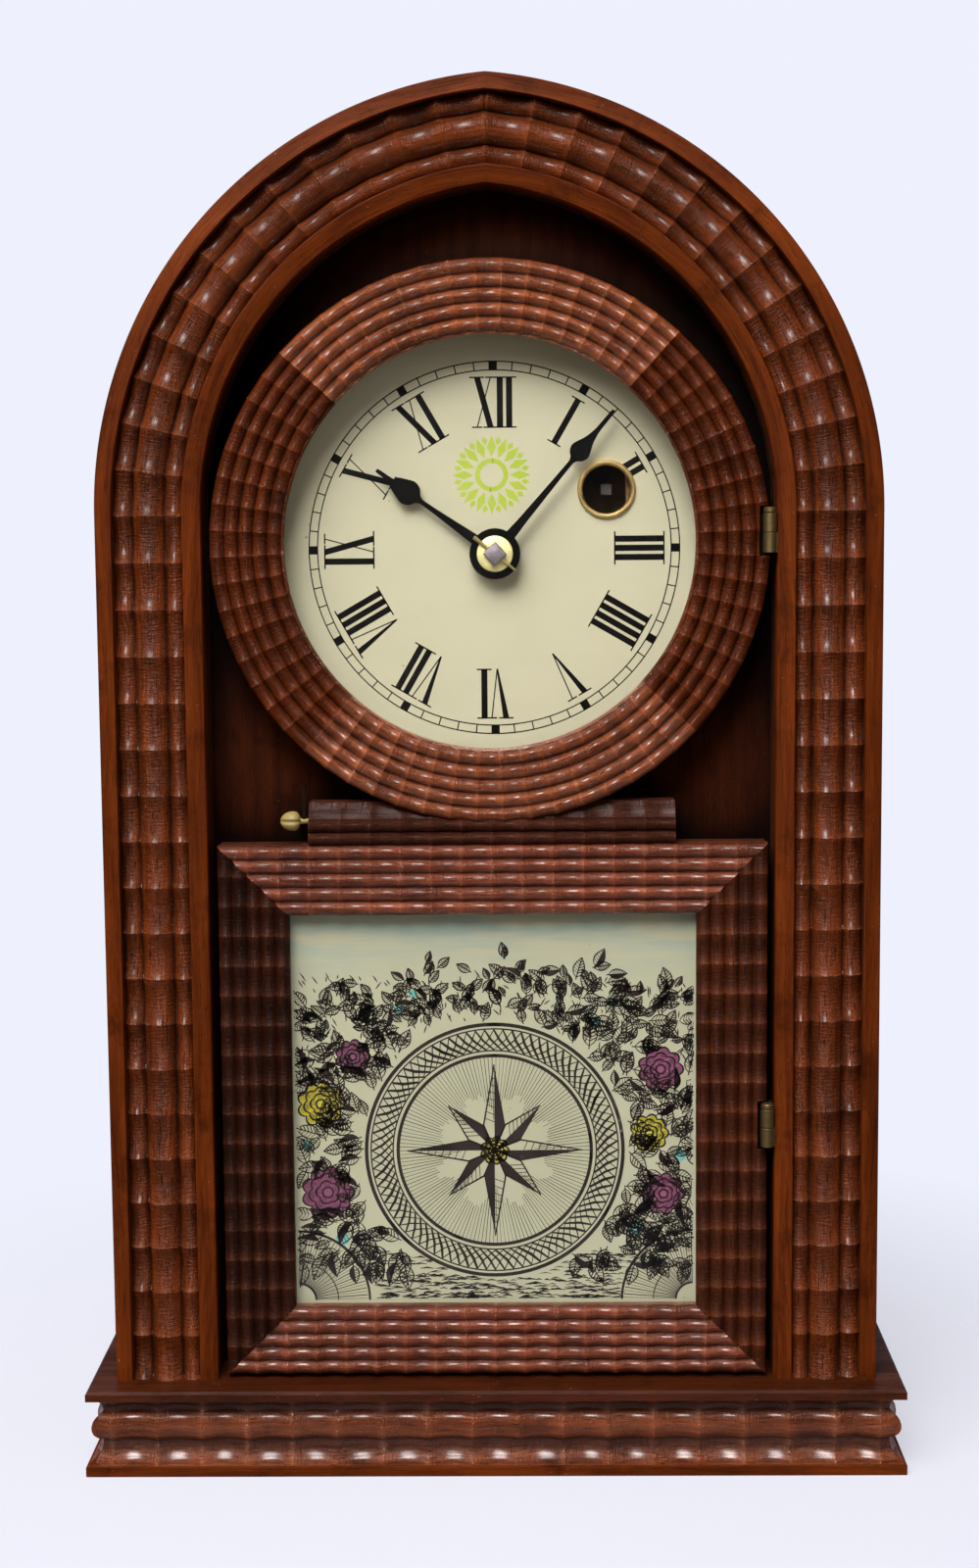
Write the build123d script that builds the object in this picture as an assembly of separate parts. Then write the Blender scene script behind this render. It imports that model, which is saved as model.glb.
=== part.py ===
from build123d import *
import math
import os

# A beehive shelf clock: a gothic arched case on a moulded plinth, faced with rippled (wave) moulding,
# with a hinged door that has a round bezel over the dial and a square frame round a glass tablet.
# Inside it is a one-day spring driven timepiece movement with a pendulum.
# Millimetres. +X is right, +Y goes from the front of the clock to its back, +Z is up.
# The origin is the middle of the plinth's footprint, on the shelf.

# Case outline. Each side of the arch is an arc whose centre lies past the middle, which gives the point.
arch_radius = 147.4
arch_centre_past_middle = 12.6
case_depth = 94.0
hoop_thickness = 6.4
case_half_width = arch_radius - arch_centre_past_middle

# The hands' arbor sets the height of the dial, the bezel, the spring line of the arch and the movement
hand_arbor_x = 2.0
hand_arbor_height = 322.2
dial_above_hands = 1.6
bezel_above_dial = 2.2
spring_above_bezel = 10.2
dial_middle_height = hand_arbor_height + dial_above_hands
bezel_height = dial_middle_height + bezel_above_dial
spring_height = bezel_height + spring_above_bezel

# Plinth
plinth_height = 30.8
plinth_top_board_thickness = 3.4
plinth_front_overhang = 11.3
plinth_side_overhang = 9.4
plinth_moulding_thickness = 20.0
plinth_rail_thickness = 14.0
plinth_ripple_pitch = 15.9
plinth_scallop = 1.4
plinth_top_inset = 0.3
plinth_top_nose = 0.9

plinth_depth = case_depth + plinth_front_overhang
plinth_half_width = case_half_width + plinth_side_overhang
front_y = -plinth_depth / 2 + plinth_front_overhang

# Rippled moulding round the front of the case
arch_moulding_width = 36.4
arch_moulding_thickness = 9.0
arch_outer_fillet = 6.2
arch_inner_fillet = 6.0
arch_scallop = 1.7
arch_straight_ripples = 19
arch_curved_ripples = 13
arch_chords = 13
arch_frame_thickness = 11.6

# Dial board, back board and battens
dial_board_thickness = 6.0
back_board_thickness = 6.0
board_clearance = 0.1
glue_gap = 0.05
movement_window_left = -34.0
movement_window_right = 56.0
movement_window_below_hands = 32.2
movement_window_above_hands = 49.8
movement_window_bottom = hand_arbor_height - movement_window_below_hands
movement_window_top = hand_arbor_height + movement_window_above_hands
batten_width = 12.0
batten_end_gap = 6.0

# Door
door_middle_x = 0.3
door_side_gap = 2.9
bezel_past_frame = 0.5
bezel_width = 25.3
frame_half_width = case_half_width - arch_moulding_width - door_side_gap
bezel_outer_radius = frame_half_width + bezel_past_frame
bezel_inner_radius = bezel_outer_radius - bezel_width
bezel_seam_angle = 47.5
bezel_ripples_in_quarter = 16
door_moulding_thickness = 7.0
door_core_thickness = 7.0
door_core_inset = 0.4
door_scallop = 0.9
door_bead_height = 1.8
door_bead_top_depth = 0.3
door_beads = 5
ring_sides = 36
frame_below_bezel = 8.0
frame_above_plinth = 1.7
neck_end_inset = 31.9
frame_bottom = plinth_height + frame_above_plinth
frame_top = bezel_height - bezel_outer_radius - frame_below_bezel
frame_member_width = 24.5
neck_half_width = frame_half_width - neck_end_inset
neck_beads = 2
neck_bead_pitch = 4.5
neck_slope_height = 5.8
neck_slope_front = 3.4
neck_slope_back = 6.4
glass_thickness = 1.9
glass_rebate = 3.5
glass_clearance = 0.2
picture_thickness = 0.3
glazing_strip_thickness = 2.6
glazing_strip_width = 3.0
retainer_sides = 18
pendulum_window_inset = 31.5
pendulum_window_half_width = frame_half_width - pendulum_window_inset
pendulum_window_rise = 13.5
pendulum_window_drop = 8.0
pendulum_window_bottom = frame_bottom + pendulum_window_rise
pendulum_window_top = frame_top - pendulum_window_drop

# Butt hinges on the right
hinge_x = door_middle_x + frame_half_width
hinge_depth = 0.5
hinge_barrel_radius = 2.3
hinge_pin_radius = 1.0
hinge_pin_clearance = 0.05
hinge_knuckle_gap = 0.2
hinge_length = 13.4
hinge_head_height = 1.9
hinge_leaf_thickness = 0.9
hinge_leaf_depth = 13.2
hinge_leaf_inset = 1.2
hinge_web_step = 0.4
hinge_above_bezel_middle = 2.8
hinge_above_frame_bottom = 89.3
upper_hinge_height = bezel_height + hinge_above_bezel_middle
lower_hinge_height = frame_bottom + hinge_above_frame_bottom
hinge_notch_margin = 1.1

# Turn latch on the left end of the neck
latch_above_frame = 8.4
latch_height = frame_top + latch_above_frame
latch_depth = 5.0
latch_stem_radius = 0.9
latch_stem_in_door = 7.0
latch_clearance = 0.06
latch_knob_radius = 3.4
latch_knob_length = 5.6
latch_knob_start = 4.2
latch_arm_thickness = 1.2
latch_arm_start = 1.0
latch_arm_length = 12.5
latch_hook_drop = 3.0
latch_wire = 1.2
staple_half_width = 3.4
staple_reach = 5.0

# Dial
dial_past_bezel = 9.3
dial_radius = bezel_inner_radius + dial_past_bezel
dial_sides = 36
dial_thickness = 0.6
dial_middle_x = 1.7
dial_hole_radius = 4.9
grommet_outer_radius = 10.2
grommet_inner_radius = 8.3
grommet_sleeve = 1.0
grommet_height = 1.4
grommet_sleeve_length = 4.0
grommet_sides = 16

# Hands
hand_thickness = 0.8
minute_hand_short_of_bezel = 6.7
minute_hand_length = bezel_inner_radius - minute_hand_short_of_bezel
minute_hand_angle = 49.7
minute_bulb_distance = minute_hand_length - 18.0
minute_bulb_width = 7.2
minute_bulb_length = 14.0
hour_hand_length = minute_hand_length - 13.8
hour_hand_angle = 144.5
hour_bulb_distance = hour_hand_length - 13.2
hour_bulb_width = 8.8
hour_bulb_length = 13.0
hand_hub_radius = 8.8
hub_sides = 12
hand_root_width = 3.4
hand_neck_width = 1.3
hand_tip_width = 1.1
washer_radius = 6.3
washer_thickness = 1.1
hand_square = 4.4
taper_pin_length = 18.6
taper_pin_thick_end = 0.8
taper_pin_thin_end = 0.45
taper_pin_tilt = 39.0
washer_hole_radius = 3.2

# Movement: heights and places are of its arbors, depths are from the front of the case
winding_right_of_hands = 38.9
winding_above_hands = 21.9
winding_arbor_x = hand_arbor_x + winding_right_of_hands
winding_arbor_height = hand_arbor_height + winding_above_hands
plate_corner = 5.0
plate_left = -42.0
plate_right = 60.0
plate_below_hands = 42.2
plate_above_hands = 81.8
plate_bottom = hand_arbor_height - plate_below_hands
plate_top = hand_arbor_height + plate_above_hands
pillar_radius = 2.6
arbor_shake = 0.3
sleeve_radius = 2.4
friction_clearance = 0.05
pillar_inset = 7.0
arbor_radius = 1.2
pivot_radius = 0.8
pivot_clearance = 0.06
winding_pivot_radius = 2.2
winding_body_radius = 3.0
winding_square = 3.6
winding_square_recess = 3.0
winding_shoulder = 1.0
ratchet_teeth = 12
ratchet_radius = 9.0
click_reach = 15.0
click_angle = 250.0
click_lean = 62.0
click_clearance = 0.35
click_stud_radius = 1.1
click_boss_radius = 2.4
click_nose = 9.0
click_nose_low = 0.9
click_nose_high = 0.6
mainspring_turns = 3
mainspring_steps = 10
mainspring_band = 0.6
mainspring_outer = 24.0
great_wheel_teeth = 54
centre_pinion_leaves = 6
centre_wheel_teeth = 72
third_pinion_leaves = 7
third_wheel_teeth = 60
escape_pinion_leaves = 7
escape_wheel_teeth = 42
centre_module = 0.72
third_module = 0.66
escape_wheel_radius = 13.0
escape_arbor_above_hands = 44.0
verge_above_escape = 18.0
cannon_teeth = 10
minute_wheel_teeth = 30
minute_pinion_leaves = 10
hour_wheel_teeth = 40
motion_module = 0.78
motion_minute_angle = 215.0
minute_stud_overhang = 0.6
cannon_pipe_radius = 3.15
hour_pipe_radius = 4.1
pipe_clearance = 0.12
pipe_sides = 12

# Pendulum
pendulum_length = 235.0
pendulum_rod_radius = 1.0
bob_radius = 21.0
bob_sides = 20
rating_nut_radius = 3.2
rating_nut_height = 3.0

# Depths, measured back from the front of the case. What stands behind the dial board shares the room
# that the case's depth leaves, so a shallower case gets a slimmer movement.
arch_frame_front = arch_moulding_thickness
dial_board_front = arch_frame_front + arch_frame_thickness
dial_board_back = dial_board_front + dial_board_thickness
back_board_front = case_depth - back_board_thickness
door_core_front = door_moulding_thickness
door_back = door_core_front + door_core_thickness
dial_front = dial_board_front - dial_thickness
full_movement_room = 61.4
room_share = (back_board_front - dial_board_back) / full_movement_room
batten_thickness = 8.4 * room_share
plate_thickness = 1.6 * room_share
plate_spacing = 30.0 * room_share
wheel_thickness = 1.3 * room_share
pinion_overhang = 2.0 * room_share
cannon_overhang = 0.4 * room_share
ratchet_thickness = 1.8 * room_share
spring_side_gap = 1.2 * room_share
pendulum_behind_plate = 8.0 * room_share
bob_thickness = 9.0 * room_share
plate_front = dial_board_back + batten_thickness
plate_inside = plate_front + plate_thickness
back_plate_front = plate_inside + plate_spacing
back_plate_back = back_plate_front + plate_thickness
pendulum_depth = back_plate_back + pendulum_behind_plate
centre_wheel_front = plate_inside + 3.4 * room_share
third_wheel_front = plate_inside + 13.4 * room_share
escape_wheel_front = plate_inside + 7.6 * room_share
great_wheel_front = back_plate_front - 8.6 * room_share
ratchet_front = back_plate_front - 5.6 * room_share
spring_front = plate_inside + 7.4 * room_share
hour_wheel_front = dial_board_back + 1.6 * room_share
minute_wheel_front = plate_front - 3.6 * room_share

os.makedirs("parts", exist_ok=True)


def y_at(depth):
    return front_y + depth


def facing(depth):
    """The plane that faces the viewer at a depth: its x is X and its y is Z."""
    return Plane(origin=(0, y_at(depth), 0), x_dir=(1, 0, 0), z_dir=(0, -1, 0))


def board(outline, front, back):
    """A flat piece with an outline drawn in X and Z, between two depths."""
    return extrude(facing(back) * outline, amount=back - front)


def block(x_low, x_high, z_low, z_high, front, back):
    size = (x_high - x_low, back - front, z_high - z_low)
    middle = ((x_low + x_high) / 2, y_at((front + back) / 2), (z_low + z_high) / 2)
    return Pos(*middle) * Box(*size)


def few_sided(radius, sides=12):
    """A round outline with few facets, for pieces that are small or out of sight."""
    return RegularPolygon(radius, sides)


def few_sided_hole(radius, sides=12):
    """The hole for a shaft of a radius, with few facets."""
    return RegularPolygon(radius, sides, major_radius=False)


def bar(x, height, radius, front, back, sides=8):
    """A shaft or a stud with few facets."""
    return board(Pos(x, height) * few_sided(radius, sides), front, back)


def cell_facets(near, middle, far, here, there, waved_here, waved_there):
    """The flat facets between two lines of the profile along one ripple."""
    if waved_here and waved_there:
        return [
            [near[here], near[there], middle[there], middle[here]],
            [middle[here], middle[there], far[there], far[here]],
        ]
    if waved_here:
        return [
            [near[here], near[there], middle[here]],
            [middle[here], near[there], far[there]],
            [middle[here], far[there], far[here]],
        ]
    if waved_there:
        return [
            [near[here], near[there], middle[there]],
            [near[here], middle[there], far[here]],
            [far[here], middle[there], far[there]],
        ]
    return [[near[here], near[there], far[there], far[here]]]


def rippled(profile, places, dip):
    """Wave moulding with flat facets.

    A profile point is (across, depth, waved). Each place puts such a point at one station of the
    moulding's length: the even stations are the ridges between ripples, the odd ones the hollows, where
    a waved point lies deeper by dip(across).
    """
    rows = []
    for index, place in enumerate(places):
        hollow = index % 2
        rows.append([
            place(across, depth + (dip(across) if hollow and waved else 0.0))
            for across, depth, waved in profile
        ])
    polygons = [rows[0], rows[-1]]
    for start in range(0, len(rows) - 1, 2):
        near, middle, far = rows[start:start + 3]
        for here in range(len(profile)):
            there = (here + 1) % len(profile)
            polygons += cell_facets(
                near, middle, far, here, there, profile[here][2], profile[there][2]
            )
    return Solid(Shell([Face(Wire.make_polygon(polygon)) for polygon in polygons])).clean()


def bead_profile(beads, pitch, thickness, after):
    """A flat backed moulding with a row of waved beads from one edge, then the points in after."""
    groove = door_bead_top_depth + door_bead_height
    points = [(0.0, thickness, False), (0.0, groove, False)]
    for index in range(beads):
        points.append(((index + 0.5) * pitch, door_bead_top_depth, True))
        points.append(((index + 1.0) * pitch, groove, False))
    return points + after


def faceted(sections):
    """A solid with flat facets through a row of matching polygons."""
    faces = [Face(Wire.make_polygon(sections[0])), Face(Wire.make_polygon(sections[-1]))]
    corners = len(sections[0])
    for near, far in zip(sections, sections[1:]):
        for here in range(corners):
            there = (here + 1) % corners
            faces.append(Face(Wire.make_polygon([near[here], near[there], far[there], far[here]])))
    return Solid(Shell(faces)).clean()


def turned(stations, sides):
    """A turned piece with few facets round the Z axis. A station is (distance along it, radius)."""
    sections = []
    for distance, radius in stations:
        ring = []
        for index in range(sides):
            angle = 2 * math.pi * index / sides
            ring.append((radius * math.cos(angle), radius * math.sin(angle), distance))
        sections.append(ring)
    return faceted(sections)


def arch_face(inset, foot):
    """The gothic arch outline, drawn inwards of the case outline by the inset, in short chords."""
    radius = arch_radius - inset
    half = case_half_width - inset
    apex_angle = math.acos(arch_centre_past_middle / radius)
    right = [(half, foot)]
    for index in range(arch_chords):
        angle = index * apex_angle / arch_chords
        right.append((
            radius * math.cos(angle) - arch_centre_past_middle, spring_height + radius * math.sin(angle)
        ))
    apex = (0.0, spring_height + radius * math.sin(apex_angle))
    left = [(-x, height) for x, height in reversed(right)]
    return make_face(Polyline(*right, apex, *left, close=True))


def gear_outline(teeth, module, turn_degrees=0.0, tip=0.85, root=1.15):
    """Slim pointed clock teeth, which leave play on both sides of each tooth."""
    outer = (teeth / 2 + tip) * module
    inner = (teeth / 2 - root) * module
    step = 2 * math.pi / teeth
    turn = math.radians(turn_degrees)
    points = []
    for index in range(teeth):
        for radius, offset in ((inner, -0.5), (outer, 0.0)):
            angle = (index + offset) * step + turn
            points.append((radius * math.cos(angle), radius * math.sin(angle)))
    return make_face(Polyline(*points, close=True))


def wheel(x, height, teeth, module, front, turn_degrees=0.0):
    face = gear_outline(teeth, module, turn_degrees)
    return board(Pos(x, height) * face, front, front + wheel_thickness)


def pinion(x, height, leaves, module, front, back, turn_degrees=0.0):
    return board(Pos(x, height) * gear_outline(leaves, module, turn_degrees, tip=0.75), front, back)


def mesh_turn(driver_teeth, driver_turn, driven_teeth, from_angle):
    """The turn that sets a gap of the driven wheel over the driver's tooth on their line of centres."""
    driver_step = 360 / driver_teeth
    phase = ((from_angle - driver_turn) / driver_step) % 1.0
    driven_step = 360 / driven_teeth
    return from_angle + 180 + driven_step * (0.5 + phase)


def save(part, name):
    export_step(part, f"parts/{name}.step")


# Plinth
plinth_ripple_top = plinth_height - plinth_top_board_thickness
plinth_fillet = 3.7
plinth_fillet_step = 0.9
plinth_cove_low = plinth_fillet + 4.9
plinth_cove_high = plinth_fillet + 8.6
plinth_cove_depth = 3.9
plinth_bead_low = plinth_fillet + 10.6
plinth_bead_high = plinth_fillet + 16.4
plinth_bead_depth = 1.9
plinth_groove_height = plinth_fillet + 18.6
plinth_groove_depth = 4.6
plinth_top_cove_depth = 2.0


def plinth_profile():
    """Height, depth in from the plinth's edge, and whether the ripple moves the point."""
    return [
        (0.0, plinth_moulding_thickness, False),
        (0.0, 0.0, False),
        (plinth_fillet, 0.0, False),
        (plinth_fillet, plinth_fillet_step, False),
        (plinth_cove_low, plinth_cove_depth, True),
        (plinth_cove_high, plinth_cove_depth, True),
        (plinth_bead_low, plinth_bead_depth, True),
        (plinth_bead_high, plinth_bead_depth, True),
        (plinth_groove_height, plinth_groove_depth, False),
        (plinth_ripple_top, plinth_top_cove_depth, True),
        (plinth_ripple_top, plinth_moulding_thickness, False),
    ]


def plinth_front_moulding():
    edge = -plinth_depth / 2
    half_count = math.ceil(plinth_half_width / plinth_ripple_pitch + 0.5)
    places = []
    for half_step in range(-2 * half_count + 1, 2 * half_count):
        x = half_step * plinth_ripple_pitch / 2
        places.append(lambda u, d, x=x: (x, edge + d, u))
    bar_across = rippled(plinth_profile(), places, lambda u: plinth_scallop)
    mitre = Plane(origin=(plinth_half_width, edge, 0), x_dir=(-1, 1, 0), z_dir=(1, 1, 0))
    bar_across = split(bar_across, bisect_by=mitre, keep=Keep.BOTTOM)
    return split(bar_across, bisect_by=mitre_mirrored(mitre), keep=Keep.BOTTOM)


def mitre_mirrored(plane):
    return Plane(
        origin=(-plane.origin.X, plane.origin.Y, plane.origin.Z),
        x_dir=(-plane.x_dir.X, plane.x_dir.Y, plane.x_dir.Z),
        z_dir=(-plane.z_dir.X, plane.z_dir.Y, plane.z_dir.Z),
    )


def plinth_side_moulding():
    """The right hand return, mitred to the front and cut square at the back."""
    count = math.ceil(plinth_depth / plinth_ripple_pitch) + 1
    places = []
    for half_step in range(2 * count + 1):
        y = plinth_depth / 2 - half_step * plinth_ripple_pitch / 2
        places.append(lambda u, d, y=y: (plinth_half_width - d, y, u))
    return_bar = rippled(plinth_profile(), places, lambda u: plinth_scallop)
    mitre = Plane(
        origin=(plinth_half_width, -plinth_depth / 2 + glue_gap, 0), x_dir=(-1, 1, 0), z_dir=(1, 1, 0)
    )
    return split(return_bar, bisect_by=mitre, keep=Keep.TOP)


side_return = plinth_side_moulding()
save(plinth_front_moulding(), "plinth_front_moulding")
save(side_return, "plinth_right_moulding")
save(side_return.mirror(Plane.YZ), "plinth_left_moulding")

rail_half = plinth_half_width - plinth_moulding_thickness - glue_gap
plinth_back_rail = block(
    -rail_half, rail_half, 0, plinth_ripple_top, case_depth - plinth_rail_thickness, case_depth
)
save(plinth_back_rail, "plinth_back_rail")

top_board = Pos(0, 0, plinth_height - plinth_top_board_thickness / 2) * Box(
    2 * (plinth_half_width - plinth_top_inset), plinth_depth, plinth_top_board_thickness
)
nose_edges = top_board.edges().filter_by(Axis.Z, reverse=True).group_by(Axis.Z)[-1]
top_board = chamfer(nose_edges, plinth_top_nose)
save(top_board, "plinth_top_board")


# Case carcass: bent side hoop, arch frame, dial board and back board
foot = plinth_height
hoop = board(arch_face(0, foot) - arch_face(hoop_thickness, foot), arch_frame_front, case_depth)
hoop -= block(
    -case_half_width + hoop_thickness, case_half_width - hoop_thickness,
    foot - 1, foot + hoop_thickness, arch_frame_front - 1, case_depth + 1,
)
save(hoop, "case_hoop")

arch_frame = board(
    arch_face(hoop_thickness + board_clearance, foot) - arch_face(arch_moulding_width, foot - 1),
    arch_frame_front, dial_board_front,
)

board_outline = arch_face(hoop_thickness + board_clearance, foot)
window_height = pendulum_window_top - pendulum_window_bottom
pendulum_window = Pos(0, pendulum_window_bottom + window_height / 2) * Rectangle(
    2 * pendulum_window_half_width, window_height
)
movement_window = Pos(
    (movement_window_left + movement_window_right) / 2, (movement_window_bottom + movement_window_top) / 2
) * Rectangle(movement_window_right - movement_window_left, movement_window_top - movement_window_bottom)
dial_board = board(board_outline - pendulum_window - movement_window, dial_board_front, dial_board_back)

save(board(board_outline, back_board_front, case_depth), "back_board")


# Section of the arch moulding: distances in from its outer edge, and depths
cove_foot = arch_outer_fillet + 4.4
main_bead_start = arch_outer_fillet + 9.4
main_bead_end = arch_outer_fillet + 14.6
arch_groove = arch_outer_fillet + 18.2
inner_bead_start = arch_outer_fillet + 20.2
inner_bead_end = arch_moulding_width - arch_inner_fillet
cove_step_depth = 3.4
cove_foot_depth = 3.0
main_bead_edge_depth = 0.1
arch_groove_depth = 4.2
inner_bead_depth = 1.1
inner_bead_end_depth = 1.8
inner_fillet_depth = 0.4


def arch_profile():
    """Distance in from the outer edge, depth, and whether the ripple moves the point."""
    return [
        (0.0, arch_moulding_thickness, False),
        (0.0, 0.0, False),
        (arch_outer_fillet, 0.0, False),
        (arch_outer_fillet, cove_step_depth, False),
        (cove_foot, cove_foot_depth, True),
        (main_bead_start, main_bead_edge_depth, True),
        (main_bead_end, 0.0, True),
        (arch_groove, arch_groove_depth, False),
        (inner_bead_start, inner_bead_depth, True),
        (inner_bead_end, inner_bead_end_depth, True),
        (inner_bead_end, inner_fillet_depth, False),
        (arch_moulding_width, inner_fillet_depth, False),
        (arch_moulding_width, arch_moulding_thickness, False),
    ]


def arch_moulding_left():
    """The left side: a straight stile that runs into the arch and is cut at the apex."""
    places = []
    straight_step = (spring_height - foot) / (2 * arch_straight_ripples)
    for index in range(2 * arch_straight_ripples + 1):
        height = foot + index * straight_step
        places.append(lambda u, d, height=height: (u - case_half_width, y_at(d), height))
    straight_places = len(places)
    apex_angle = math.acos(arch_centre_past_middle / arch_radius)
    curved_step = apex_angle / (2 * arch_curved_ripples)
    for index in range(1, 2 * arch_curved_ripples + 3):
        angle = math.pi - index * curved_step

        def place(u, d, angle=angle):
            reach = arch_radius - u
            x = arch_centre_past_middle + reach * math.cos(angle)
            return (x, y_at(d), spring_height + reach * math.sin(angle))

        places.append(place)
    straight = rippled(arch_profile(), places[:straight_places], lambda u: arch_scallop)
    curved = rippled(
        arch_profile(), places[straight_places - 1:],
        lambda u: arch_scallop * (arch_radius - u) / arch_radius,
    )
    curved = split(curved, bisect_by=Plane.YZ, keep=Keep.BOTTOM)
    return (straight + curved).clean()


left_moulding = arch_moulding_left()
save(left_moulding, "arch_moulding_left")
save(left_moulding.mirror(Plane.YZ), "arch_moulding_right")


# Door bezel: four rippled quarters glued on a ring that carries the neck
core_outer = bezel_outer_radius - door_core_inset
rebate_radius = bezel_inner_radius + glass_rebate
bezel_bead_pitch = bezel_width / door_beads
hinge_notch_left = hinge_x - hinge_barrel_radius - hinge_notch_margin
door_leaf_left = hinge_x - hinge_leaf_inset
hinge_notch_slack = 0.6
hinge_notch_depth = hinge_depth + hinge_barrel_radius + hinge_notch_slack


def hinge_notch(middle_height):
    """The space cut in the front edge of the door for a hinge barrel."""
    return block(
        hinge_notch_left, bezel_outer_radius + 2,
        middle_height - hinge_length / 2 - hinge_notch_margin,
        middle_height + hinge_length / 2 + hinge_head_height + hinge_notch_slack,
        -2, hinge_notch_depth,
    )


def leaf_mortise(middle_height):
    """The seat let into the edge of the door for a hinge leaf."""
    half = hinge_length / 2
    return block(
        door_leaf_left, bezel_outer_radius + 2, middle_height - half, middle_height + half,
        hinge_notch_depth - 0.1, door_back + 1,
    )


def bezel_quarter(seam_turn):
    after = [(bezel_width, door_moulding_thickness, False)]
    profile = bead_profile(door_beads, bezel_bead_pitch, door_moulding_thickness, after)
    places = []
    for index in range(2 * bezel_ripples_in_quarter + 1):
        angle = math.radians(bezel_seam_angle + seam_turn + index * 45 / bezel_ripples_in_quarter)

        def place(u, d, angle=angle):
            reach = bezel_outer_radius - u
            x = door_middle_x + reach * math.cos(angle)
            return (x, y_at(d), bezel_height + reach * math.sin(angle))

        places.append(place)
    return rippled(
        profile, places, lambda u: door_scallop * (bezel_outer_radius - u) / bezel_outer_radius
    )


for quarter_index, quarter_name in enumerate(("top", "left", "bottom", "right")):
    quarter = bezel_quarter(90 * quarter_index)
    if quarter_name == "right":
        quarter -= hinge_notch(upper_hinge_height)
        quarter -= leaf_mortise(upper_hinge_height)
    save(quarter, f"bezel_quarter_{quarter_name}")

neck_top = frame_top + neck_beads * neck_bead_pitch + neck_slope_height
neck_outline = Pos(door_middle_x, (frame_top + glue_gap + neck_top) / 2) * Rectangle(
    2 * neck_half_width - 0.4, neck_top - frame_top - glue_gap
)
ring_outline = Pos(door_middle_x, bezel_height) * few_sided(core_outer, ring_sides)
ring_hole = Pos(door_middle_x, bezel_height) * few_sided_hole(rebate_radius, ring_sides)
ring_core = board(ring_outline + neck_outline - ring_hole, door_core_front, door_back)
ring_core -= leaf_mortise(upper_hinge_height)
latch_bore_start = door_middle_x - neck_half_width - 1
latch_bore = Pos(latch_bore_start, y_at(latch_depth), latch_height) * Rot(0, 90, 0) * Cylinder(
    latch_stem_radius + latch_clearance, latch_stem_in_door + 1,
    align=(Align.CENTER, Align.CENTER, Align.MIN),
)


def beaded(profile, low, high, place):
    """A straight length of the door's moulding with plain beads. Its fine ripple is a surface finish."""
    ends = []
    for along in (low, high):
        ends.append([place(along, across, depth) for across, depth, waved in profile])
    return faceted(ends)


def neck_moulding():
    """Two beads with a plain slope above them, coped to sit round the bezel."""
    slope_start = neck_beads * neck_bead_pitch
    after = [
        (slope_start, neck_slope_front, False),
        (slope_start + neck_slope_height, neck_slope_back, False),
        (slope_start + neck_slope_height, door_moulding_thickness, False),
    ]
    moulding = beaded(
        bead_profile(neck_beads, neck_bead_pitch, door_moulding_thickness, after),
        door_middle_x - neck_half_width, door_middle_x + neck_half_width,
        lambda along, across, depth: (along, y_at(depth), frame_top + glue_gap + across),
    )
    moulding -= board(
        Pos(door_middle_x, bezel_height) * few_sided_hole(bezel_outer_radius + glue_gap, ring_sides),
        -3, door_moulding_thickness + 1,
    )
    return moulding - latch_bore


save(neck_moulding(), "neck_moulding")


# Door frame round the tablet, mitred at its corners
frame_profile = bead_profile(
    door_beads, frame_member_width / door_beads, door_moulding_thickness,
    [(frame_member_width, door_moulding_thickness, False)],
)


def corner_plane(side, height, direction):
    """A mitre plane through an outer corner of the frame, with its normal out of the rail."""
    return Plane(
        origin=(door_middle_x + side * frame_half_width, 0, height),
        x_dir=(0, 1, 0),
        z_dir=(side, 0, direction),
    )


def door_rail(edge_height, inward):
    """A rail whose outer edge is at a height and whose beads step inwards, up (1) or down (-1)."""
    rail = beaded(
        frame_profile,
        door_middle_x - frame_half_width, door_middle_x + frame_half_width,
        lambda along, across, depth: (along, y_at(depth), edge_height + inward * across),
    )
    for side in (-1, 1):
        rail = split(rail, bisect_by=corner_plane(side, edge_height, inward), keep=Keep.BOTTOM)
    return rail


def door_stile(side):
    """A stile on the left (-1) or the right (1)."""
    edge_x = door_middle_x + side * frame_half_width
    stile = beaded(
        frame_profile, frame_bottom, frame_top,
        lambda along, across, depth: (edge_x - side * across, y_at(depth), along),
    )
    for height, inward in ((frame_bottom + glue_gap, 1), (frame_top - glue_gap, -1)):
        stile = split(stile, bisect_by=corner_plane(side, height, inward), keep=Keep.TOP)
    return stile


save(door_rail(frame_bottom, 1), "door_bottom_rail")
save(door_rail(frame_top, -1), "door_top_rail")
save(door_stile(-1), "door_left_stile")
save(
    door_stile(1) - hinge_notch(lower_hinge_height) - leaf_mortise(lower_hinge_height),
    "door_right_stile",
)

frame_height = frame_top - frame_bottom
frame_middle_height = (frame_top + frame_bottom) / 2
rebate_half_width = frame_half_width - frame_member_width + glass_rebate
rebate_height = frame_height - 2 * frame_member_width + 2 * glass_rebate
frame_place = Pos(door_middle_x, frame_middle_height)
frame_core = board(
    frame_place * Rectangle(2 * frame_half_width - 2 * door_core_inset, frame_height)
    - frame_place * Rectangle(2 * rebate_half_width, rebate_height),
    door_core_front, door_back,
)
frame_core -= leaf_mortise(lower_hinge_height)


# Glass, the picture behind the tablet, and the strips that hold them
glass_back = door_core_front + glass_thickness
retainer_back = glass_back + glazing_strip_thickness
dial_glass = bar(
    door_middle_x, bezel_height, rebate_radius - glass_clearance, door_core_front, glass_back, ring_sides
)
save(dial_glass, "dial_glass")
retainer = board(
    Pos(door_middle_x, bezel_height) * (
        few_sided(rebate_radius - glue_gap, retainer_sides)
        - few_sided(rebate_radius - glazing_strip_width, retainer_sides)
    ),
    glass_back, retainer_back,
)
save(retainer, "dial_glass_retainer")

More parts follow.
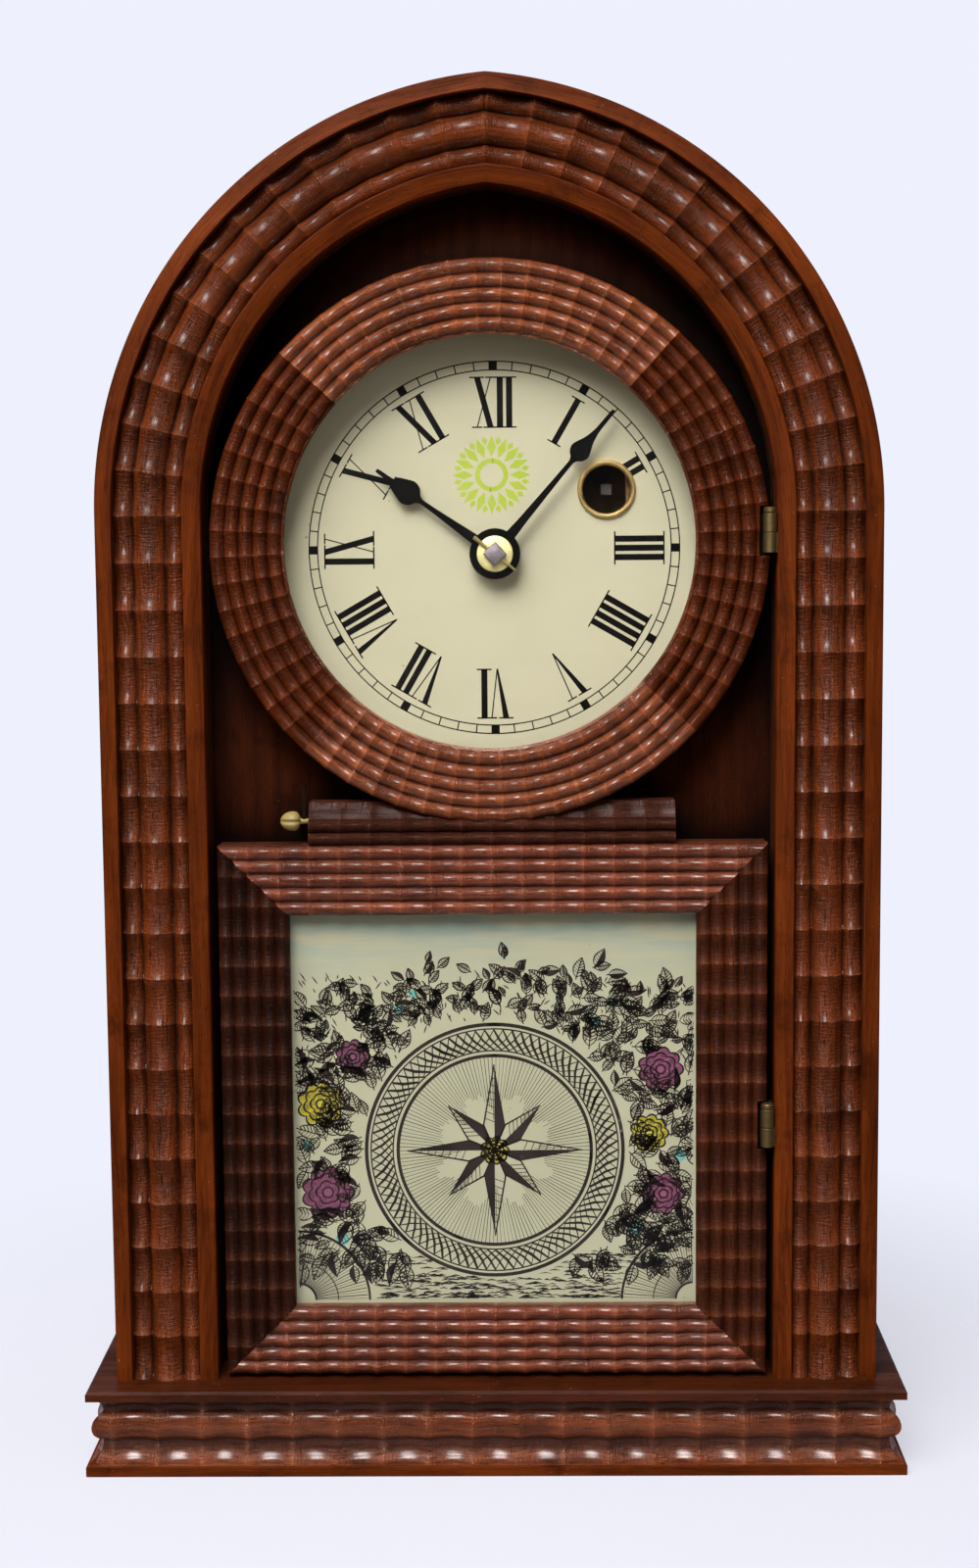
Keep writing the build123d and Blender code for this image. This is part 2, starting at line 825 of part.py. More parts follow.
tablet_half_width = rebate_half_width - glass_clearance
tablet_height = rebate_height - 2 * glass_clearance
tablet_outline = frame_place * Rectangle(2 * tablet_half_width, tablet_height)
save(board(tablet_outline, door_core_front, glass_back), "tablet_glass")
picture_back = glass_back + picture_thickness
save(board(tablet_outline, glass_back, picture_back), "tablet_picture")


def tablet_strips():
    """Two long strips at the sides and two short ones between them."""
    strips = []
    half_height = rebate_height / 2 - glue_gap
    strip_back = picture_back + glazing_strip_thickness
    for side in (-1, 1):
        outer = side * (rebate_half_width - glue_gap)
        inner = outer - side * glazing_strip_width
        edges = sorted((door_middle_x + outer, door_middle_x + inner))
        strips.append(block(
            *edges, frame_middle_height - half_height, frame_middle_height + half_height,
            picture_back, strip_back,
        ))
        long_half = rebate_half_width - glazing_strip_width - 2 * glue_gap
        heights = sorted((
            frame_middle_height + side * half_height,
            frame_middle_height + side * (half_height - glazing_strip_width),
        ))
        strips.append(block(
            door_middle_x - long_half, door_middle_x + long_half, *heights, picture_back, strip_back,
        ))
    return strips


save(Compound(tablet_strips()), "tablet_strips")


# Hinges
jamb_x = case_half_width - arch_moulding_width
hinge_y = y_at(hinge_depth)
upper_knuckle = hinge_length * 0.48
lower_knuckle = hinge_length - upper_knuckle - hinge_knuckle_gap


def upright(x, y, low, high, radius):
    return Pos(x, y, (low + high) / 2) * Cylinder(radius, high - low)


def upright_bar(x, y, low, high, outline):
    """An upright piece with few facets, from an outline drawn round its axis."""
    return Pos(x, y, low) * extrude(outline, amount=high - low)


def knuckle(low, high, bore):
    """A length of a hinge's barrel with a bore for the pin."""
    outline = few_sided(hinge_barrel_radius) - few_sided_hole(bore)
    return upright_bar(hinge_x, hinge_y, low, high, outline)


def hinge(middle_height):
    """The door leaf, the case leaf and the headed pin of one hinge."""
    bottom = middle_height - hinge_length / 2
    joint_low = bottom + lower_knuckle
    joint_high = joint_low + hinge_knuckle_gap
    top = middle_height + hinge_length / 2
    bore = hinge_pin_radius + hinge_pin_clearance
    door_leaf = block(
        door_leaf_left, door_leaf_left + hinge_leaf_thickness, bottom, top,
        hinge_notch_depth, hinge_leaf_depth,
    )
    door_leaf += block(
        door_leaf_left, door_leaf_left + hinge_leaf_thickness, joint_high, top,
        hinge_depth + bore, hinge_notch_depth,
    )
    door_leaf += knuckle(joint_high, top, bore)
    case_leaf = block(
        jamb_x - hinge_leaf_thickness, jamb_x, bottom, top,
        hinge_notch_depth + hinge_web_step, hinge_leaf_depth,
    )
    case_leaf += block(
        jamb_x - hinge_leaf_thickness, jamb_x, bottom, joint_low,
        hinge_depth, hinge_notch_depth + hinge_web_step,
    )
    case_leaf += knuckle(bottom, joint_low, hinge_pin_radius)
    pin = upright(hinge_x, hinge_y, bottom, top + hinge_knuckle_gap, hinge_pin_radius)
    head_top = top + hinge_head_height
    pin += upright_bar(
        hinge_x, hinge_y, top + hinge_knuckle_gap, head_top, few_sided(hinge_barrel_radius - 0.1)
    )
    return door_leaf, case_leaf, pin


upper_hinge = hinge(upper_hinge_height)
lower_hinge = hinge(lower_hinge_height)
hinge_nodes = ("hinge_door_leaves", "hinge_case_leaves", "hinge_pins")
for node, upper_piece, lower_piece in zip(hinge_nodes, upper_hinge, lower_hinge):
    save(Compound([upper_piece, lower_piece]), node)
save(arch_frame, "arch_frame")
save(ring_core, "door_ring_core")
save(frame_core, "door_frame_core")


# Latch: a knob on a stem in the neck's end, with an arm that drops over a staple when it is turned
latch_end_x = door_middle_x - neck_half_width


def along_x(start, length, radius):
    """A round bar that runs left from a start, on the latch's axis."""
    return Pos(start - length / 2, y_at(latch_depth), latch_height) * Rot(0, 90, 0) * Cylinder(radius, length)


knob_start_x = latch_end_x - latch_knob_start
knob_stations = [
    (0.0, 0.62 * latch_knob_radius),
    (0.3 * latch_knob_length, latch_knob_radius),
    (0.5 * latch_knob_length, 0.75 * latch_knob_radius),
    (0.7 * latch_knob_length, latch_knob_radius),
    (latch_knob_length, 0.55 * latch_knob_radius),
]
knob = Pos(knob_start_x, y_at(latch_depth), latch_height) * Rot(0, -90, 0) * turned(knob_stations, 12)
latch = knob + along_x(
    latch_end_x + latch_stem_in_door, latch_stem_in_door + latch_knob_start, latch_stem_radius
)
arm_right = latch_end_x - latch_arm_start
arm_left = arm_right - latch_arm_thickness
latch += block(
    arm_left, arm_right, latch_height, latch_height + latch_arm_length,
    latch_depth - latch_wire / 2, latch_depth + latch_wire / 2,
)
latch += block(
    arm_left, arm_right, latch_height + latch_arm_length - latch_wire, latch_height + latch_arm_length,
    latch_depth - latch_wire / 2, latch_depth + latch_hook_drop,
)
save(latch, "latch_knob")

# The staple stands where the hook comes down when the arm has turned back by a right angle
staple_clearance = 0.3
staple_bar_depth = latch_depth + latch_arm_length - 2.4 * latch_wire
staple_x = (arm_left + arm_right) / 2
staple_bar_height = latch_height - latch_wire - staple_clearance
staple_height_low = staple_bar_height - latch_wire / 2
staple = block(
    staple_x - staple_half_width, staple_x + staple_half_width,
    staple_height_low, staple_height_low + latch_wire,
    staple_bar_depth - latch_wire / 2, staple_bar_depth + latch_wire / 2,
)
for side in (-1, 1):
    leg_x = staple_x + side * (staple_half_width - latch_wire / 2)
    staple += block(
        leg_x - latch_wire / 2, leg_x + latch_wire / 2,
        staple_height_low, staple_height_low + latch_wire,
        staple_bar_depth, dial_board_front + staple_reach,
    )
save(staple, "latch_staple")
dial_board -= staple
save(dial_board, "dial_board")


# Dial and the grommet round the winding hole
dial_holes = Pos(hand_arbor_x, hand_arbor_height) * few_sided_hole(dial_hole_radius)
dial_holes += Pos(winding_arbor_x, winding_arbor_height) * few_sided_hole(
    grommet_inner_radius + grommet_sleeve, grommet_sides
)
dial_outline = Pos(dial_middle_x, dial_middle_height) * few_sided(dial_radius, dial_sides)
save(board(dial_outline - dial_holes, dial_front, dial_board_front), "dial_plate")

grommet_hole = few_sided(grommet_inner_radius, grommet_sides)
grommet_place = Pos(winding_arbor_x, winding_arbor_height)
grommet = board(
    grommet_place * (few_sided(grommet_outer_radius, grommet_sides) - grommet_hole),
    dial_front - grommet_height, dial_front,
)
grommet += board(
    grommet_place * (few_sided(grommet_inner_radius + grommet_sleeve, grommet_sides) - grommet_hole),
    dial_front, dial_front + grommet_sleeve_length,
)
save(grommet, "winding_grommet")


# Hands
hour_hand_off_dial = 3.8
minute_hand_off_hour_hand = 2.8
arbor_past_pin = 1.4
hour_hand_front = dial_front - hour_hand_off_dial
minute_hand_front = hour_hand_front - minute_hand_off_hour_hand
washer_front = minute_hand_front - washer_thickness
taper_pin_depth = washer_front - taper_pin_thick_end
arbor_tip_depth = taper_pin_depth - arbor_past_pin


def hand_outline(length, bulb_distance, bulb_width, bulb_length):
    """A spade hand that points along +X, with its hub at the origin."""
    bulb_radius = bulb_width / 2
    root = Polyline(
        (0, -hand_root_width / 2),
        (bulb_distance, -hand_neck_width / 2),
        (bulb_distance, hand_neck_width / 2),
        (0, hand_root_width / 2),
        close=True,
    )
    bulb_tip = bulb_distance + bulb_length - bulb_radius
    shoulder = bulb_radius * bulb_radius / (bulb_length - bulb_radius)
    half_width = math.sqrt(bulb_radius**2 - shoulder**2)
    taper = Polyline(
        (bulb_distance + shoulder, -half_width),
        (bulb_tip, 0),
        (bulb_distance + shoulder, half_width),
        close=True,
    )
    tip = Polyline(
        (bulb_distance, -hand_tip_width),
        (length, -hand_tip_width / 2),
        (length, hand_tip_width / 2),
        (bulb_distance, hand_tip_width),
        close=True,
    )
    bulb = Pos(bulb_distance, 0) * few_sided(bulb_radius)
    return few_sided(hand_hub_radius, hub_sides) + make_face(root) + bulb + make_face(taper) + make_face(tip)


def hand(outline, angle, hole, front):
    place = Pos(hand_arbor_x, hand_arbor_height) * Rot(0, 0, angle)
    return board(place * (outline - hole), front, front + hand_thickness)


minute_outline = hand_outline(minute_hand_length, minute_bulb_distance, minute_bulb_width, minute_bulb_length)
hour_outline = hand_outline(hour_hand_length, hour_bulb_distance, hour_bulb_width, hour_bulb_length)
square_hole = Rectangle(hand_square + 0.04, hand_square + 0.04)
save(hand(minute_outline, minute_hand_angle, square_hole, minute_hand_front), "minute_hand")
pipe_hole = few_sided_hole(hour_pipe_radius, pipe_sides)
save(hand(hour_outline, hour_hand_angle, pipe_hole, hour_hand_front), "hour_hand")

washer = board(
    Pos(hand_arbor_x, hand_arbor_height) * (
        few_sided(washer_radius, hub_sides) - few_sided_hole(washer_hole_radius, 8)
    ),
    washer_front, minute_hand_front,
)
save(washer, "hand_washer")

taper_pin = turned(
    [(-taper_pin_length / 2, taper_pin_thick_end), (taper_pin_length / 2, taper_pin_thin_end)], 8
)
pin_place = Pos(hand_arbor_x, y_at(taper_pin_depth), hand_arbor_height) * Rot(0, 90 + taper_pin_tilt, 0)
taper_pin = pin_place * taper_pin
save(taper_pin, "hand_taper_pin")


# Movement geometry: each arbor stands where its wheels mesh
great_distance = math.hypot(winding_arbor_x - hand_arbor_x, winding_arbor_height - hand_arbor_height)
great_angle = math.degrees(
    math.atan2(winding_arbor_height - hand_arbor_height, winding_arbor_x - hand_arbor_x)
)
great_module = 2 * great_distance / (great_wheel_teeth + centre_pinion_leaves)
centre_to_third = centre_module * (centre_wheel_teeth + third_pinion_leaves) / 2
third_to_escape = third_module * (third_wheel_teeth + escape_pinion_leaves) / 2
third_rise = (centre_to_third**2 - third_to_escape**2 + escape_arbor_above_hands**2) / (
    2 * escape_arbor_above_hands
)
third_shift = math.sqrt(centre_to_third**2 - third_rise**2)
third_arbor_x = hand_arbor_x - third_shift
third_arbor_height = hand_arbor_height + third_rise
escape_arbor_height = hand_arbor_height + escape_arbor_above_hands
verge_height = escape_arbor_height + verge_above_escape
third_angle = math.degrees(math.atan2(third_rise, -third_shift))
escape_angle = math.degrees(math.atan2(escape_arbor_above_hands - third_rise, third_shift))
motion_distance = motion_module * (cannon_teeth + minute_wheel_teeth) / 2
hour_module = 2 * motion_distance / (hour_wheel_teeth + minute_pinion_leaves)
minute_arbor_x = hand_arbor_x + motion_distance * math.cos(math.radians(motion_minute_angle))
minute_arbor_height = hand_arbor_height + motion_distance * math.sin(math.radians(motion_minute_angle))

great_wheel_turn = mesh_turn(centre_pinion_leaves, 0, great_wheel_teeth, great_angle)
third_turn = mesh_turn(centre_wheel_teeth, 0, third_pinion_leaves, third_angle)
escape_turn = mesh_turn(third_wheel_teeth, third_turn, escape_pinion_leaves, escape_angle)
minute_wheel_turn = mesh_turn(cannon_teeth, 0, minute_wheel_teeth, motion_minute_angle)
hour_wheel_turn = mesh_turn(
    minute_pinion_leaves, minute_wheel_turn, hour_wheel_teeth, motion_minute_angle + 180
)



def arbor(x, height, radius=arbor_radius, pivot=pivot_radius):
    """A steel arbor between the plates with a thinner pivot at each end."""
    body = bar(x, height, radius, plate_inside + arbor_shake, back_plate_front - arbor_shake)
    return body + bar(x, height, pivot, plate_front, back_plate_back)


# The centre wheel and its pinion are one piece that slips on the centre arbor when the hands are set
centre_wheel = wheel(
    hand_arbor_x, hand_arbor_height, centre_wheel_teeth, centre_module, centre_wheel_front
)
pinion_front = great_wheel_front - pinion_overhang
centre_wheel += bar(
    hand_arbor_x, hand_arbor_height, sleeve_radius, centre_wheel_front, pinion_front
)
centre_wheel += pinion(
    hand_arbor_x, hand_arbor_height, centre_pinion_leaves, great_module,
    pinion_front, great_wheel_front + wheel_thickness + pinion_overhang,
)
centre_wheel -= board(
    Pos(hand_arbor_x, hand_arbor_height) * few_sided_hole(arbor_radius + friction_clearance, 8),
    plate_front, case_depth,
)
save(centre_wheel, "centre_wheel")

# Centre arbor with the cannon pinion and the square for the minute hand
centre = arbor(hand_arbor_x, hand_arbor_height)
cannon_front = minute_wheel_front - cannon_overhang
centre += pinion(
    hand_arbor_x, hand_arbor_height, cannon_teeth, motion_module,
    cannon_front, minute_wheel_front + wheel_thickness + cannon_overhang,
)
centre += bar(
    hand_arbor_x, hand_arbor_height, cannon_pipe_radius,
    minute_hand_front + hand_thickness, cannon_front, pipe_sides,
)
centre += bar(hand_arbor_x, hand_arbor_height, pivot_radius, minute_wheel_front, plate_inside + 1)
centre += board(
    Pos(hand_arbor_x, hand_arbor_height) * Rot(0, 0, minute_hand_angle) * Rectangle(hand_square, hand_square),
    arbor_tip_depth, minute_hand_front + hand_thickness,
)
centre -= taper_pin
save(centre, "centre_arbor")

# Motion work: the minute wheel turns on a stud of the front plate, the hour wheel on the cannon pipe
minute_wheel = wheel(
    minute_arbor_x, minute_arbor_height, minute_wheel_teeth, motion_module,
    minute_wheel_front, minute_wheel_turn,
)
minute_wheel += pinion(
    minute_arbor_x, minute_arbor_height, minute_pinion_leaves, hour_module,
    hour_wheel_front - cannon_overhang, minute_wheel_front, minute_wheel_turn,
)
minute_wheel -= board(
    Pos(minute_arbor_x, minute_arbor_height) * few_sided_hole(pivot_radius + pivot_clearance, 8),
    dial_board_back, plate_front,
)
save(minute_wheel, "minute_wheel")

hour_wheel = wheel(
    hand_arbor_x, hand_arbor_height, hour_wheel_teeth, hour_module, hour_wheel_front, hour_wheel_turn
)
hour_wheel += bar(
    hand_arbor_x, hand_arbor_height, hour_pipe_radius, hour_hand_front, hour_wheel_front, pipe_sides
)
hour_wheel -= board(
    Pos(hand_arbor_x, hand_arbor_height) * few_sided_hole(cannon_pipe_radius + pipe_clearance, pipe_sides),
    0, case_depth,
)
save(hour_wheel, "hour_wheel")

third = arbor(third_arbor_x, third_arbor_height)
third += wheel(
    third_arbor_x, third_arbor_height, third_wheel_teeth, third_module, third_wheel_front, third_turn
)
third += pinion(
    third_arbor_x, third_arbor_height, third_pinion_leaves, centre_module,
    centre_wheel_front - pinion_overhang, centre_wheel_front + wheel_thickness + pinion_overhang, third_turn,
)
save(third, "third_wheel")

escape = arbor(hand_arbor_x, escape_arbor_height)
escape += wheel(
    hand_arbor_x, escape_arbor_height, escape_wheel_teeth, 2 * escape_wheel_radius / escape_wheel_teeth,
    escape_wheel_front,
)
escape += pinion(
    hand_arbor_x, escape_arbor_height, escape_pinion_leaves, third_module,
    third_wheel_front - pinion_overhang, third_wheel_front + wheel_thickness + pinion_overhang, escape_turn,
)
save(escape, "escape_wheel")

# Going power: the great wheel rides on the winding arbor, and the click on it holds the ratchet
ratchet = gear_outline(ratchet_teeth, 2 * ratchet_radius / ratchet_teeth)
ratchet_tip = ratchet_radius * (1 + 0.85 * 2 / ratchet_teeth)
winding_place = Pos(winding_arbor_x, winding_arbor_height)
winding = bar(
    winding_arbor_x, winding_arbor_height, winding_body_radius, plate_inside + arbor_shake, ratchet_front,
    pipe_sides,
)
winding += bar(
    winding_arbor_x, winding_arbor_height, winding_pivot_radius,
    plate_front - winding_shoulder, back_plate_back, pipe_sides
)
winding += board(
    winding_place * Rectangle(winding_square, winding_square),
    dial_board_front + winding_square_recess, plate_front,
)
winding += board(winding_place * ratchet, ratchet_front, ratchet_front + ratchet_thickness)
save(winding, "winding_arbor")

great_outline = gear_outline(great_wheel_teeth, great_module, great_wheel_turn)
great_outline -= few_sided_hole(winding_body_radius + pipe_clearance, pipe_sides)
great_wheel = board(winding_place * great_outline, great_wheel_front, great_wheel_front + wheel_thickness)
click_x = winding_arbor_x + click_reach * math.cos(math.radians(click_angle))
click_height = winding_arbor_height + click_reach * math.sin(math.radians(click_angle))
great_wheel += bar(
    click_x, click_height, click_stud_radius, great_wheel_front + wheel_thickness,
    ratchet_front + ratchet_thickness,
)
save(great_wheel, "great_wheel")

click_outline = few_sided(click_boss_radius) + make_face(Polyline(
    (0, -click_boss_radius),
    (click_nose, -click_nose_low),
    (click_nose, click_nose_high),
    (0, click_boss_radius),
    close=True,
))
click_place = Pos(click_x, click_height) * Rot(0, 0, click_angle + 180 + click_lean)
click_outline = click_place * (click_outline - few_sided_hole(click_stud_radius + glue_gap, 8))
click_outline -= winding_place * few_sided_hole(ratchet_tip + click_clearance, 24)
save(board(click_outline, ratchet_front, ratchet_front + ratchet_thickness), "click")


def spring_outline(inner, outer, turns, steps_in_turn, band):
    """A flat spiral band from the arbor out to the pillar hook."""
    inside = []
    outside = []
    for index in range(turns * steps_in_turn + 1):
        angle = 2 * math.pi * index / steps_in_turn
        radius = inner + (outer - inner) * index / (turns * steps_in_turn)
        inside.append((radius * math.cos(angle), radius * math.sin(angle)))
        outside.append(((radius + band) * math.cos(angle), (radius + band) * math.sin(angle)))
    return make_face(Polyline(*inside, *reversed(outside), close=True))


mainspring = board(
    winding_place * spring_outline(
        winding_body_radius + 0.6, mainspring_outer, mainspring_turns, mainspring_steps, mainspring_band
    ),
    spring_front, great_wheel_front - spring_side_gap,
)
save(mainspring, "mainspring")

# Verge and crutch
pallet_reach = escape_wheel_radius * (1 + 0.85 * 2 / escape_wheel_teeth) + 0.8
pallet_angle = math.radians(38)
pallet_x = pallet_reach * math.sin(pallet_angle)
pallet_drop = verge_above_escape - pallet_reach * math.cos(pallet_angle)
pallet_thickness = 1.1
pallet_height = 5.6
verge_strap_top = 2.4
verge_strap_foot = -2.0
verge_side = [
    (0, verge_strap_top),
    (pallet_x + 2 * pallet_thickness, -pallet_drop + pallet_height),
    (pallet_x + pallet_thickness, -pallet_drop),
    (pallet_x, -pallet_drop),
    (pallet_x - pallet_thickness, -pallet_drop + pallet_height - pallet_thickness),
    (0, verge_strap_foot),
]
verge_outline = make_face(Polyline(*verge_side, close=True))
verge_outline += mirror(verge_outline, about=Plane.YZ)
verge_depth = 3.0
verge = board(
    Pos(hand_arbor_x, verge_height) * verge_outline,
    escape_wheel_front - (verge_depth - wheel_thickness) / 2,
    escape_wheel_front + (verge_depth + wheel_thickness) / 2,
)
crutch_front = back_plate_back + 1.2 * room_share
crutch_thickness = 1.4 * room_share
crutch_half_width = 1.0
crutch_length = 44.0
fork_gap = pendulum_rod_radius + 0.3
fork_wall = 1.2
fork_height = 1.6
fork_past_rod = 3.0
fork_foot = verge_height - crutch_length
verge += bar(
    hand_arbor_x, verge_height, arbor_radius, plate_inside + arbor_shake, crutch_front + crutch_thickness
)
verge += bar(hand_arbor_x, verge_height, pivot_radius, plate_front, plate_inside + 1)
verge += block(
    hand_arbor_x - crutch_half_width, hand_arbor_x + crutch_half_width, fork_foot, verge_height,
    crutch_front, crutch_front + crutch_thickness,
)
fork = block(
    hand_arbor_x - fork_gap - fork_wall, hand_arbor_x + fork_gap + fork_wall,
    fork_foot, fork_foot + fork_height,
    crutch_front, pendulum_depth + fork_past_rod,
)
fork -= block(
    hand_arbor_x - fork_gap, hand_arbor_x + fork_gap,
    fork_foot - 1, fork_foot + fork_height + 1,
    crutch_front + crutch_thickness + 1, pendulum_depth + fork_past_rod + 1,
)
save(verge + fork, "verge")

# Pendulum
spring_strip = 0.3
spring_strip_half_depth = 2.2
spring_strip_rise = 9.0
ferrule_drop = 5.0
ferrule_height = 6.0
ferrule_half_width = 1.6
ferrule_half_depth = 2.6
rod_below_nut = 5.0
ferrule_top = verge_height - ferrule_drop
bob_height = verge_height - pendulum_length
rod_foot = bob_height - bob_radius - rating_nut_height - rod_below_nut
pendulum = upright_bar(
    hand_arbor_x, y_at(pendulum_depth), rod_foot, ferrule_top - 1, few_sided(pendulum_rod_radius, 8)
)
pendulum += block(
    hand_arbor_x - ferrule_half_width, hand_arbor_x + ferrule_half_width,
    ferrule_top - ferrule_height, ferrule_top,
    pendulum_depth - ferrule_half_depth, pendulum_depth + ferrule_half_depth,
)
strip_top = verge_height + spring_strip_rise
pendulum += block(
    hand_arbor_x - spring_strip / 2, hand_arbor_x + spring_strip / 2, ferrule_top - 1, strip_top,
    pendulum_depth - spring_strip_half_depth, pendulum_depth + spring_strip_half_depth,
)
save(pendulum, "pendulum_rod")

bob_stations = [
    (-bob_thickness / 2, 0.5 * bob_radius),
    (-0.07 * bob_thickness, bob_radius),
    (0.07 * bob_thickness, bob_radius),
    (bob_thickness / 2, 0.5 * bob_radius),
]
bob_place = Pos(hand_arbor_x, y_at(pendulum_depth), bob_height)
bob = bob_place * Rot(90, 0, 0) * turned(bob_stations, bob_sides)
rod_bore = upright_bar(
    hand_arbor_x, y_at(pendulum_depth), rod_foot - 1, ferrule_top,
    few_sided_hole(pendulum_rod_radius + glue_gap, 8),
)
save(bob - rod_bore, "pendulum_bob")
nut = upright_bar(
    hand_arbor_x, y_at(pendulum_depth), bob_height - bob_radius - rating_nut_height,
    bob_height - bob_radius, few_sided(rating_nut_radius),
)
save(nut - rod_bore, "rating_nut")

# Suspension cock: a bracket on the back plate whose slot holds the suspension strip
strip_clearance = 0.6
cock_thickness = 2.0
cock_foot_half_width = 5.0
cock_arm_half_width = 3.0
cock_past_strip = 4.0
cock_low = verge_height + 3.0
cock_top = verge_height + 14.0
slot_half = spring_strip / 2 + strip_clearance
cock_foot_back = back_plate_back + cock_thickness
cock = block(
    hand_arbor_x - cock_foot_half_width, hand_arbor_x + cock_foot_half_width, cock_low, cock_top,
    back_plate_back, cock_foot_back,
)
cock += block(
    hand_arbor_x - cock_arm_half_width, hand_arbor_x + cock_arm_half_width, cock_low, cock_top,
    cock_foot_back, pendulum_depth + cock_past_strip,
)
cock -= block(
    hand_arbor_x - slot_half, hand_arbor_x + slot_half, cock_low - 1, strip_top + 0.5,
    pendulum_depth - spring_strip_half_depth - strip_clearance, pendulum_depth + cock_past_strip + 1,
)
save(cock, "suspension_cock")

# Plates, pillars and the battens that hold the movement to the dial board
plate_width = plate_right - plate_left
plate_height = plate_top - plate_bottom
plate_middle = Pos((plate_left + plate_right) / 2, (plate_top + plate_bottom) / 2)
plate_face = Rectangle(plate_width, plate_height)
plate_outline = plate_middle * chamfer(plate_face.vertices(), plate_corner)
pillar_places = []
for pillar_x in (plate_left + pillar_inset, plate_right - pillar_inset):
    for pillar_height in (plate_bottom + pillar_inset, plate_top - pillar_inset):
        pillar_places.append((pillar_x, pillar_height))

pivot_places = (
    (third_arbor_x, third_arbor_height),
    (hand_arbor_x, escape_arbor_height),
    (hand_arbor_x, hand_arbor_height),
)
verge_place = Pos(hand_arbor_x, verge_height)
front_face = plate_outline - winding_place * Circle(winding_pivot_radius + pipe_clearance)
front_face -= verge_place * Circle(pivot_radius + pivot_clearance)
back_face = plate_outline - winding_place * few_sided_hole(winding_pivot_radius + pipe_clearance)
back_face -= verge_place * few_sided_hole(arbor_radius + pivot_clearance)
for pivot_x, pivot_height in pivot_places:
    front_face -= Pos(pivot_x, pivot_height) * Circle(pivot_radius + pivot_clearance)
    back_face -= Pos(pivot_x, pivot_height) * few_sided_hole(pivot_radius + pivot_clearance)
front_plate = board(front_face, plate_front, plate_inside)
front_plate += bar(
    minute_arbor_x, minute_arbor_height, pivot_radius, hour_wheel_front - minute_stud_overhang, plate_front
)
save(front_plate, "movement_front_plate")
save(board(back_face, back_plate_front, back_plate_back), "movement_back_plate")

pillars = []
for pillar_x, pillar_height in pillar_places:
    pillars.append(bar(pillar_x, pillar_height, pillar_radius, plate_inside, back_plate_front, 12))
save(Compound(pillars), "movement_pillars")

battens = []
batten_low = plate_bottom + batten_end_gap
batten_high = plate_top - batten_end_gap
for batten_x in (plate_left + batten_width / 2, plate_right - batten_width / 2):
    battens.append(block(
        batten_x - batten_width / 2, batten_x + batten_width / 2, batten_low, batten_high,
        dial_board_back, plate_front,
    ))
save(Compound(battens), "movement_battens")
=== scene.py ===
"""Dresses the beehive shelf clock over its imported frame.

The wave mouldings, dial print, tablet picture, hands and small hardware are made here, and every
piece of wood, metal, paint and glass gets its finish. Lengths are millimetres until a point is
placed. Depth is measured back from the front plane of the case.
"""

import logging
import math
import random
from dataclasses import dataclass, field
from enum import Enum

import bmesh
import bpy
from mathutils import Matrix, Vector


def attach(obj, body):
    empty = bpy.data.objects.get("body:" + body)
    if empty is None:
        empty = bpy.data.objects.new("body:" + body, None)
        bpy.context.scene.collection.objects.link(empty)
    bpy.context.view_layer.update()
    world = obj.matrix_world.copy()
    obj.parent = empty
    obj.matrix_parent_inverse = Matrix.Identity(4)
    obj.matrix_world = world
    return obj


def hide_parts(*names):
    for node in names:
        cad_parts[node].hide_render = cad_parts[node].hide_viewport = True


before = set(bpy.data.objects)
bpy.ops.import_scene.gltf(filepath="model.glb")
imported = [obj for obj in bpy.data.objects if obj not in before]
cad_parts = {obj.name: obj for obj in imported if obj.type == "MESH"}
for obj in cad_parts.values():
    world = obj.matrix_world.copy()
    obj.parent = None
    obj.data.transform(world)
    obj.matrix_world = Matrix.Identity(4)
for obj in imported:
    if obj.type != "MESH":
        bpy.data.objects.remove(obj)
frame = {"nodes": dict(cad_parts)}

MILLIMETRE = 0.001
CASE_FRONT = -41.35
CRISP_DEGREES = 32.0
CRISP_RIPPLE_DEGREES = 24.0
FULL_TURN = 2 * math.pi
SIDES = ((-1, "left"), (1, "right"))
BACKWARD = Vector((0, 1, 0))
DOOR_MIDDLE_X = 0.3
HINGE_HEIGHTS = (328.8, 121.8)
ARBOR = (2.0, 322.2)
WINDING_HOLE = (40.9, 344.1)
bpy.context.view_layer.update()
LOG = logging.getLogger("clock")

Colour = tuple[float, float, float]
Point = tuple[float, float]
Outline = list[Point]


def place(x: float, depth: float, height: float) -> Vector:
    """Turns millimetres on the case into a point of the row frame.

    Args:
        x: Distance to the right of the middle.
        depth: Distance back from the front plane of the case.
        height: Distance above the shelf.

    Returns:
        The point in metres.
    """
    return Vector((x, CASE_FRONT + depth, height)) * MILLIMETRE


def spline(points: list[Point], steps: int) -> list[Point]:
    """Rounds a run of points with a Catmull-Rom curve through all of them.

    Args:
        points: The points that the curve passes.
        steps: How many pieces each gap is cut into.

    Returns:
        The points of the smooth run, both ends included.
    """
    padded = [points[0], *points, points[-1]]
    smooth = []
    for index in range(1, len(padded) - 2):
        before, start, end, after = padded[index - 1:index + 3]
        for step in range(steps):
            t = step / steps
            smooth.append(tuple(
                0.5 * (
                    2 * b + (c - a) * t + (2 * a - 5 * b + 4 * c - d) * t * t
                    + (3 * b - a - 3 * c + d) * t**3
                )
                for a, b, c, d in zip(before, start, end, after)
            ))
    return [*smooth, points[-1]]

def around(centre: Point, radius: float, angle: float) -> Point:
    """Gives the point at a radius from a middle, with the angle in radians from +X."""
    return (centre[0] + radius * math.cos(angle), centre[1] + radius * math.sin(angle))


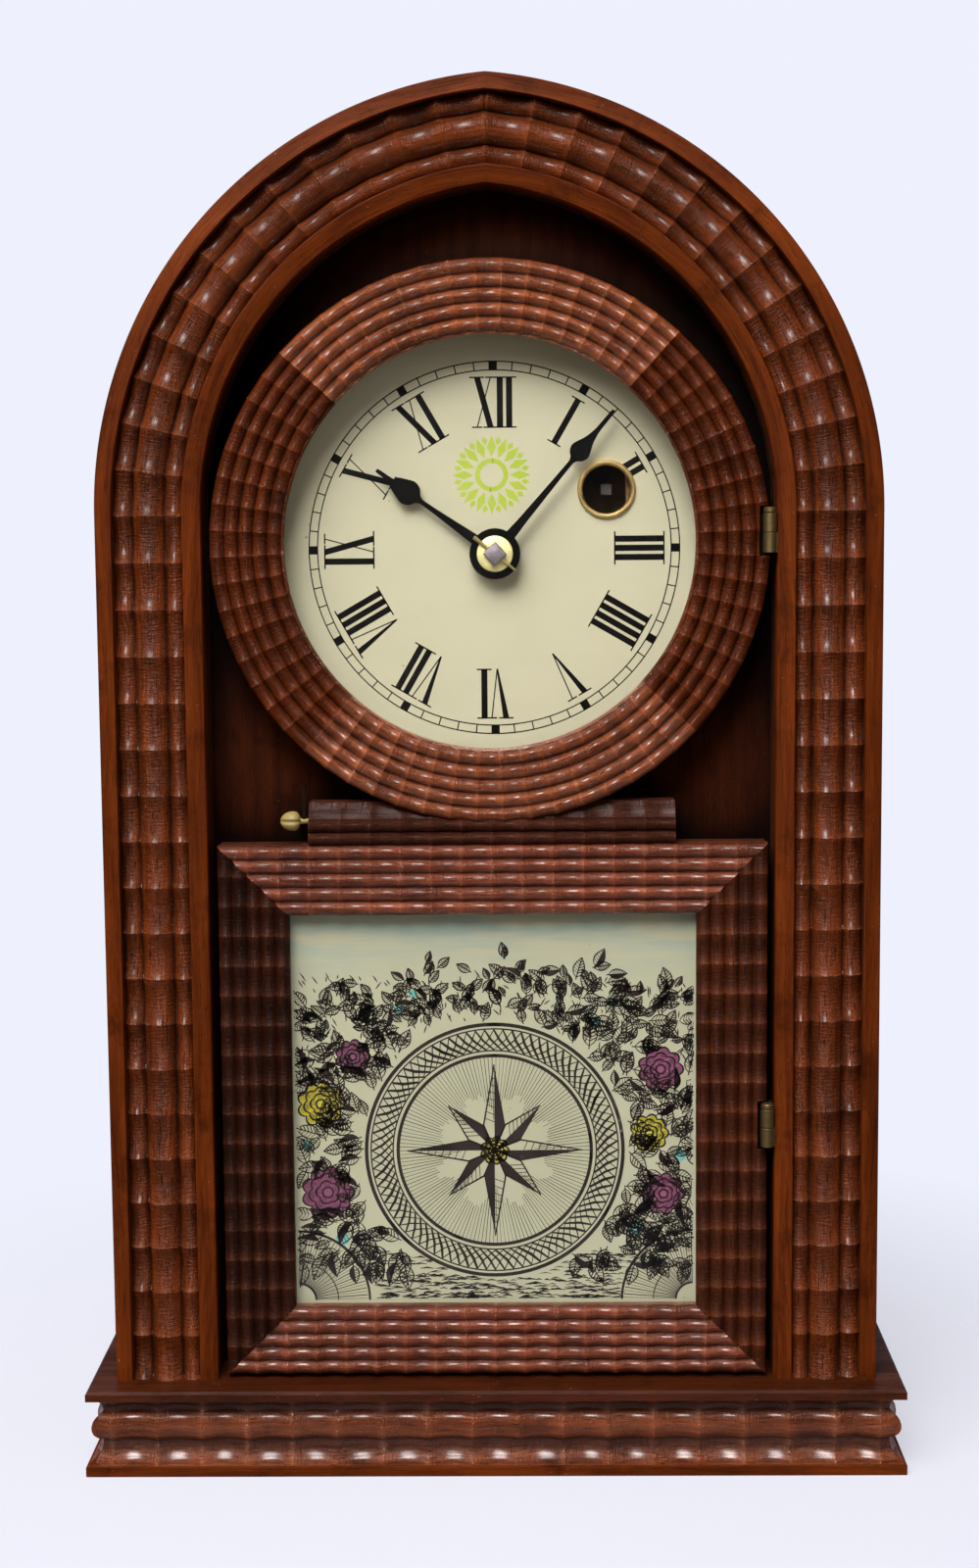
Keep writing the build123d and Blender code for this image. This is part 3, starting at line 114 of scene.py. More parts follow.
def ring_outlines(centre: Point, outer: float, inner: float, sides: int) -> list[Outline]:
    """Cuts a flat ring into short outlines.

    Args:
        centre: Middle of the ring.
        outer: Outer radius.
        inner: Inner radius.
        sides: Pieces round the ring.

    Returns:
        One outline of four corners for each piece.
    """
    outlines = []
    for index in range(sides):
        low, high = (FULL_TURN * (index + step) / sides for step in (0, 1))
        corners = ((outer, low), (outer, high), (inner, high), (inner, low))
        outlines.append([around(centre, radius, angle) for radius, angle in corners])
    return outlines


def linked(name: str, data: bpy.types.ID) -> bpy.types.Object:
    """Makes an object from its data and links it to the scene.

    Args:
        name: The object's name.
        data: Its mesh, lamp or camera.

    Returns:
        The new object.
    """
    piece = bpy.data.objects.new(name, data)
    bpy.context.scene.collection.objects.link(piece)
    return piece


def new_object(name: str, points: list[Vector], faces: list[tuple[int, ...]]) -> bpy.types.Object:
    """Links a mesh object built from points and faces.

    Args:
        name: The piece's name.
        points: Vertices in metres.
        faces: Vertex numbers of each face.

    Returns:
        The new object at the origin.
    """
    mesh = bpy.data.meshes.new(name)
    mesh.from_pydata(points, [], faces)
    mesh.validate()
    return linked(name, mesh)


def shade(mesh: bpy.types.Mesh, crisp_degrees: float) -> None:
    """Shades a mesh smooth, except at edges bent more than an angle."""
    mesh.shade_smooth()
    mesh.set_sharp_from_angle(angle=math.radians(crisp_degrees))


def settle(piece: bpy.types.Object, crisp_degrees: float = CRISP_DEGREES) -> bpy.types.Object:
    """Merges doubles, points all faces outwards and shades the piece smooth up to an angle.

    Args:
        piece: The finished mesh object.
        crisp_degrees: Edges bent more than this stay crisp.

    Returns:
        The same object.
    """
    shape = bmesh.new()
    shape.from_mesh(piece.data)
    bmesh.ops.remove_doubles(shape, verts=shape.verts, dist=1e-6)
    bmesh.ops.recalc_face_normals(shape, faces=shape.faces)
    shape.to_mesh(piece.data)
    shape.free()
    shade(piece.data, crisp_degrees)
    return piece


def plate(name: str, outlines: list[Outline], front: float, thickness: float) -> bpy.types.Object:
    """Makes flat closed plates that face the front of the clock.

    Args:
        name: The piece's name.
        outlines: Closed outlines as (x, height) points.
        front: Depth of the front faces.
        thickness: Depth from the front face to the back face.

    Returns:
        One object with a plate for each outline.
    """
    points: list[Vector] = []
    faces: list[tuple[int, ...]] = []
    for outline in outlines:
        first, count = len(points), len(outline)
        back = first + count
        for depth in (front, front + thickness):
            points += [place(x, depth, height) for x, height in outline]
        faces += [tuple(range(first, back)), tuple(reversed(range(back, back + count)))]
        for index in range(count):
            following = (index + 1) % count
            faces.append((first + following, first + index, back + index, back + following))
    return new_object(name, points, faces)


def baked(piece: bpy.types.Object) -> bpy.types.Mesh:
    """Gives the mesh that a piece's modifiers make.

    Args:
        piece: The piece with its modifiers.

    Returns:
        The new mesh.
    """
    depsgraph = bpy.context.evaluated_depsgraph_get()
    return bpy.data.meshes.new_from_object(
        piece.evaluated_get(depsgraph), preserve_all_data_layers=True, depsgraph=depsgraph
    )


def cut_seat(piece: bpy.types.Object, low: Vector, high: Vector) -> None:
    """Cuts a box-shaped seat out of a piece.

    Args:
        piece: The piece to cut; its mesh is replaced.
        low: One corner of the seat, in metres.
        high: The opposite corner.
    """
    corners = [
        Vector((x, y, z)) for x in (low.x, high.x) for y in (low.y, high.y) for z in (low.z, high.z)
    ]
    faces = [(0, 1, 3, 2), (4, 6, 7, 5), (0, 4, 5, 1), (2, 3, 7, 6), (0, 2, 6, 4), (1, 5, 7, 3)]
    cutter = settle(new_object("seat_cutter", corners, faces))
    modifier = piece.modifiers.new("seat", "BOOLEAN")
    modifier.operation = "DIFFERENCE"
    modifier.solver = "EXACT"
    modifier.object = cutter
    made = baked(piece)
    piece.modifiers.clear()
    piece.data = made
    bpy.data.objects.remove(cutter)


def trim(piece: bpy.types.Object, cuts: list[tuple[Vector, Vector]]) -> None:
    """Saws a piece off at planes and closes the sawn faces.

    Args:
        piece: The piece to saw.
        cuts: A point of each plane, and the direction of what falls away.
    """
    shape = bmesh.new()
    shape.from_mesh(piece.data)
    for point, outward in cuts:
        cut = bmesh.ops.bisect_plane(
            shape, geom=[*shape.verts, *shape.edges, *shape.faces], dist=1e-7,
            plane_co=point, plane_no=outward, clear_outer=True,
        )
        edges = [part for part in cut["geom_cut"] if isinstance(part, bmesh.types.BMEdge)]
        bmesh.ops.edgeloop_fill(shape, edges=edges)
    shape.to_mesh(piece.data)
    shape.free()


def turned(
    name: str, profile: list[Point], origin: Vector, axis: Vector, sides: int
) -> bpy.types.Object:
    """Turns a profile round an axis into a closed solid.

    Args:
        name: The piece's name.
        profile: (distance along the axis, radius) points; where the last isn't the first, both ends
            are closed.
        origin: The start of the axis, in metres.
        axis: The axis direction.
        sides: Faces round the axis.

    Returns:
        The turned object.
    """
    axis = axis.normalized()
    across = axis.orthogonal().normalized()
    upward = axis.cross(across)
    points: list[Vector] = []
    for along, radius in profile:
        centre = origin + axis * along * MILLIMETRE
        for side in range(sides):
            angle = FULL_TURN * side / sides
            spoke = across * math.cos(angle) + upward * math.sin(angle)
            points.append(centre + spoke * radius * MILLIMETRE)
    rings = [ring * sides for ring in range(len(profile))]
    faces: list[tuple[int, ...]] = [
        (low + side, low + (side + 1) % sides, high + (side + 1) % sides, high + side)
        for low, high in zip(rings, rings[1:]) for side in range(sides)
    ]
    if profile[0] != profile[-1]:
        faces += [tuple(reversed(range(sides))), tuple(range(rings[-1], rings[-1] + sides))]
    return settle(new_object(name, points, faces))


def joined(name: str, pieces: list[bpy.types.Object]) -> bpy.types.Object:
    """Joins pieces of one body and one finish into a single object.

    Args:
        name: The joined piece's name.
        pieces: Objects at the origin.

    Returns:
        The joined object; the pieces are removed.
    """
    shape = bmesh.new()
    for piece in pieces:
        shape.from_mesh(piece.data)
        bpy.data.objects.remove(piece)
    mesh = bpy.data.meshes.new(name)
    shape.to_mesh(mesh)
    shape.free()
    shade(mesh, CRISP_DEGREES)
    return linked(name, mesh)


def hand_over(piece: bpy.types.Object, body: str, slot: str, *nodes: str) -> None:
    """Gives a finished piece to the frame and logs it.

    Args:
        piece: The piece.
        body: The body that it rides on.
        slot: The kind of material that it is made of; not used.
        *nodes: The CAD nodes that it replaces, or none.
    """
    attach(piece, body)
    if nodes:
        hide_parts(*nodes)
    LOG.info("%s: %d faces on %s", piece.name, len(piece.data.polygons), body)


class NodeBench:
    """Adds nodes to one tree and joins them in a short form."""

    def __init__(self, tree: bpy.types.NodeTree) -> None:
        """Takes the tree to work on."""
        self.tree = tree

    def fill(self, node: bpy.types.Node, inputs: dict) -> None:
        """Links or sets the inputs of a node.

        Args:
            node: The node.
            inputs: Values or output sockets by input name or number.
        """
        for key, value in inputs.items():
            if isinstance(value, bpy.types.NodeSocket):
                self.tree.links.new(value, node.inputs[key])
            else:
                node.inputs[key].default_value = value

    def add(self, kind: str, inputs: dict | None = None, **settings: object) -> bpy.types.Node:
        """Adds a node.

        Args:
            kind: Blender's name of the node type.
            inputs: Values or output sockets by input name or number.
            **settings: Attributes of the node.

        Returns:
            The new node.
        """
        node = self.tree.nodes.new(kind)
        for name, value in settings.items():
            setattr(node, name, value)
        self.fill(node, inputs or {})
        return node

    def math(
        self, operation: str, first: object, second: object = 0.5, clamp: bool = False
    ) -> object:
        """Adds a Math node and returns its output socket."""
        inputs = {0: first, 1: second}
        return self.add("ShaderNodeMath", inputs, operation=operation, use_clamp=clamp).outputs[0]

    def times(self, first: object, second: object, clamp: bool = False) -> object:
        """Multiplies two values and returns the socket of the product."""
        return self.math("MULTIPLY", first, second, clamp)

    def mix(self, share: object, first: object, second: object) -> object:
        """Adds a colour Mix node and returns its output socket."""
        inputs = {0: share, 6: first, 7: second}
        return self.add("ShaderNodeMix", inputs, data_type="RGBA", blend_type="MIX").outputs[2]

    def spread(
        self, value: object, low: float, high: float, to_low: float = 0.0, to_high: float = 1.0
    ) -> object:
        """Adds a clamped Map Range node and returns its output socket."""
        inputs = {0: value, 1: low, 2: high, 3: to_low, 4: to_high}
        return self.add("ShaderNodeMapRange", inputs).outputs[0]

    def noise(
        self, vector: object, scale: float, detail: float = 3.0, rough: float = 0.55
    ) -> object:
        """Adds a noise texture and returns its value socket."""
        inputs = {"Vector": vector, "Scale": scale, "Detail": detail, "Roughness": rough}
        return self.add("ShaderNodeTexNoise", inputs).outputs[0]

    def stretch(self, vector: object, scale: tuple[float, float, float]) -> object:
        """Scales a vector by axis and returns the scaled socket."""
        inputs = {0: vector, 1: scale}
        return self.add("ShaderNodeVectorMath", inputs, operation="MULTIPLY").outputs[0]

    def bump(self, height: object, strength: float, distance: float) -> object:
        """Adds a Bump node and returns its normal socket."""
        inputs = {"Strength": strength, "Distance": distance, "Height": height}
        return self.add("ShaderNodeBump", inputs).outputs[0]

    def place_in(self) -> object:
        """Returns the socket of the place in the piece, in metres."""
        return self.add("ShaderNodeTexCoord").outputs["Object"]

    def named(self, name: str) -> object:
        """Returns the socket of an attribute that a material reads."""
        return self.add("ShaderNodeAttribute", attribute_name=name).outputs["Fac"]

    def chance(self, index: object, seed: object, low: float, high: float) -> object:
        """Adds a Random Value node for decimals and returns its output socket.

        Args:
            index: Which value is drawn.
            seed: The seed of the draws.
            low: Least value.
            high: Greatest value.

        Returns:
            The socket of the value.
        """
        inputs = {"ID": index, "Seed": seed, 2: low, 3: high}
        node = self.add("FunctionNodeRandomValue", inputs, data_type="FLOAT")
        return next(socket for socket in node.outputs if socket.enabled)


def new_group(
    name: str, kind: str, inputs: dict[str, tuple[str, object]], outputs: dict[str, str]
) -> tuple[NodeBench, bpy.types.Node, bpy.types.Node]:
    """Starts a node group with named sockets.

    Args:
        name: The group's name.
        kind: ShaderNodeTree or GeometryNodeTree.
        inputs: Socket type and first value by name; a value of None is left alone.
        outputs: Socket type by name.

    Returns:
        The bench on the group, its input node and its output node.
    """
    tree = bpy.data.node_groups.new(name, kind)
    for title, (socket, value) in inputs.items():
        made = tree.interface.new_socket(name=title, in_out="INPUT", socket_type=socket)
        if value is not None:
            made.default_value = value
    for title, socket in outputs.items():
        tree.interface.new_socket(name=title, in_out="OUTPUT", socket_type=socket)
    bench = NodeBench(tree)
    return bench, bench.add("NodeGroupInput"), bench.add("NodeGroupOutput")


def new_shape_tree(
    name: str, inputs: dict[str, tuple[str, object]], seed: int
) -> tuple[NodeBench, bpy.types.Node, bpy.types.Node]:
    """Starts a geometry tree whose inputs end with its seed and its finish.

    Args:
        name: The tree's name.
        inputs: Socket type and first value by name.
        seed: First value of the seed.

    Returns:
        The bench on the tree, its input node and its output node.
    """
    sockets = {
        "Geometry": ("NodeSocketGeometry", None), **inputs,
        "Seed": ("NodeSocketInt", seed), "Finish": ("NodeSocketMaterial", None),
    }
    return new_group(name, "GeometryNodeTree", sockets, {"Geometry": "NodeSocketGeometry"})


def end_shape_tree(
    bench: NodeBench, given: bpy.types.Node, result: bpy.types.Node, shape: object
) -> bpy.types.NodeTree:
    """Makes the instances of a geometry tree real and gives them its finish.

    Args:
        bench: The bench on the tree.
        given: Its input node.
        result: Its output node.
        shape: The socket of the finished geometry.

    Returns:
        The whole tree.
    """
    whole = bench.add("GeometryNodeRealizeInstances", {0: shape})
    inputs = {"Geometry": whole.outputs[0], "Material": given.outputs["Finish"]}
    dressed = bench.add("GeometryNodeSetMaterial", inputs)
    bench.fill(result, {0: dressed.outputs[0]})
    return bench.tree


def run_tree(
    piece: bpy.types.Object, tree: bpy.types.NodeTree, values: dict[str, object]
) -> bpy.types.Object:
    """Runs a geometry tree on an object and keeps the result as a plain mesh.

    Args:
        piece: The object that carries the start geometry.
        tree: The geometry node tree.
        values: Input values by socket name.

    Returns:
        The same object with the made mesh and no modifier.
    """
    modifier = piece.modifiers.new(tree.name, "NODES")
    modifier.node_group = tree
    for item in tree.interface.items_tree:
        if item.item_type == "SOCKET" and item.in_out == "INPUT" and item.name in values:
            modifier[item.identifier] = values[item.name]
    made = baked(piece)
    made.name = piece.name
    piece.modifiers.clear()
    piece.data = made
    return piece


def ripple_cutter() -> bpy.types.NodeTree:
    """Builds the tree that presses hollows between the crests of a moulding.

    Returns:
        A tree that reads the phase, share and dip attributes of the stock.
    """
    bench, given, result = new_shape_tree(
        "Ripple Cutter",
        {
            "Scallop Depth": ("NodeSocketFloat", 0.0015),
            "Unevenness": ("NodeSocketFloat", 0.15),
            "Chatter": ("NodeSocketFloat", 0.00006),
        },
        7,
    )

    def attribute(name: str, kind: str = "FLOAT") -> object:
        """Reads one attribute of the stock."""
        node = bench.add("GeometryNodeInputNamedAttribute", {"Name": name}, data_type=kind)
        return node.outputs[0]

    phase, share = attribute("phase"), attribute("share")
    centred = bench.math("SUBTRACT", bench.times(bench.math("FRACT", phase), 2.0), 1.0)
    hollow = bench.math("SUBTRACT", 1.0, bench.times(centred, centred))
    chance = bench.chance(bench.math("FLOOR", phase), given.outputs["Seed"], -1.0, 1.0)
    uneven = bench.math("ADD", 1.0, bench.times(chance, given.outputs["Unevenness"]))
    position = bench.add("GeometryNodeInputPosition").outputs[0]
    scratch = bench.math("SUBTRACT", bench.noise(position, 260.0, 2.0), 0.5)
    depth = bench.times(bench.times(hollow, uneven), given.outputs["Scallop Depth"])
    rough = bench.times(bench.math("ABSOLUTE", scratch), given.outputs["Chatter"])
    reach = bench.times(bench.math("ADD", depth, rough), share)
    offset = bench.add(
        "ShaderNodeVectorMath", {0: attribute("dip", "FLOAT_VECTOR"), "Scale": reach},
        operation="SCALE",
    )
    moved = bench.add(
        "GeometryNodeSetPosition",
        {"Geometry": given.outputs["Geometry"], "Offset": offset.outputs[0]},
    )
    kept = bench.add(
        "GeometryNodeStoreNamedAttribute",
        {"Geometry": moved.outputs[0], "Name": "hollow", "Value": bench.times(hollow, share)},
        data_type="FLOAT", domain="POINT",
    )
    return end_shape_tree(bench, given, result, kept.outputs[0])


def ring_of_pieces() -> bpy.types.NodeTree:
    """Builds the tree that repeats one piece round a centre on a plane that faces the front.

    Returns:
        The tree; the piece is drawn upright at the middle, as it stands at the top of the ring.
    """
    bench, given, result = new_shape_tree(
        "Ring Of Pieces",
        {
            "Count": ("NodeSocketInt", 12),
            "First Turn": ("NodeSocketFloat", 0.0),
            "Centre": ("NodeSocketVector", (0.0, 0.0, 0.0)),
            "Size Spread": ("NodeSocketFloat", 0.0),
        },
        3,
    )
    count = given.outputs["Count"]
    points = bench.add("GeometryNodeMeshLine", {"Count": count, "Offset": (0.0, 0.0, 0.0)})
    index = bench.add("GeometryNodeInputIndex").outputs[0]
    step = bench.math("DIVIDE", FULL_TURN, count)
    turn = bench.math("ADD", bench.times(index, step), given.outputs["First Turn"])
    chance = bench.chance(index, given.outputs["Seed"], -1.0, 1.0)
    size = bench.math("ADD", 1.0, bench.times(chance, given.outputs["Size Spread"]))
    placed = bench.add(
        "GeometryNodeInstanceOnPoints",
        {"Points": points.outputs[0], "Instance": given.outputs["Geometry"],
         "Rotation": bench.add("ShaderNodeCombineXYZ", {1: turn}).outputs[0],
         "Scale": bench.add("ShaderNodeCombineXYZ", {0: size, 1: 1.0, 2: size}).outputs[0]},
    )
    moved = bench.add(
        "GeometryNodeTransform",
        {"Geometry": placed.outputs[0], "Translation": given.outputs["Centre"]},
    )
    return end_shape_tree(bench, given, result, moved.outputs[0])


def screw_row() -> bpy.types.NodeTree:
    """Builds the tree that sets one screw at even steps along a line, each with its own turn.

    Returns:
        The tree; the screw is drawn at the origin and turns about the X axis.
    """
    bench, given, result = new_shape_tree(
        "Screw Row",
        {
            "Count": ("NodeSocketInt", 2),
            "Start": ("NodeSocketVector", (0.0, 0.0, 0.0)),
            "Step": ("NodeSocketVector", (0.0, 0.0, 0.0)),
        },
        4,
    )
    points = bench.add(
        "GeometryNodeMeshLine",
        {"Count": given.outputs["Count"], "Start Location": given.outputs["Start"],
         "Offset": given.outputs["Step"]},
    )
    index = bench.add("GeometryNodeInputIndex").outputs[0]
    turn = bench.chance(index, given.outputs["Seed"], 0.0, 6.283)
    placed = bench.add(
        "GeometryNodeInstanceOnPoints",
        {"Points": points.outputs[0], "Instance": given.outputs["Geometry"],
         "Rotation": bench.add("ShaderNodeCombineXYZ", {0: turn}).outputs[0]},
    )
    return end_shape_tree(bench, given, result, placed.outputs[0])


class Course(Enum):
    """The way that the grain runs, with the turn in radians that lays it along X."""

    MOULDING = None
    SIDEWAYS = (0.0, 0.0, 0.0)
    UPRIGHT = (0.0, math.pi / 2, 0.0)


def tint(colour: Colour, share: float = 1.0) -> tuple[float, float, float, float]:
    """Gives a colour for a socket, darkened to a share of itself."""
    return (*[part * share for part in colour], 1.0)


def wood_figure_group() -> bpy.types.NodeTree:
    """Builds the shared figure of wood: long streaks, pores, cross chatter and slow clouds.

    Returns:
        A shader group that takes a vector in metres with the grain along X.
    """
    masks = ("Streak", "Pore", "Cloud", "Chatter")
    bench, given, result = new_group(
        "Wood Figure", "ShaderNodeTree",
        {"Vector": ("NodeSocketVector", None), "Coarseness": ("NodeSocketFloat", 1.0)},
        {name: "NodeSocketFloat" for name in masks},
    )
    scaled = bench.add(
        "ShaderNodeVectorMath", {0: given.outputs["Vector"], "Scale": given.outputs["Coarseness"]},
        operation="SCALE",
    ).outputs[0]
    warp = bench.noise(bench.stretch(scaled, (9.0, 40.0, 40.0)), 1.0, 2.0)
    sway = bench.add("ShaderNodeCombineXYZ", {1: bench.times(warp, 0.012)}).outputs[0]
    bent = bench.add("ShaderNodeVectorMath", {0: scaled, 1: sway}, operation="ADD").outputs[0]
    broad = bench.noise(bench.stretch(bent, (14.0, 210.0, 210.0)), 1.0, 4.0, 0.6)
    fine = bench.noise(bench.stretch(bent, (45.0, 1500.0, 1500.0)), 1.0, 3.0, 0.65)
    streak = bench.math("ADD", bench.times(broad, 0.62), bench.times(fine, 0.38))
    pore = bench.noise(bench.stretch(bent, (160.0, 2600.0, 2600.0)), 1.0, 1.5, 0.5)
    cloud = bench.noise(bench.stretch(scaled, (16.0, 26.0, 26.0)), 1.0, 3.0, 0.5)
    chatter = bench.noise(bench.stretch(scaled, (1400.0, 240.0, 240.0)), 1.0, 3.0, 0.6)
    bench.fill(result, dict(zip(masks, (
        bench.spread(streak, 0.34, 0.66), bench.spread(pore, 0.60, 0.72),
        bench.spread(cloud, 0.3, 0.7), chatter,
    ))))
    return bench.tree


def wear_and_shade_group() -> bpy.types.NodeTree:
    """Builds the shared wear: rubbed and chipped crests, grime in the hollows, painted shade in the
    grooves, and dust.

    Returns:
        A shader group with masks for each.
    """
    masks = ("Rubbed", "Chipped", "Grime And Shade", "Dust")
    bench, given, result = new_group(
        "Wear And Groove Shade", "ShaderNodeTree",
        {"Vector": ("NodeSocketVector", None), "Hollow": ("NodeSocketFloat", 0.5),
         "Groove": ("NodeSocketFloat", 0.0), "Amount": ("NodeSocketFloat", 1.0)},
        {name: "NodeSocketFloat" for name in masks},
    )
    vector, hollow = given.outputs["Vector"], given.outputs["Hollow"]
    patch = bench.noise(vector, 120.0, 4.0, 0.6)
    grit = bench.noise(vector, 900.0, 3.0, 0.7)
    crest, edge = (bench.spread(hollow, *ends, 1.0, 0.0) for ends in ((0.05, 0.45), (0.0, 0.16)))
    rubbed = bench.times(crest, bench.spread(patch, 0.45, 0.68))
    chipped = bench.times(edge, bench.spread(grit, 0.60, 0.68))
    settled = bench.times(
        bench.spread(hollow, 0.3, 1.0, 0.0, 0.6), bench.spread(patch, 0.35, 0.7, 1.0, 0.2)
    )
    # Painted shade: the deepest grooves between beads turn dark, joined with the grime that has
    # settled in the hollows.
    deep = bench.spread(given.outputs["Groove"], 0.45, 0.95, 0.0, 1.6)
    grime_and_shade = bench.math("MAXIMUM", settled, deep)
    dust = bench.times(bench.spread(grit, 0.66, 0.74), bench.spread(patch, 0.5, 0.62))
    for name, mask in zip(masks, (rubbed, chipped, grime_and_shade, dust)):
        bench.fill(result, {name: bench.times(mask, given.outputs["Amount"], clamp=True)})
    return bench.tree


@dataclass(frozen=True)
class SharedGroups:
    """The node trees that more than one piece or finish uses."""

    figure: bpy.types.NodeTree
    wear_and_shade: bpy.types.NodeTree
    ripples: bpy.types.NodeTree
    ring: bpy.types.NodeTree
    screws: bpy.types.NodeTree


def start_material(name: str) -> tuple[NodeBench, bpy.types.Node, bpy.types.Node]:
    """Starts a material with an empty tree.

    Args:
        name: The finish's name.

    Returns:
        The bench, the Principled BSDF and the output node.
    """
    material = bpy.data.materials.new(name)
    material.use_nodes = True
    material.node_tree.nodes.clear()
    bench = NodeBench(material.node_tree)
    surface = bench.add("ShaderNodeBsdfPrincipled")
    output = bench.add("ShaderNodeOutputMaterial", {0: surface.outputs[0]})
    return bench, surface, output


@dataclass(frozen=True)
class WoodFinish:
    """Stained and varnished wood with a grain direction, wear and polish."""

    name: str
    dark: Colour
    light: Colour
    worn: Colour
    roughness: float
    polish: float
    relief: float
    wear: float = 0.6
    shine: float = 0.22
    course: Course = Course.MOULDING
    coarseness: float = 1.0
    # How far painted shade reaches from corners and recesses, in metres.
    painted_corner_shade: float = 0.0
    # How strongly grime in the hollows and painted shade in the grooves darken the wood.
    grime_and_groove_shade: float = 0.72
    # How strongly painted shade darkens the hollows of the ripples.
    painted_ripple_shade: float = 0.0
    dull_below: float = 0.0
    dull_fade: float = 0.22
    rippled: bool = False

    def figured(self, bench: NodeBench, place_in: object, groups: SharedGroups) -> bpy.types.Node:
        """Lays the wood figure in the direction of the grain.

        Args:
            bench: The bench on the material.
            place_in: The socket of the place in the piece.
            groups: The shared node groups.

        Returns:
            The figure's node.
        """
        if self.course is Course.MOULDING:
            flat = bench.add("ShaderNodeUVMap", uv_map="grain").outputs[0]
        else:
            inputs = {"Vector": place_in, "Rotation": self.course.value}
            flat = bench.add("ShaderNodeMapping", inputs).outputs[0]
        inputs = {"Vector": flat, "Coarseness": self.coarseness}
        return bench.add("ShaderNodeGroup", inputs, node_tree=groups.figure)

    def tone(
        self, bench: NodeBench, place_in: object, figure: bpy.types.Node, wear: bpy.types.Node,
        hollow: object,
    ) -> object:
        """Layers grain, clouds, pores, grime, painted shade, stain and wear over the stain of the
        wood.

        Args:
            bench: The bench on the material.
            place_in: The socket of the place in the piece.
            figure: The node of the wood figure.
            wear: The node of the wear masks.
            hollow: The depth in a ripple, from 0 to 1.

        Returns:
            The socket of the colour.
        """
        colour = bench.mix(figure.outputs["Streak"], tint(self.dark), tint(self.light))
        stain = bench.spread(bench.noise(place_in, 52.0, 4.0, 0.7), 0.53, 0.70, 0.0, 0.62)
        layers = [
            (bench.spread(figure.outputs["Cloud"], 0.0, 1.0, 0.0, 0.38), tint(self.dark, 0.45)),
            (bench.times(figure.outputs["Pore"], 0.55), tint(self.dark, 0.3)),
            # Grime in the hollows together with painted shade in the grooves between beads.
            (bench.times(wear.outputs["Grime And Shade"], self.grime_and_groove_shade), tint(self.dark, 0.25)),
        ]
        # Painted shade: the hollows of the ripples darken in bands, as if the light from above
        # leaves them in shade.
        if self.painted_ripple_shade:
            band = bench.times(bench.spread(hollow, 0.2, 0.9), self.painted_ripple_shade)
            layers.append((band, tint(self.dark, 0.35)))
        rubbed = tuple(c * 0.75 + w * 0.25 for c, w in zip(self.light, self.worn))
        layers += [
            (stain, tint(self.dark, 0.40)),
            (bench.times(wear.outputs["Rubbed"], 0.35), tint(rubbed)),
            (wear.outputs["Chipped"], tint(self.worn)),
            (bench.times(wear.outputs["Dust"], 0.5), tint((0.55, 0.50, 0.46))),
        ]
        # Painted shade: ambient occlusion darkens the wood almost to black in recesses and narrow
        # gaps, where the case shades it.
        if self.painted_corner_shade:
            inputs = {"Distance": self.painted_corner_shade}
            open_air = bench.add("ShaderNodeAmbientOcclusion", inputs, samples=8).outputs["AO"]
            layers.append((bench.spread(open_air, 0.38, 0.72, 0.97, 0.0), tint(self.dark, 0.03)))
        for share, over in layers:
            colour = bench.mix(share, colour, over)
        return colour

    def make(self, groups: SharedGroups) -> bpy.types.Material:
        """Builds the material.

        Args:
            groups: The shared node groups.

        Returns:
            The finished material.
        """
        bench, surface, _ = start_material(self.name)
        place_in = bench.place_in()
        figure = self.figured(bench, place_in, groups)
        wear = bench.add(
            "ShaderNodeGroup", {"Vector": place_in, "Amount": self.wear}, node_tree=groups.wear_and_shade
        )
        hollow: object = 0.5
        if self.rippled:
            hollow = bench.named("hollow")
            bench.fill(wear, {"Hollow": hollow, "Groove": bench.named("groove")})
        streak, pore = figure.outputs["Streak"], figure.outputs["Pore"]
        matt = bench.spread(streak, 0.0, 1.0, self.roughness + 0.10, self.roughness - 0.06)
        height = bench.math("SUBTRACT", bench.times(streak, 0.35), bench.times(pore, 0.6))
        chatter = bench.times(figure.outputs["Chatter"], 1.2 if self.rippled else 0.35)
        height = bench.math("ADD", height, chatter)
        coat = bench.spread(streak, 0.25, 0.75, self.polish * 0.35, self.polish * 1.3)
        if self.dull_below:
            level = bench.add("ShaderNodeSeparateXYZ", {0: place_in}).outputs[2]
            kept = bench.spread(level, self.dull_below - self.dull_fade, self.dull_below, 0.25, 1.0)
            coat = bench.times(coat, kept)
        bench.fill(surface, {
            "Base Color": self.tone(bench, place_in, figure, wear, hollow),
            "Roughness": bench.math("ADD", matt, bench.times(wear.outputs["Grime And Shade"], 0.18)),
            "Normal": bench.bump(height, self.relief, 0.0007 if self.rippled else 0.0003),
            "Coat Weight": coat,
            "Coat Roughness": 0.18,
            "Specular IOR Level": self.shine,
        })
        return bpy.data.materials[self.name]


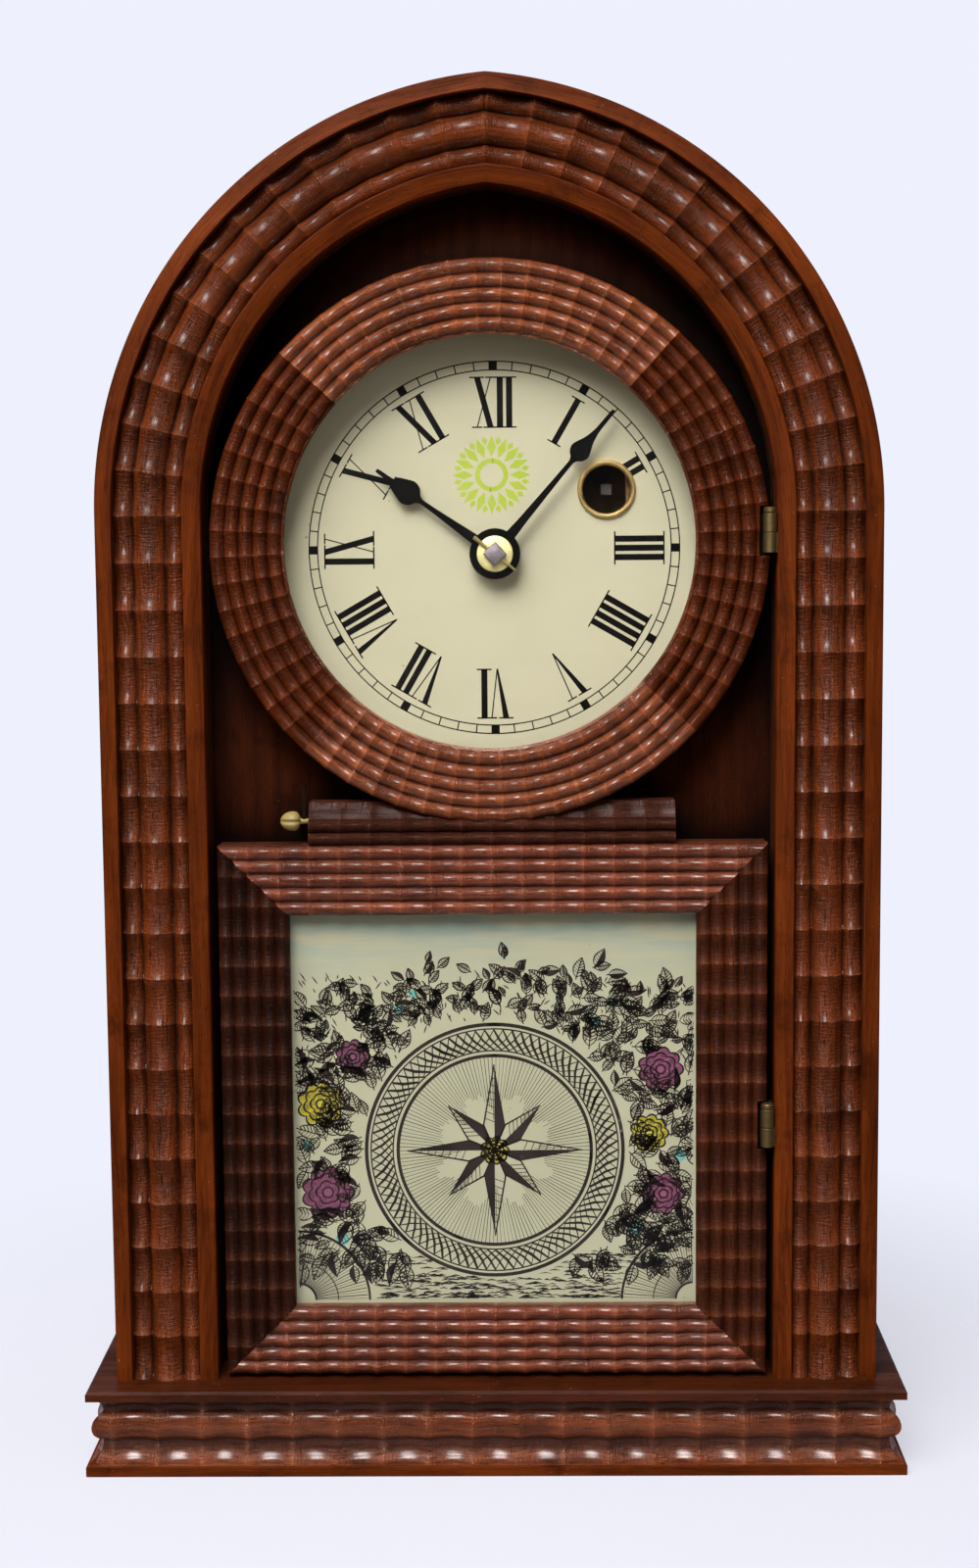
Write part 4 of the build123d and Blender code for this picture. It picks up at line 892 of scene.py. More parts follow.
@dataclass(frozen=True)
class MetalFinish:
    """Brass or steel with tarnish, fine scratches and uneven polish."""

    name: str
    bright: Colour
    tarnish: Colour
    roughness: float
    age: float
    scratch: float

    def make(self, groups: SharedGroups) -> bpy.types.Material:
        """Builds the material.

        Args:
            groups: The shared node groups.

        Returns:
            The finished material.
        """
        bench, surface, _ = start_material(self.name)
        place_in = bench.place_in()
        wear = bench.add("ShaderNodeGroup", {"Vector": place_in}, node_tree=groups.wear_and_shade)
        spots = bench.noise(place_in, 240.0, 5.0, 0.65)
        brushed = bench.noise(bench.stretch(place_in, (300.0, 900.0, 2400.0)), 1.0, 3.0, 0.6)
        aged = bench.times(bench.spread(spots, 0.35, 0.65), self.age)
        colour = bench.mix(aged, tint(self.bright), tint(self.tarnish))
        colour = bench.mix(bench.times(wear.outputs["Grime And Shade"], 0.3), colour, tint(self.tarnish, 0.3))
        rough = bench.math("ADD", self.roughness, bench.times(aged, 0.25))
        bench.fill(surface, {
            "Base Color": colour,
            "Metallic": 1.0,
            "Roughness": bench.math("ADD", rough, bench.times(brushed, 0.08)),
            "Normal": bench.bump(brushed, self.scratch, 0.0001),
        })
        return bpy.data.materials[self.name]


@dataclass(frozen=True)
class PaintFinish:
    """Paint or printing ink with specks, slow yellowing and a faint crackle."""

    name: str
    colour: Colour
    stain: Colour
    speck: Colour
    staining: float
    speckling: float
    roughness: float
    shine: float
    haze: Colour | None = None
    haze_low: float = 0.0
    haze_high: float = 1.0

    def make(self, groups: SharedGroups) -> bpy.types.Material:
        """Builds the material.

        Args:
            groups: The shared node groups; not used.

        Returns:
            The finished material.
        """
        bench, surface, _ = start_material(self.name)
        place_in = bench.place_in()
        cloud = bench.noise(place_in, 28.0, 4.0, 0.55)
        grain = bench.noise(place_in, 1500.0, 2.0, 0.6)
        stained = bench.times(bench.spread(cloud, 0.35, 0.75), self.staining)
        colour = bench.mix(stained, tint(self.colour), tint(self.stain))
        if self.haze is not None:
            level = bench.add("ShaderNodeSeparateXYZ", {0: place_in}).outputs[2]
            rise = bench.spread(level, self.haze_low, self.haze_high)
            bands = bench.noise(bench.stretch(place_in, (22.0, 1.0, 190.0)), 1.0, 4.0, 0.6)
            colour = bench.mix(
                bench.times(rise, bench.spread(bands, 0.42, 0.62)), colour, tint(self.haze)
            )
        cells = bench.add("ShaderNodeTexVoronoi", {"Vector": place_in, "Scale": 190.0})
        dots = bench.spread(cells.outputs["Distance"], 0.045, 0.09, 1.0, 0.0)
        thinned = bench.times(bench.times(dots, self.speckling), bench.spread(cloud, 0.52, 0.6))
        matt = bench.spread(cloud, 0.3, 0.7, self.roughness - 0.08, self.roughness + 0.10)
        bench.fill(surface, {
            "Base Color": bench.mix(thinned, colour, tint(self.speck)),
            "Roughness": matt,
            "Normal": bench.bump(grain, 0.08, 0.0001),
            "Specular IOR Level": self.shine,
        })
        return bpy.data.materials[self.name]


@dataclass(frozen=True)
class GlassFinish:
    """Old window glass with faint smears."""

    name: str
    colour: Colour = (0.985, 1.0, 0.99)
    smeared: Colour = (0.95, 0.97, 0.95)

    def make(self, groups: SharedGroups) -> bpy.types.Material:
        """Builds the material.

        Args:
            groups: The shared node groups, which glass doesn't need.

        Returns:
            The finished material, which lets lamp light through.
        """
        bench, surface, output = start_material(self.name)
        smear = bench.noise(bench.stretch(bench.place_in(), (30.0, 30.0, 80.0)), 1.0, 4.0, 0.6)
        smeared = bench.spread(smear, 0.4, 0.7)
        bench.fill(surface, {
            "Base Color": bench.mix(smeared, tint(self.colour), tint(self.smeared)),
            "Roughness": bench.spread(smear, 0.45, 0.7, 0.0, 0.012),
            "Normal": bench.bump(smear, 0.02, 0.0001),
            "Transmission Weight": 1.0,
            "IOR": 1.45,
            "Specular IOR Level": 0.25,
        })
        clear = bench.add("ShaderNodeBsdfTransparent", {0: tint(self.colour)})
        ray = bench.add("ShaderNodeLightPath")
        through = bench.math("MAXIMUM", ray.outputs["Is Shadow Ray"], ray.outputs["Is Diffuse Ray"])
        either = bench.add(
            "ShaderNodeMixShader", {0: through, 1: surface.outputs[0], 2: clear.outputs[0]}
        )
        bench.fill(output, {0: either.outputs[0]})
        return bpy.data.materials[self.name]


class Palette:
    """All the finishes of the clock, made once."""

    def __init__(self, groups: SharedGroups) -> None:
        """Makes each finish.

        Args:
            groups: The shared node trees.
        """
        self.groups = groups
        finishes = [*self.rippled_woods(), *self.plain_woods(), *self.metals(), *self.paints()]
        finishes.append(GlassFinish("old_glass"))
        self.made = {finish.name: finish.make(groups) for finish in finishes}

    def rippled_woods(self) -> list[WoodFinish]:
        """Lists the finishes of the wave mouldings.

        Returns:
            Each with its dark, light and worn colours, then its wear, roughness, polish, relief
            and shine.
        """
        table = (
            ("arch_ripple", (0.0560, 0.0104, 0.0016), (0.2830, 0.0550, 0.0085), (0.50, 0.26, 0.17),
             0.8, 0.28, 0.58, 0.9, 0.16, {"grime_and_groove_shade": 0.48, "dull_below": 0.42}),
            ("plinth_ripple", (0.0890, 0.0187, 0.0048), (0.3890, 0.0884, 0.0235),
             (0.60, 0.38, 0.26), 0.9, 0.25, 0.62, 0.8, 0.22, {}),
            # Painted light: the top and bottom bezel quarters take this lighter, glossier copy of
            # the bezel wood, where the light from above falls on them.
            ("bezel", (0.1330, 0.0275, 0.0068), (0.5050, 0.1250, 0.0345), (0.62, 0.38, 0.28),
             0.9, 0.25, 0.95, 0.8, 0.30, {}),
            # Painted shade: the side bezel quarters take this darker, dull copy of the same wood.
            ("bezel_dark", (0.0500, 0.0085, 0.0011), (0.1960, 0.0345, 0.0046), (0.42, 0.24, 0.17),
             0.7, 0.36, 0.05, 0.8, 0.10, {}),
            # Painted light: the rails take a lighter, glossier copy of the door-frame wood, since
            # their beads face the light from above.
            ("rail", (0.1130, 0.0240, 0.0090), (0.4050, 0.0920, 0.0360), (0.64, 0.41, 0.33),
             0.9, 0.25, 0.85, 0.7, 0.26, {}),
            # Painted shade: the stiles take darker, dull copies of the frame wood, and the left
            # stile is darker than the right.
            ("stile_dark", (0.0160, 0.0042, 0.0018), (0.0920, 0.0205, 0.0068), (0.30, 0.18, 0.13),
             0.4, 0.42, 0.12, 0.6, 0.10, {"grime_and_groove_shade": 0.25, "painted_ripple_shade": 0.50}),
            ("stile_red", (0.0375, 0.0088, 0.0030), (0.1830, 0.0400, 0.0112), (0.36, 0.20, 0.14),
             0.4, 0.42, 0.12, 0.6, 0.10, {"grime_and_groove_shade": 0.25, "painted_ripple_shade": 0.50}),
            ("neck", (0.0290, 0.0080, 0.0042), (0.1080, 0.0290, 0.0140), (0.40, 0.22, 0.18),
             0.5, 0.42, 0.03, 0.8, 0.04, {}),
        )
        return [
            WoodFinish(
                f"{name}_wood", dark, light, worn=worn, wear=wear, roughness=rough, polish=polish,
                relief=relief, shine=shine, rippled=True, **more,
            )
            for name, dark, light, worn, wear, rough, polish, relief, shine, more in table
        ]

    def plain_woods(self) -> list[WoodFinish]:
        """Lists the finishes of the fillets and the plain boards.

        Returns:
            The finish of the fillets, then those of the boards.
        """
        return [
            WoodFinish(
                "fillet_wood", (0.0560, 0.0088, 0.0010), (0.2350, 0.0455, 0.0058),
                worn=(0.52, 0.30, 0.17), wear=0.7, roughness=0.55, polish=0.0, relief=0.35,
                shine=0.04,
            ),
            WoodFinish(
                "case_side_wood", (0.0750, 0.0133, 0.0018), (0.1950, 0.0405, 0.0060),
                course=Course.UPRIGHT,
                worn=(0.52, 0.30, 0.17), wear=0.5, roughness=0.50, polish=0.06, relief=0.3,
                shine=0.06,
            ),
            # The dial board carries painted shade in its recesses and gaps.
            WoodFinish(
                "dial_board_wood", (0.036, 0.0064, 0.0013), (0.100, 0.0200, 0.0045),
                course=Course.UPRIGHT,
                worn=(0.30, 0.16, 0.09), wear=0.4, roughness=0.60, polish=0.0, relief=0.3,
                shine=0.03, painted_corner_shade=0.035,
            ),
            WoodFinish(
                "plinth_board_wood", (0.0395, 0.0074, 0.0017), (0.1100, 0.0235, 0.0058),
                course=Course.SIDEWAYS,
                worn=(0.60, 0.42, 0.30), wear=0.8, roughness=0.46, polish=0.1, relief=0.35,
                shine=0.10,
            ),
            WoodFinish(
                "core_pine", (0.24, 0.125, 0.052), (0.42, 0.255, 0.120),
                course=Course.UPRIGHT, coarseness=0.6,
                worn=(0.60, 0.47, 0.32), roughness=0.6, polish=0.0, relief=0.3,
            ),
            WoodFinish(
                "frame_red_wood", (0.050, 0.0120, 0.0035), (0.125, 0.032, 0.0100),
                course=Course.UPRIGHT,
                worn=(0.40, 0.24, 0.16), wear=0.3, roughness=0.5, polish=0.1, relief=0.3,
            ),
            # Painted shade: a near-black finish for the faces of the hinge notches, which stand in
            # shade.
            WoodFinish(
                "seat_painted_shade_wood", (0.0030, 0.0016, 0.0010), (0.0080, 0.0035, 0.0020),
                course=Course.UPRIGHT,
                worn=(0.05, 0.03, 0.02), wear=0.3, roughness=0.7, polish=0.0, relief=0.2,
                shine=0.05,
            ),
        ]

    def metals(self) -> list[MetalFinish]:
        """Lists the metals.

        Returns:
            Each with its bright and tarnished colours, then its roughness, age and scratches.
        """
        table = (
            ("brass", (0.80, 0.62, 0.26), (0.46, 0.31, 0.10), 0.26, 0.5, 0.12),
            ("bronze", (0.70, 0.49, 0.21), (0.34, 0.21, 0.08), 0.24, 0.6, 0.12),
            ("washer_brass", (0.66, 0.60, 0.30), (0.46, 0.39, 0.17), 0.48, 0.5, 0.2),
            ("old_brass", (0.30, 0.220, 0.095), (0.12, 0.085, 0.032), 0.42, 0.7, 0.4),
            # Near-black brass; on the movement's front plate it is painted shade so that the
            # winding hole reads dark.
            ("near_black_brass", (0.026, 0.018, 0.009), (0.010, 0.007, 0.004), 0.50, 0.6, 0.3),
            ("steel", (0.62, 0.60, 0.56), (0.30, 0.27, 0.23), 0.30, 0.6, 0.2),
            ("grey_steel", (0.24, 0.205, 0.230), (0.09, 0.075, 0.085), 0.44, 0.8, 0.4),
            ("black_steel", (0.055, 0.050, 0.048), (0.020, 0.018, 0.017), 0.50, 0.6, 0.3),
            ("blued_steel", (0.12, 0.15, 0.24), (0.07, 0.06, 0.08), 0.30, 0.5, 0.12),
            ("bob_brass", (0.66, 0.47, 0.19), (0.30, 0.19, 0.07), 0.24, 0.6, 0.25),
        )
        return [MetalFinish(*row) for row in table]

    def paints(self) -> list[PaintFinish]:
        """Lists the paints and inks.

        Returns:
            Each with its own, stained and speck colours, then its staining, speckling, roughness
            and shine.
        """
        table = (
            ("tarnished_brass", (0.380, 0.285, 0.095), (0.230, 0.170, 0.055), (0.080, 0.055, 0.025),
             0.6, 0.5, 0.5, 0.3),
            ("dial_cream", (0.735, 0.680, 0.495), (0.650, 0.585, 0.395), (0.16, 0.13, 0.08),
             0.35, 0.75, 0.42, 0.2),
            ("dial_ink", (0.004, 0.0035, 0.0035), (0.008, 0.007, 0.006), (0.20, 0.18, 0.14),
             0.5, 0.35, 0.42, 0.08),
            ("hand_black", (0.003, 0.003, 0.003), (0.008, 0.007, 0.007), (0.10, 0.09, 0.08),
             0.5, 0.3, 0.40, 0.05),
            ("ornament_green", (0.520, 0.640, 0.070), (0.600, 0.680, 0.180), (0.700, 0.690, 0.450),
             0.6, 0.8, 0.45, 0.2),
            ("tablet_ink", (0.022, 0.015, 0.014), (0.050, 0.034, 0.030), (0.30, 0.25, 0.20),
             0.6, 0.5, 0.5, 0.2),
            ("tablet_yellow", (0.640, 0.560, 0.050), (0.480, 0.400, 0.050), (0.20, 0.16, 0.05),
             0.6, 0.5, 0.5, 0.2),
            ("tablet_mauve", (0.330, 0.100, 0.200), (0.200, 0.055, 0.130), (0.10, 0.03, 0.06),
             0.6, 0.5, 0.5, 0.2),
            ("tablet_teal", (0.200, 0.560, 0.500), (0.130, 0.400, 0.370), (0.10, 0.20, 0.18),
             0.6, 0.5, 0.5, 0.2),
        )
        cream = PaintFinish(
            "tablet_cream", (0.590, 0.570, 0.415), (0.520, 0.495, 0.330), (0.30, 0.28, 0.20),
            0.35, 0.5, 0.5, 0.2, haze=(0.42, 0.50, 0.43), haze_low=0.172, haze_high=0.190,
        )
        return [*(PaintFinish(*row) for row in table), cream]

    def put(self, name: str, *pieces: bpy.types.Object) -> None:
        """Gives pieces a finish.

        Args:
            name: The finish's name.
            *pieces: New pieces or carried-over nodes.
        """
        for piece in pieces:
            if not piece.data.materials:
                piece.data.materials.append(None)
            for index in range(len(piece.data.materials)):
                piece.data.materials[index] = self.made[name]
            for index in range(len(piece.material_slots)):
                piece.material_slots[index].material = self.made[name]


@dataclass
class Route:
    """The path of a moulding.

    A phase counts ripples along it, across runs over its face and into goes into the wood.
    """

    first_phase: float
    last_phase: float

    def point(self, phase: float, across: float, into: float) -> Vector:
        """Gives a point of the moulding in metres."""
        raise NotImplementedError

    def length_to(self, phase: float) -> float:
        """Gives the distance along the moulding in millimetres."""
        raise NotImplementedError

    def dip(self) -> Vector:
        """Gives the direction in which the ripples are cut."""
        return Vector((0, 1, 0))

    def phases(self, steps: int) -> list[float]:
        """Gives the stations, with one on every crest.

        Args:
            steps: Stations in one ripple.

        Returns:
            Phases from the first to the last.
        """
        low = math.ceil(self.first_phase * steps + 0.01)
        high = math.floor(self.last_phase * steps - 0.01)
        between = [index / steps for index in range(low, high + 1)]
        return [self.first_phase, *between, self.last_phase]


@dataclass
class StraightRoute(Route):
    """A straight moulding."""

    start: tuple[float, float, float]
    along: tuple[float, float, float]
    across: tuple[float, float, float]
    into: tuple[float, float, float]
    pitch: float

    def point(self, phase: float, across: float, into: float) -> Vector:
        """Gives a point of the moulding in metres.

        Args:
            phase: Ripples from the start.
            across: Millimetres over the face.
            into: Millimetres into the wood.

        Returns:
            The point.
        """
        x, depth, height = (
            s + a * phase * self.pitch + c * across + d * into
            for s, a, c, d in zip(self.start, self.along, self.across, self.into)
        )
        return place(x, depth, height)

    def length_to(self, phase: float) -> float:
        """Gives the distance along the moulding in millimetres."""
        return phase * self.pitch

    def dip(self) -> Vector:
        """Gives the direction in which the ripples are cut."""
        return Vector(self.into)


@dataclass
class ArchRoute(Route):
    """One side of the gothic arch: upright to the spring line, then an arc to the point."""

    side: int
    foot: float = 30.8
    spring: float = 336.2
    radius: float = 147.4
    centre_past: float = 12.6
    straight_ripples: int = 19
    curved_ripples: int = 13
    top_angle: float = math.radians(84.41)

    def point(self, phase: float, across: float, into: float) -> Vector:
        """Gives a point of the moulding in metres.

        Args:
            phase: Ripples from the start.
            across: Millimetres over the face.
            into: Millimetres into the wood.

        Returns:
            The point.
        """
        reach = self.radius - across
        if phase <= self.straight_ripples:
            x = self.centre_past - reach
            height = self.foot + (self.spring - self.foot) * phase / self.straight_ripples
        else:
            angle = self.top_angle * (phase - self.straight_ripples) / self.curved_ripples
            x = self.centre_past - reach * math.cos(angle)
            height = self.spring + reach * math.sin(angle)
        return place(-self.side * x, into, height)

    def length_to(self, phase: float) -> float:
        """Gives the distance along the moulding in millimetres."""
        return phase * (self.spring - self.foot) / self.straight_ripples


@dataclass
class RingRoute(Route):
    """A quarter of a round bezel."""

    centre: Point
    radius: float
    seam_degrees: float
    ripples: int = 16

    def point(self, phase: float, across: float, into: float) -> Vector:
        """Gives a point of the moulding in metres.

        Args:
            phase: Ripples from the start.
            across: Millimetres over the face.
            into: Millimetres into the wood.

        Returns:
            The point.
        """
        angle = math.radians(self.seam_degrees + 90 * phase / self.ripples)
        x, height = around(self.centre, self.radius - across, angle)
        return place(x, into, height)

    def length_to(self, phase: float) -> float:
        """Gives the distance along the moulding in millimetres."""
        return phase * self.radius * math.pi / 2 / self.ripples


@dataclass(frozen=True)
class Bead:
    """One corner of a moulding's section."""

    across: float
    into: float
    share: float = 1.0


def beads(points: list[Point], share: float = 1.0, steps: int = 0) -> list[Bead]:
    """Makes section corners from points, rounded where steps is given.

    Args:
        points: (across, into) points.
        share: How deep the ripples cut here, from 0 to 1.
        steps: Pieces in each gap of the smooth run, or 0 for straight lines.

    Returns:
        The corners.
    """
    run = spline(points, steps) if steps else points
    return [Bead(across, into, share) for across, into in run]


@dataclass
class WaveMoulding:
    """A length of wave moulding: its section swept along a route, then cut by the ripple tree."""

    name: str
    nodes: tuple[str, ...]
    body: str
    route: Route
    section: list[Bead]
    finish: str
    scallop: float
    steps: int
    seed: int
    slot: str = "rosewood"
    mitres: list[tuple[Vector, Vector]] = field(default_factory=list)
    seats: list[tuple[Vector, Vector]] = field(default_factory=list)
    fillet_finish: str | None = None
    carved_share: float = 0.9

    def stock(self) -> bpy.types.Object:
        """Sweeps the section along the route and closes both ends.

        Returns:
            The uncut stock with its grain map and cutting attributes.
        """
        phases = self.route.phases(self.steps)
        count = len(self.section)
        rows = [row * count for row in range(len(phases))]
        points = [
            self.route.point(phase, bead.across, bead.into)
            for phase in phases for bead in self.section
        ]
        faces: list[tuple[int, ...]] = [
            (low + bead, low + (bead + 1) % count, high + (bead + 1) % count, high + bead)
            for low, high in zip(rows, rows[1:]) for bead in range(count)
        ]
        faces += [tuple(reversed(range(count))), tuple(range(rows[-1], rows[-1] + count))]
        piece = new_object(self.name, points, faces)
        self.map_grain(piece.data, phases)
        self.mark_cuts(piece.data, phases)
        return piece

    def map_grain(self, mesh: bpy.types.Mesh, phases: list[float]) -> None:
        """Unrolls the stock into the map that the grain follows.

        Args:
            mesh: The stock.
            phases: The stations along it.
        """
        count = len(self.section)
        run = [0.0]
        for before, after in zip(self.section, [*self.section[1:], self.section[0]]):
            run.append(run[-1] + math.hypot(after.across - before.across, after.into - before.into))
        lengths = [self.route.length_to(phase) for phase in phases]
        grain = mesh.uv_layers.new(name="grain")
        for face in mesh.polygons:
            closes = {index % count for index in face.vertices} == {0, count - 1}
            for loop in face.loop_indices:
                row, corner = divmod(mesh.loops[loop].vertex_index, count)
                over = run[count] if closes and corner == 0 else run[corner]
                grain.data[loop].uv = (lengths[row] * MILLIMETRE, over * MILLIMETRE)

    def mark_cuts(self, mesh: bpy.types.Mesh, phases: list[float]) -> None:
        """Stores where, how deep and which way the ripples are cut.

        Args:
            mesh: The stock.
            phases: The stations along it.
        """
        kinds = {"phase": "FLOAT", "share": "FLOAT", "groove": "FLOAT", "dip": "FLOAT_VECTOR"}
        for title, kind in kinds.items():
            mesh.attributes.new(title, kind, "POINT")
        data = {title: mesh.attributes[title].data for title in kinds}
        least = self.carved_share
        carved = [bead.into for bead in self.section if bead.share > least] or [0.0, 1.0]
        crest, deepest = min(carved), max(carved)
        dip = self.route.dip()
        for index in range(len(phases) * len(self.section)):
            row, corner = divmod(index, len(self.section))
            bead = self.section[corner]
            sunk = (bead.into - crest) / (deepest - crest) if bead.share > least else 0.0
            # The groove value gives how far a corner lies below the crests and feeds the painted
            # shade in the grooves.
            data["groove"][index].value = sunk
            data["phase"][index].value = phases[row]
            data["share"][index].value = bead.share
            data["dip"][index].vector = dip

    def cut_seats(self, piece: bpy.types.Object, palette: Palette) -> None:
        """Lets the hinge seats into the piece and gives their faces near-black painted shade.

        Args:
            piece: The finished moulding.
            palette: The finishes.
        """
        slack = 0.02 * MILLIMETRE
        for low, high in self.seats:
            cut_seat(piece, low, high)
        # Painted shade: the notch faces get a near-black finish.
        piece.data.materials.append(palette.made["seat_painted_shade_wood"])
        dark = len(piece.data.materials) - 1
        for face in piece.data.polygons:
            for low, high in self.seats:
                if all(a - slack <= c <= b + slack for a, c, b in zip(low, face.center, high)):
                    face.material_index = dark
        settle(piece, CRISP_RIPPLE_DEGREES)

    def build(self, palette: Palette) -> None:
        """Cuts the ripples, mitres and seats and hands the piece to the frame.

        Args:
            palette: The finishes and shared trees.
        """
        piece = self.stock()
        run_tree(piece, palette.groups.ripples, {
            "Scallop Depth": self.scallop * MILLIMETRE,
            "Unevenness": 0.16,
            "Chatter": 0.3 * MILLIMETRE,
            "Seed": self.seed,
            "Finish": palette.made[self.finish],
        })
        trim(piece, self.mitres)
        settle(piece, CRISP_RIPPLE_DEGREES)
        if self.fillet_finish:
            piece.data.materials.append(palette.made[self.fillet_finish])
            share = piece.data.attributes["share"].data
            for face in piece.data.polygons:
                if all(share[index].value < 0.5 for index in face.vertices):
                    face.material_index = 1
        if self.seats:
            self.cut_seats(piece, palette)
        hand_over(piece, self.body, self.slot, *self.nodes)


def bead_rows(count: int, pitch: float, crest: float, groove: float) -> list[Bead]:
    """Draws a row of round beads side by side.

    Args:
        count: How many beads.
        pitch: Width of one bead.
        crest: Depth of the top of a bead.
        groove: Depth of the groove between two beads.

    Returns:
        Section corners from the first groove to the last.
    """
    corners = []
    steps = 8
    roundness = 2.1
    for index in range(count * steps + 1):
        lean = 2 * ((index % steps) / steps) - 1
        into = crest + (groove - crest) * abs(lean) ** roundness
        corners.append(Bead(index * pitch / steps, into))
    return corners


@dataclass
class CaseWoodwork:
    """Plinth, side band and the two arch mouldings."""

    moulding_back: float = 9.0
    arch_end_phase: float = 33.0
    arch_scallop: float = 2.2
    band_thickness: float = 6.4
    case_depth: float = 94.0
    plinth_half_width: float = 144.2
    plinth_overhang: float = 11.3
    plinth_pitch: float = 15.9
    plinth_scallop: float = 1.7
    plinth_stock: float = 20.0
    plinth_end_play: float = 1.1
    steps: int = 14

    def arch_section(self) -> list[Bead]:
        """Draws the arch moulding from its outer edge to its inner edge.

        Returns:
            The corners of the section.
        """
        outer_flat = [(0.0, 1.8), (0.2, 1.3), (0.8, 1.0), (5.6, 0.05), (5.85, 0.2), (5.9, 3.5)]
        outer_bead = [
            (5.95, 3.7), (6.6, 3.0), (7.8, 2.2), (9.3, 1.85), (10.7, 2.1), (11.9, 2.8), (12.6, 3.8),
        ]
        broad_bead = [
            (12.75, 3.9), (13.3, 2.5), (14.6, 1.05), (16.3, 0.25), (18.2, 0.0), (20.0, 0.3),
            (21.6, 1.1), (22.9, 2.5), (23.5, 3.9),
        ]
        inner_bead = [
            (23.65, 4.0), (24.2, 2.7), (25.3, 1.5), (26.8, 1.05), (28.2, 1.35), (29.3, 2.2),
            (29.9, 3.2),
        ]
        inner_flat = [
            (30.0, 3.3), (30.05, 0.5), (30.4, 0.35), (35.4, 1.3), (36.1, 1.6), (36.4, 2.2),
        ]
        return [
            *beads(outer_flat, 0.0), *beads(outer_bead, 1.3, 2), *beads(broad_bead, 1.0, 2),
            *beads(inner_bead, 1.0, 2), *beads(inner_flat, 0.0),
            *beads([(36.4, self.moulding_back), (0.0, self.moulding_back)], 0.0),
        ]

    def plinth_section(self) -> list[Bead]:
        """Draws the plinth moulding from its foot up; across is height, into is inwards.

        Returns:
            The corners of the section.
        """
        foot = [(0.0, 0.3), (0.3, 0.0), (3.5, 0.0), (3.7, 0.2), (3.75, 0.9)]
        cove = [(3.8, 1.0), (5.2, 1.5), (6.9, 2.8), (9.0, 3.9), (11.6, 4.3)]
        bead = [
            (12.0, 4.2), (12.6, 3.0), (14.2, 2.0), (16.6, 1.55), (18.8, 1.75), (20.6, 2.5),
            (22.1, 4.1),
        ]
        top = [(22.4, 4.4), (24.0, 4.2), (25.6, 3.2), (26.8, 2.3), (27.4, 2.0)]
        return [
            *beads(foot, 0.0), *beads(cove, 1.0, 3), *beads(bead, 1.0, 3), *beads(top, 1.0, 2),
            *beads([(27.4, self.plinth_stock), (0.0, self.plinth_stock)], 0.0),
        ]

    def arch_mouldings(self) -> list[WaveMoulding]:
        """Lists the two arch mouldings, which run past the point and are sawn off there.

        Returns:
            The left and the right moulding.
        """
        return [
            WaveMoulding(
                f"arch_ripple_{name}", (f"arch_moulding_{name}",), "case",
                ArchRoute(0.0, self.arch_end_phase, side), self.arch_section(), "arch_ripple_wood",
                scallop=self.arch_scallop, steps=self.steps, seed=5 + side,
                mitres=[(Vector((0, 0, 0)), Vector((-side, 0, 0)))], fillet_finish="fillet_wood",
            )
            for side, name in SIDES
        ]

    def plinth_mouldings(self) -> list[WaveMoulding]:
        """Lists the front length of the plinth and its two returns.

        Returns:
            Three lengths, mitred at the front corners.
        """
        half, front, pitch = self.plinth_half_width, -self.plinth_overhang, self.plinth_pitch
        depth = self.case_depth + self.plinth_overhang
        reach = half / pitch + 0.5
        play = self.plinth_end_play
        corners = {side: place(side * half, front, 0) for side, _ in SIDES}
        lengths = [(
            "front", 11,
            StraightRoute(-reach + 1, reach, (-pitch / 2, front, 0.0), (1, 0, 0), (0, 0, 1),
                          (0, 1, 0), pitch),
            [(corners[side], Vector((side, 1, 0)).normalized()) for side, _ in SIDES],
        )]
        for side, name in SIDES:
            lengths.append((
                name, 13 + side,
                StraightRoute(-play / pitch, (depth - play) / pitch,
                              (side * half, front + play, 0.0), (0, 1, 0), (0, 0, 1),
                              (-side, 0, 0), pitch),
                [(corners[side], Vector((-side, -1, 0)).normalized())],
            ))
        return [
            WaveMoulding(
                f"plinth_ripple_{name}", (f"plinth_{name}_moulding",), "case", route,
                self.plinth_section(), "plinth_ripple_wood", scallop=self.plinth_scallop,
                steps=self.steps, seed=seed, slot="walnut_veneer", mitres=mitres,
                fillet_finish="fillet_wood",
            )
            for name, seed, route, mitres in lengths
        ]

    def side_band(self, palette: Palette) -> None:
        """Makes the bent side band smooth round the arch.

        Args:
            palette: The finishes.
        """
        thick, deep, ease = self.band_thickness, self.case_depth, 0.5
        section = beads([
            (0.0, self.moulding_back), (thick, self.moulding_back), (thick, deep), (ease, deep),
            (0.0, deep - ease),
        ], 0.0)
        halves = []
        for side, _ in SIDES:
            half = WaveMoulding(
                "band_half", (), "case", ArchRoute(0.0, self.arch_end_phase, side), section,
                "case_side_wood", scallop=0.0, steps=5, seed=1,
            ).stock()
            trim(half, [(Vector((0, 0, 0)), Vector((-side, 0, 0)))])
            halves.append(settle(half))
        band = joined("case_band", halves)
        palette.put("case_side_wood", band)
        hand_over(band, "case", "rosewood", "case_hoop")

    def build(self, palette: Palette) -> None:
        """Builds the mouldings and the band and finishes the plain boards.

        Args:
            palette: The finishes.
        """
        for moulding in (*self.arch_mouldings(), *self.plinth_mouldings()):
            moulding.build(palette)
        self.side_band(palette)
        nodes = frame["nodes"]
        palette.put("plinth_board_wood", nodes["plinth_top_board"], nodes["plinth_back_rail"])
        palette.put("dial_board_wood", nodes["dial_board"])
        palette.put("frame_red_wood", nodes["arch_frame"])
        palette.put("core_pine", nodes["back_board"], nodes["movement_battens"])
        LOG.info("case boards finished")

